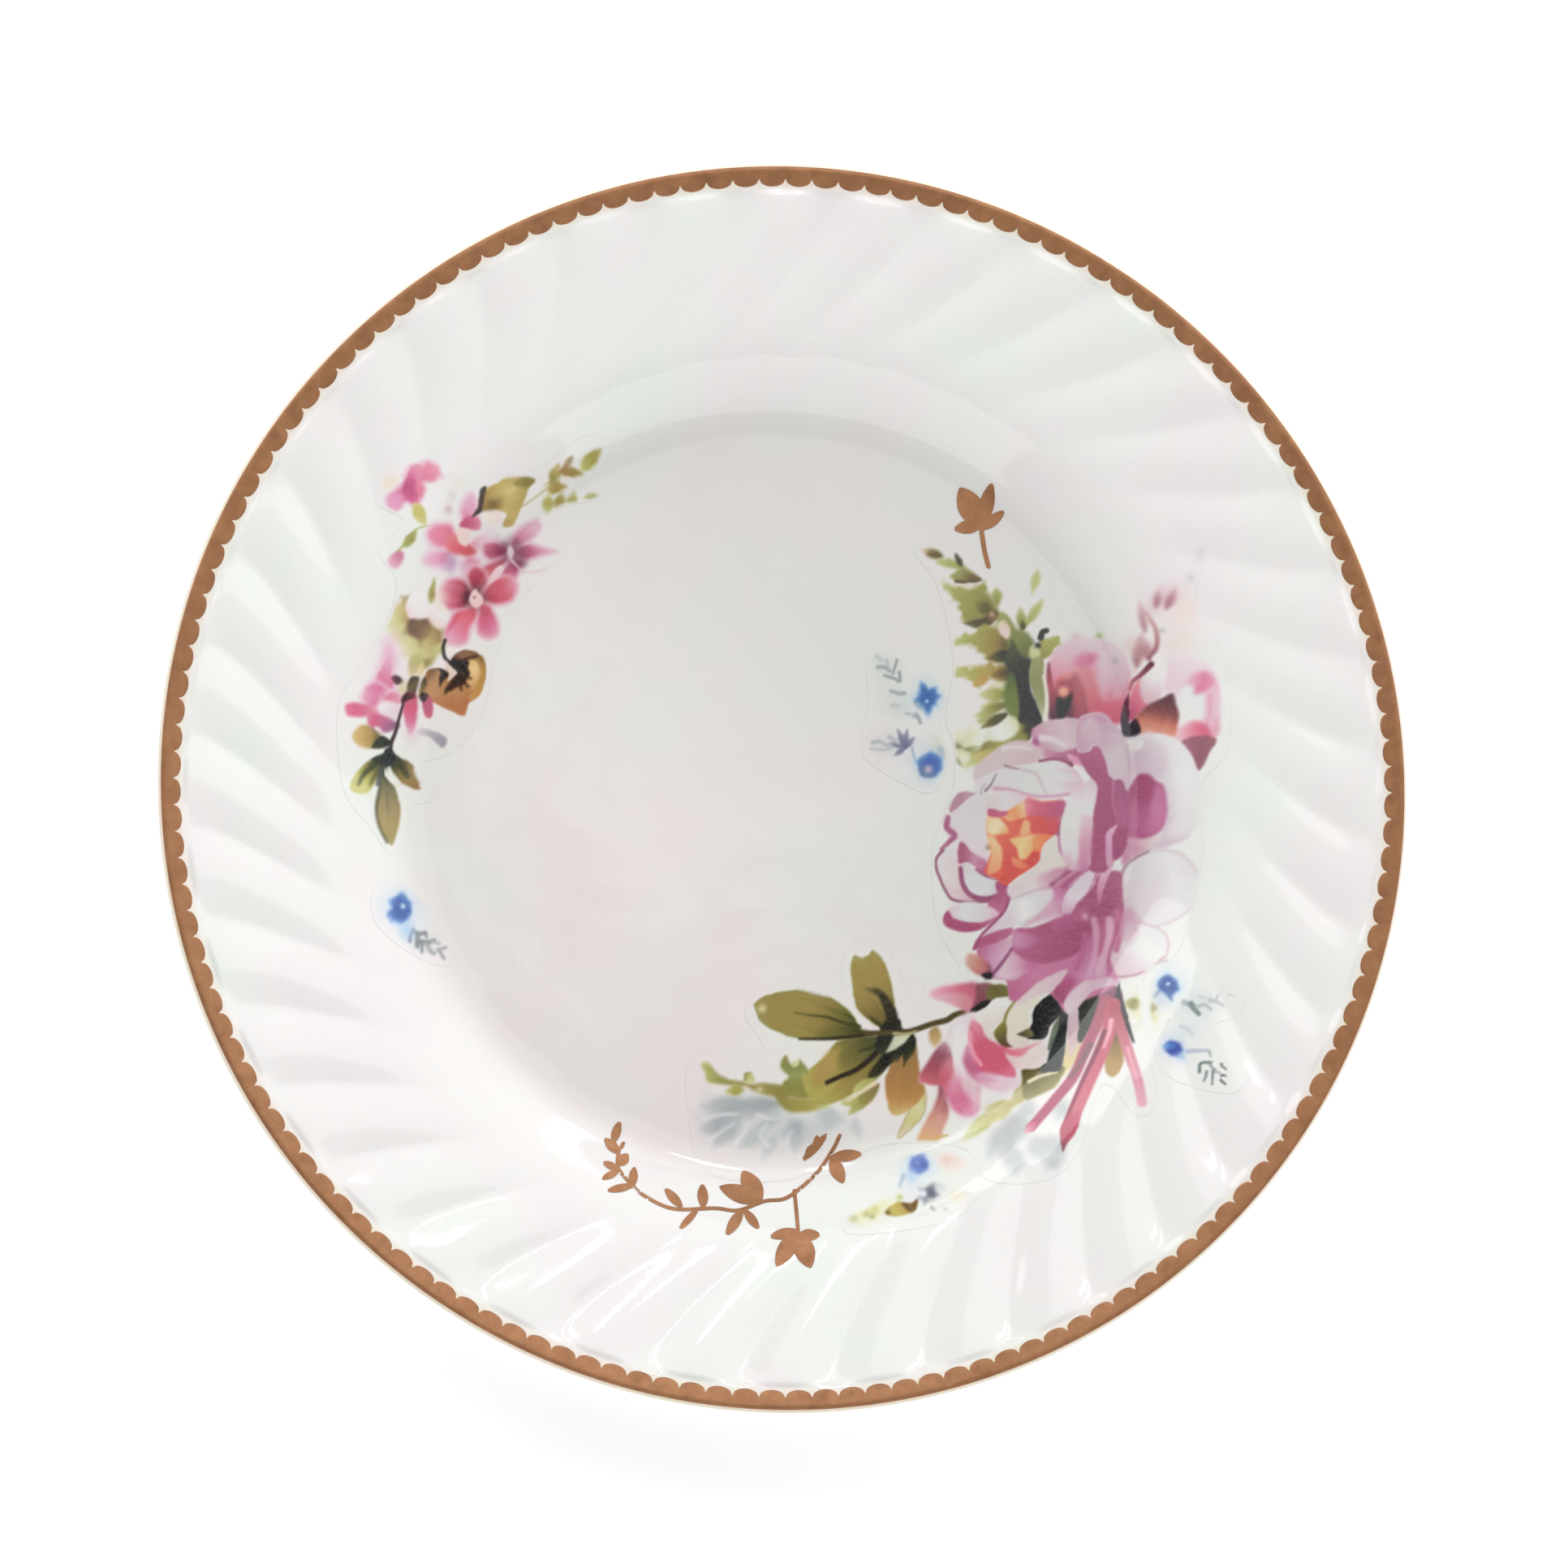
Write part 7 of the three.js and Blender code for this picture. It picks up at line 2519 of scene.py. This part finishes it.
# Each sheet's CAD node, outline, inks, slot, painting, and the heights on the face between which it lies.
SHEETS = {
    "peony_spray_upper": (
        "peony_spray_transfer", SPRAY_OUTLINE, "peony_inks", "peony_print", PEONY_SPRAY, (2, 60),
    ),
    "peony_spray_middle": (
        "peony_spray_transfer", SPRAY_OUTLINE, "peony_inks", "peony_print", PEONY_SPRAY, (-40, 2),
    ),
    "peony_spray_lower": (
        "peony_spray_transfer", SPRAY_OUTLINE, "peony_inks", "peony_print", PEONY_SPRAY, (-90, -40),
    ),
    "pink_spray": (
        "pink_spray_transfer", PINK_OUTLINE, "pink_inks", "pink_print", PINK_SPRAY, (-20, 80),
    ),
    "left_blue_sprig": (
        "left_blue_sprig_transfer",
        ((-88, -23), (-83, -19), (-77, -23), (-70, -33), (-71, -38), (-79, -36), (-87, -30)),
        "blue_inks", "blue_print", (left_blue,), (-50, 0),
    ),
    "well_blue_sprig": (
        "well_blue_sprig_transfer",
        (
            (20, 31), (27, 31), (34, 27.5), (37.5, 22), (35.5, 15), (37.5, 8), (34, 1), (28, 2.5),
            (19, 9), (20, 20),
        ),
        "blue_inks", "blue_print", (well_blue,), (0, 40),
    ),
    "right_blue_sprig": (
        "right_blue_sprig_transfer",
        (
            (80.8, -38.6), (86, -35.6), (99, -42), (99, -48), (93, -51), (100, -59), (98, -65),
            (90, -64), (82.4, -60), (80, -49),
        ),
        "blue_inks", "blue_print", (right_blue,), (-70, 0),
    ),
    "lower_blue_sprig": (
        "lower_blue_sprig_transfer",
        ((25, -80), (31, -77), (40, -78), (43, -86), (36, -93), (16, -96), (14, -92), (23, -87)),
        "blue_inks", "blue_print", (lower_blue,), (-100, -70),
    ),
}

# ---- Gilt sprigs: stems as (points, width), leaves as (base, tip, width) --------------------------------
GILT_SPRIGS = {
    "upright_gilt_leaves": (
        "upright_gilt_sprig", (([(46.3, 50.3), (45.4, 54), (44.6, 59.5)], 1.0),),
        (
            ((45, 58.6), (40, 67.6), 5.6), ((44.8, 58.6), (47, 68.8), 3.2),
            ((45.4, 59.6), (38.6, 58.3), 3.0), ((44.7, 58.2), (49.9, 62.6), 2.4),
        ),
    ),
    "flying_gilt_leaf": (
        "flying_gilt_leaflet", (),
        (
            ((5.4, -79.7), (11.3, -73.2), 1.9), ((6.4, -78.6), (7.9, -75.7), 1.4),
            ((8.4, -77), (9, -73.6), 1.4),
        ),
    ),
    "gilt_branch_leaves": (
        "gilt_branch",
        (
            (
                [
                    (-34.3, -77.5), (-34.7, -81.5), (-32.3, -85), (-29, -88), (-23, -90.6),
                    (-14, -90.3), (-9, -90.7), (-3, -88.5), (2, -87.6), (8.5, -82.2), (12.2, -77),
                    (13.8, -73.8),
                ],
                0.8,
            ),
            ([(3.6, -86), (3.7, -96)], 0.8),
        ),
        (
            ((-34, -78.5), (-37.4, -74.9), 2.4), ((-35.6, -76.4), (-33.8, -70.9), 2),
            ((-34.4, -78.2), (-32.7, -75.1), 0.9), ((-34.7, -81.2), (-32.2, -78.3), 2.4),
            ((-34.4, -82), (-38.2, -80.4), 1.8), ((-34.4, -82.2), (-38.6, -84.4), 1.6),
            ((-32, -86.2), (-31, -81.1), 2), ((-31.1, -85.4), (-37.8, -87), 1.8),
            ((-21, -90.5), (-24.8, -85.8), 2.2), ((-17.4, -90.2), (-22.3, -95.5), 1.5),
            ((-16.6, -90.6), (-16.3, -84.6), 2.4), ((-3.6, -88.6), (-7.4, -81.5), 4.4),
            ((-3.4, -88.7), (-12.8, -85.3), 4.2), ((-7.8, -90.2), (-12, -96.6), 2.4),
            ((-7.8, -90.2), (-4.6, -95.1), 2.1), ((11.5, -78.6), (18.8, -77.7), 2.6),
            ((11.9, -78.2), (14.3, -84.5), 3.2), ((3.8, -95), (-2.6, -96.7), 2.4),
            ((3.4, -96.2), (8.6, -96), 2.6), ((3.6, -95.1), (-1.4, -103.3), 3.8),
            ((3.4, -95.2), (6.2, -103.5), 4.6),
        ),
    ),
}


# ---- Materials -----------------------------------------------------------------------------------------
NOISE_LOW, NOISE_HIGH = 0.3, 0.7  # the values that noise nearly always lies between
CLOUDS_PER_METRE = 32
CLOUD_TINTS = ((NOISE_LOW, (249, 243, 244)), (0.5, (248, 247, 245)), (NOISE_HIGH, (244, 249, 243)))
# painted shade in the well: its glaze is darkest towards the upper right and lightest towards the lower
# left
WELL_SHADE_TINTS = ((0.1, (226, 225, 224)), (0.9, (243, 239, 238)))
GILT_GLOW = (253, 240, 222)  # the gilt stains the glaze beside it on the face
STAIN_WIDTH = 3.2
FLECKS_PER_METRE = 900
FLECK_TINT = (252, 251, 250)
INK_GRAINS_PER_METRE = 1500
THINNEST_INK = 0.975  # how much of the light the thinnest grains of ink let through beside the others
GLAZE_ROUGHNESS = (0.04, 0.08)
GLOSS_PATCHES_PER_METRE = 45
GLAZE_IOR = 1.55
WAVES_PER_METRE, WAVE_STRENGTH, WAVE_DEPTH = 55, 0.35, 0.0004
DIMPLES_PER_METRE, DIMPLE_STRENGTH, DIMPLE_DEPTH = 700, 0.1, 0.0001
CLAY_GRAINS_PER_METRE, GRAIN_STRENGTH, GRAIN_DEPTH = 1200, 0.3, 0.0002
CLAY_TINTS = ((NOISE_LOW, (206, 198, 184)), (NOISE_HIGH, (233, 227, 215)))
CLAY_PATCHES_PER_METRE = 300
CLAY_ROUGHNESS = (0.75, 0.95)
GILT_CLOUDS_PER_METRE = 260
GILT_PATCHES_PER_METRE = 500
GILT_ROUGHNESS = (0.4, 0.52)
GILT_METALLIC = 0.45
BRUSH_MARKS_PER_METRE, BRUSH_STRENGTH, BRUSH_DEPTH = 1100, 0.25, 0.0001
GILT_DARK, GILT_LIGHT = (154, 105, 70), (178, 127, 88)
TABLE_CLOUDS_PER_METRE = 8
TABLE_TINTS = ((NOISE_LOW, (250, 250, 250)), (NOISE_HIGH, (253, 253, 253)))


def new_material(name):
    """A new node material, its node tree and its main shader."""
    made = bpy.data.materials.new(name)
    made.use_nodes = True
    return made, made.node_tree, made.node_tree.nodes["Principled BSDF"]


def node(tree, kind, inputs=(), **settings):
    """Adds a shader node, sets its options, and sets or links each of its named inputs."""
    made = tree.nodes.new("ShaderNode" + kind)
    for key, value in settings.items():
        setattr(made, key, value)
    for key, value in dict(inputs).items():
        if isinstance(value, bpy.types.NodeSocket):
            tree.links.new(value, made.inputs[key])
        else:
            made.inputs[key].default_value = value
    return made


def noise(tree, place, scale, detail=2.0, roughness=0.5):
    """Smooth noise about 0.5, with a scale in cells per metre."""
    settings = {"Vector": place, "Scale": scale, "Detail": detail, "Roughness": roughness}
    return node(tree, "TexNoise", settings).outputs["Fac"]


def ramp(tree, value, stops):
    """A colour ramp from (position, display colour) stops."""
    made = node(tree, "ValToRGB", {"Fac": value})
    elements = made.color_ramp.elements
    while len(elements) < len(stops):
        elements.new(0.5)
    for element, (position, colour) in zip(elements, stops):
        element.position = position
        element.color = (*linear(colour), 1)
    return made.outputs["Color"]


def blended(tree, kind, factor, a, b):
    """Colour a blended with b, each of them a socket or a display colour."""
    made = node(tree, "Mix", {"Factor": factor}, data_type="RGBA", blend_type=kind)
    for key, value in (("A", a), ("B", b)):
        socket = next(s for s in made.inputs if s.name == key and s.type == "RGBA")
        if isinstance(value, bpy.types.NodeSocket):
            tree.links.new(value, socket)
        else:
            socket.default_value = (*linear(value), 1)
    return next(s for s in made.outputs if s.type == "RGBA")


def ranged(tree, value, low, high, to_low, to_high):
    """A value moved smoothly from one range to another, and held at the ends."""
    settings = {"Value": value, "From Min": low, "From Max": high, "To Min": to_low, "To Max": to_high}
    return node(tree, "MapRange", settings, interpolation_type="SMOOTHSTEP").outputs["Result"]


def bumped(tree, height, strength, depth, under=None):
    """Normals for a bumpy skin whose bumps are about a depth in metres, on top of the skin under it."""
    settings = {"Height": height, "Strength": strength, "Distance": depth}
    if under is not None:
        settings["Normal"] = under
    return node(tree, "Bump", settings).outputs["Normal"]


def glazed(name, printed=False):
    """Glossy white glaze with cloudy tints, painted shade in the well, a finely dimpled skin, and ink under
    it if printed.
    """
    made, tree, shader = new_material(name)
    place = node(tree, "TexCoord").outputs["Object"]
    level = node(tree, "VectorMath", {0: place, 1: (1, 1, 0)}, operation="MULTIPLY").outputs["Vector"]
    radius = node(tree, "VectorMath", {0: level}, operation="LENGTH").outputs["Value"]
    clouds = noise(tree, place, CLOUDS_PER_METRE, 3)
    tint = ramp(tree, clouds, CLOUD_TINTS)
    # Painted shade: the glaze in the well is darkened, most towards its upper right.
    in_well = ranged(tree, radius, (FLAT_RADIUS + 1) * MM, (SHOULDER_RADIUS - 6) * MM, 1, 0)
    across = node(
        tree, "VectorMath", {0: place, 1: (-1, -1, 0)}, operation="DOT_PRODUCT",
    ).outputs["Value"]
    painted_well_shade = ramp(tree, ranged(tree, across, -FLAT_RADIUS * MM, FLAT_RADIUS * MM, 0, 1), WELL_SHADE_TINTS)
    well = blended(tree, "MULTIPLY", in_well, tint, painted_well_shade)
    stain = BAND_CUSP_RADIUS - STAIN_WIDTH
    near_gilt = ranged(tree, radius, stain * MM, BAND_CUSP_RADIUS * MM, 0, 1)
    height = node(tree, "SeparateXYZ", {"Vector": place}).outputs["Z"]
    face = float(face_height(stain))
    on_face = ranged(tree, height, (face - 1) * MM, (face - 0.3) * MM, 0, 1)
    by_gilt = node(tree, "Math", {0: near_gilt, 1: on_face}, operation="MULTIPLY").outputs["Value"]
    warmed = blended(tree, "MULTIPLY", by_gilt, well, GILT_GLOW)
    colour = blended(tree, "MULTIPLY", noise(tree, place, FLECKS_PER_METRE), warmed, FLECK_TINT)
    if printed:
        ink = node(tree, "Attribute", attribute_name="ink").outputs["Color"]
        grains = noise(tree, place, INK_GRAINS_PER_METRE)
        density = ranged(tree, grains, NOISE_LOW, NOISE_HIGH, THINNEST_INK, 1)
        colour = blended(tree, "MULTIPLY", density, colour, ink)
    tree.links.new(colour, shader.inputs["Base Color"])
    patches = noise(tree, place, GLOSS_PATCHES_PER_METRE)
    rough = ranged(tree, patches, NOISE_LOW, NOISE_HIGH, *GLAZE_ROUGHNESS)
    tree.links.new(rough, shader.inputs["Roughness"])
    waves = bumped(tree, noise(tree, place, WAVES_PER_METRE, 1), WAVE_STRENGTH, WAVE_DEPTH)
    dimples = noise(tree, place, DIMPLES_PER_METRE)
    skin = bumped(tree, dimples, DIMPLE_STRENGTH, DIMPLE_DEPTH, waves)
    tree.links.new(skin, shader.inputs["Normal"])
    shader.inputs["IOR"].default_value = GLAZE_IOR
    return made


def bisque_clay():
    """Matt warm white clay with a fine grain, bare only on the foot."""
    made, tree, shader = new_material("bisque_clay")
    place = node(tree, "TexCoord").outputs["Object"]
    grain = noise(tree, place, CLAY_GRAINS_PER_METRE, 4, 0.65)
    tree.links.new(ramp(tree, grain, CLAY_TINTS), shader.inputs["Base Color"])
    patches = noise(tree, place, CLAY_PATCHES_PER_METRE)
    rough = ranged(tree, patches, NOISE_LOW, NOISE_HIGH, *CLAY_ROUGHNESS)
    tree.links.new(rough, shader.inputs["Roughness"])
    tree.links.new(bumped(tree, grain, GRAIN_STRENGTH, GRAIN_DEPTH), shader.inputs["Normal"])
    return made


def fired_gilt(name, dark, light):
    """Burnished coppery gold, cloudy where it was brushed on unevenly."""
    made, tree, shader = new_material(name)
    place = node(tree, "TexCoord").outputs["Object"]
    clouds = noise(tree, place, GILT_CLOUDS_PER_METRE, 4, 0.6)
    tint = ramp(tree, clouds, ((NOISE_LOW, dark), (NOISE_HIGH, light)))
    tree.links.new(tint, shader.inputs["Base Color"])
    patches = noise(tree, place, GILT_PATCHES_PER_METRE, 3)
    rough = ranged(tree, patches, NOISE_LOW, NOISE_HIGH, *GILT_ROUGHNESS)
    tree.links.new(rough, shader.inputs["Roughness"])
    marks = noise(tree, place, BRUSH_MARKS_PER_METRE, 3)
    tree.links.new(bumped(tree, marks, BRUSH_STRENGTH, BRUSH_DEPTH), shader.inputs["Normal"])
    shader.inputs["Metallic"].default_value = GILT_METALLIC
    return made


glaze = glazed("cream_glaze")
prints = {name: glazed(name, printed=True) for name in ("peony_inks", "pink_inks", "blue_inks")}
clay = bisque_clay()
gilt = fired_gilt("coppery_gilt", GILT_DARK, GILT_LIGHT)


# ---- The plate -----------------------------------------------------------------------------------------
porcelain_body(clay)
glaze_coat("face_glaze_coat", outside, "face_glaze", glaze)
glaze_coat("base_glaze_coat", underside, "base_glaze", glaze)
gilt_band(gilt)
for sheet, (node_name, outline, inks, slot, paint, span) in SHEETS.items():
    laid_outline(sheet, outline, prints[inks], slot, [node_name], paint, span)
for sprig, (node_name, stems, leaves) in GILT_SPRIGS.items():
    laid_gilt(sprig, stems, leaves, gilt, node_name)


# ---- The studio ----------------------------------------------------------------------------------------
TABLE_GLOW = 0.3
TABLE_REACH = 15000  # far enough for a nearly level view to show the plate against the table
LAMP_AIM = (0, 0, 15)
LAMP_DISTANCE = 1500


def white_table():
    """The plain white table top: bright enough to read as pure white, with a faint shadow by the plate."""
    made, tree, shader = new_material("white_table")
    place = node(tree, "TexCoord").outputs["Object"]
    tone = ramp(tree, noise(tree, place, TABLE_CLOUDS_PER_METRE), TABLE_TINTS)
    tree.links.new(tone, shader.inputs["Base Color"])
    shader.inputs["Roughness"].default_value = 0.9
    shader.inputs["Specular IOR Level"].default_value = 0.1
    shader.inputs["Emission Color"].default_value = (1, 1, 1, 1)
    shader.inputs["Emission Strength"].default_value = TABLE_GLOW
    corners = [(x * TABLE_REACH, y * TABLE_REACH, 0) for x, y in ((-1, -1), (1, -1), (1, 1), (-1, 1))]
    mesh = bpy.data.meshes.new("table_top")
    mesh.from_pydata(np.array(corners) * MM, [], [(0, 1, 2, 3)])
    mesh.materials.append(made)
    table = bpy.data.objects.new("table_top", mesh)
    bpy.context.scene.collection.objects.link(table)


def aim(thing, place, target, up=Vector((0, 1, 0))):
    """Puts a light or camera at a place in millimetres, looking at a target."""
    place, target = Vector(place), Vector(target)
    back = (place - target).normalized()
    right = up.cross(back).normalized()
    turn = Matrix((right, back.cross(right), back)).transposed().to_4x4()
    thing.matrix_world = Matrix.Translation(place * MM) @ turn


def softbox(name, azimuth, zenith, width, height, brightness):
    """A rectangular lamp that faces the plate from an azimuth and an angle off the zenith, in degrees."""
    around, off = math.radians(azimuth), math.radians(zenith)
    level = math.sin(off)
    direction = Vector((level * math.cos(around), level * math.sin(around), math.cos(off)))
    lamp = bpy.data.lights.new(name, "AREA")
    lamp.shape = "RECTANGLE"
    lamp.size, lamp.size_y = width * MM, height * MM
    lamp.energy = brightness * math.pi * lamp.size * lamp.size_y
    made = bpy.data.objects.new(name, lamp)
    bpy.context.scene.collection.objects.link(made)
    made.visible_camera = False
    aim(made, direction * LAMP_DISTANCE, LAMP_AIM)


def studio_world(levels):
    """Soft light from all round, from (height of the direction, brightness) stops."""
    world = bpy.data.worlds.new("studio")
    world.use_nodes = True
    tree = world.node_tree
    direction = node(tree, "TexCoord").outputs["Generated"]
    height = node(tree, "SeparateXYZ", {"Vector": direction}).outputs["Z"]
    made = node(tree, "ValToRGB", {"Fac": height})
    elements = made.color_ramp.elements
    while len(elements) < len(levels):
        elements.new(0.5)
    for element, (position, level) in zip(elements, levels):
        element.position = position
        element.color = (level, level, level, 1)
    tree.links.new(made.outputs["Color"], tree.nodes["Background"].inputs["Color"])
    bpy.context.scene.world = world


# The sky is dark straight overhead, where the well would mirror it into the view.
SKY_LEVELS = ((0.0, 0.5), (0.7, 0.5), (0.86, 0.38), (0.97, 0.11))
studio_world(SKY_LEVELS)
softbox("key", 130, 57, 1050, 950, 2.3)
softbox("broad_bounce", 45, 50, 2400, 1500, 1.0)
softbox("front_fill", 275, 62, 2000, 900, 1.2)
softbox("window_left", 84, 33, 34, 250, 30)
softbox("window_right", 70, 33, 34, 250, 30)
softbox("low_lamp", 57, 75, 200, 110, 26)
white_table()

# The view looks down 9 degrees off the plate's axis, from the lower left, with a long lens.
VIEW_TILT, VIEW_AZIMUTH = math.radians(9), math.radians(225)
VIEW_DISTANCE = 3000
VIEW_TARGET = Vector((-0.41, 0.20, 25.40))
LENS, SENSOR = 320.69, 36
camera = bpy.data.objects.new("camera", bpy.data.cameras.new("camera"))
bpy.context.scene.collection.objects.link(camera)
camera.data.lens = LENS
camera.data.sensor_width = SENSOR
side = math.sin(VIEW_TILT)
toward = Vector((side * math.cos(VIEW_AZIMUTH), side * math.sin(VIEW_AZIMUTH), math.cos(VIEW_TILT)))
aim(camera, VIEW_TARGET + VIEW_DISTANCE * toward, VIEW_TARGET)
bpy.context.scene.camera = camera
bpy.context.scene.view_settings.view_transform = "Standard"
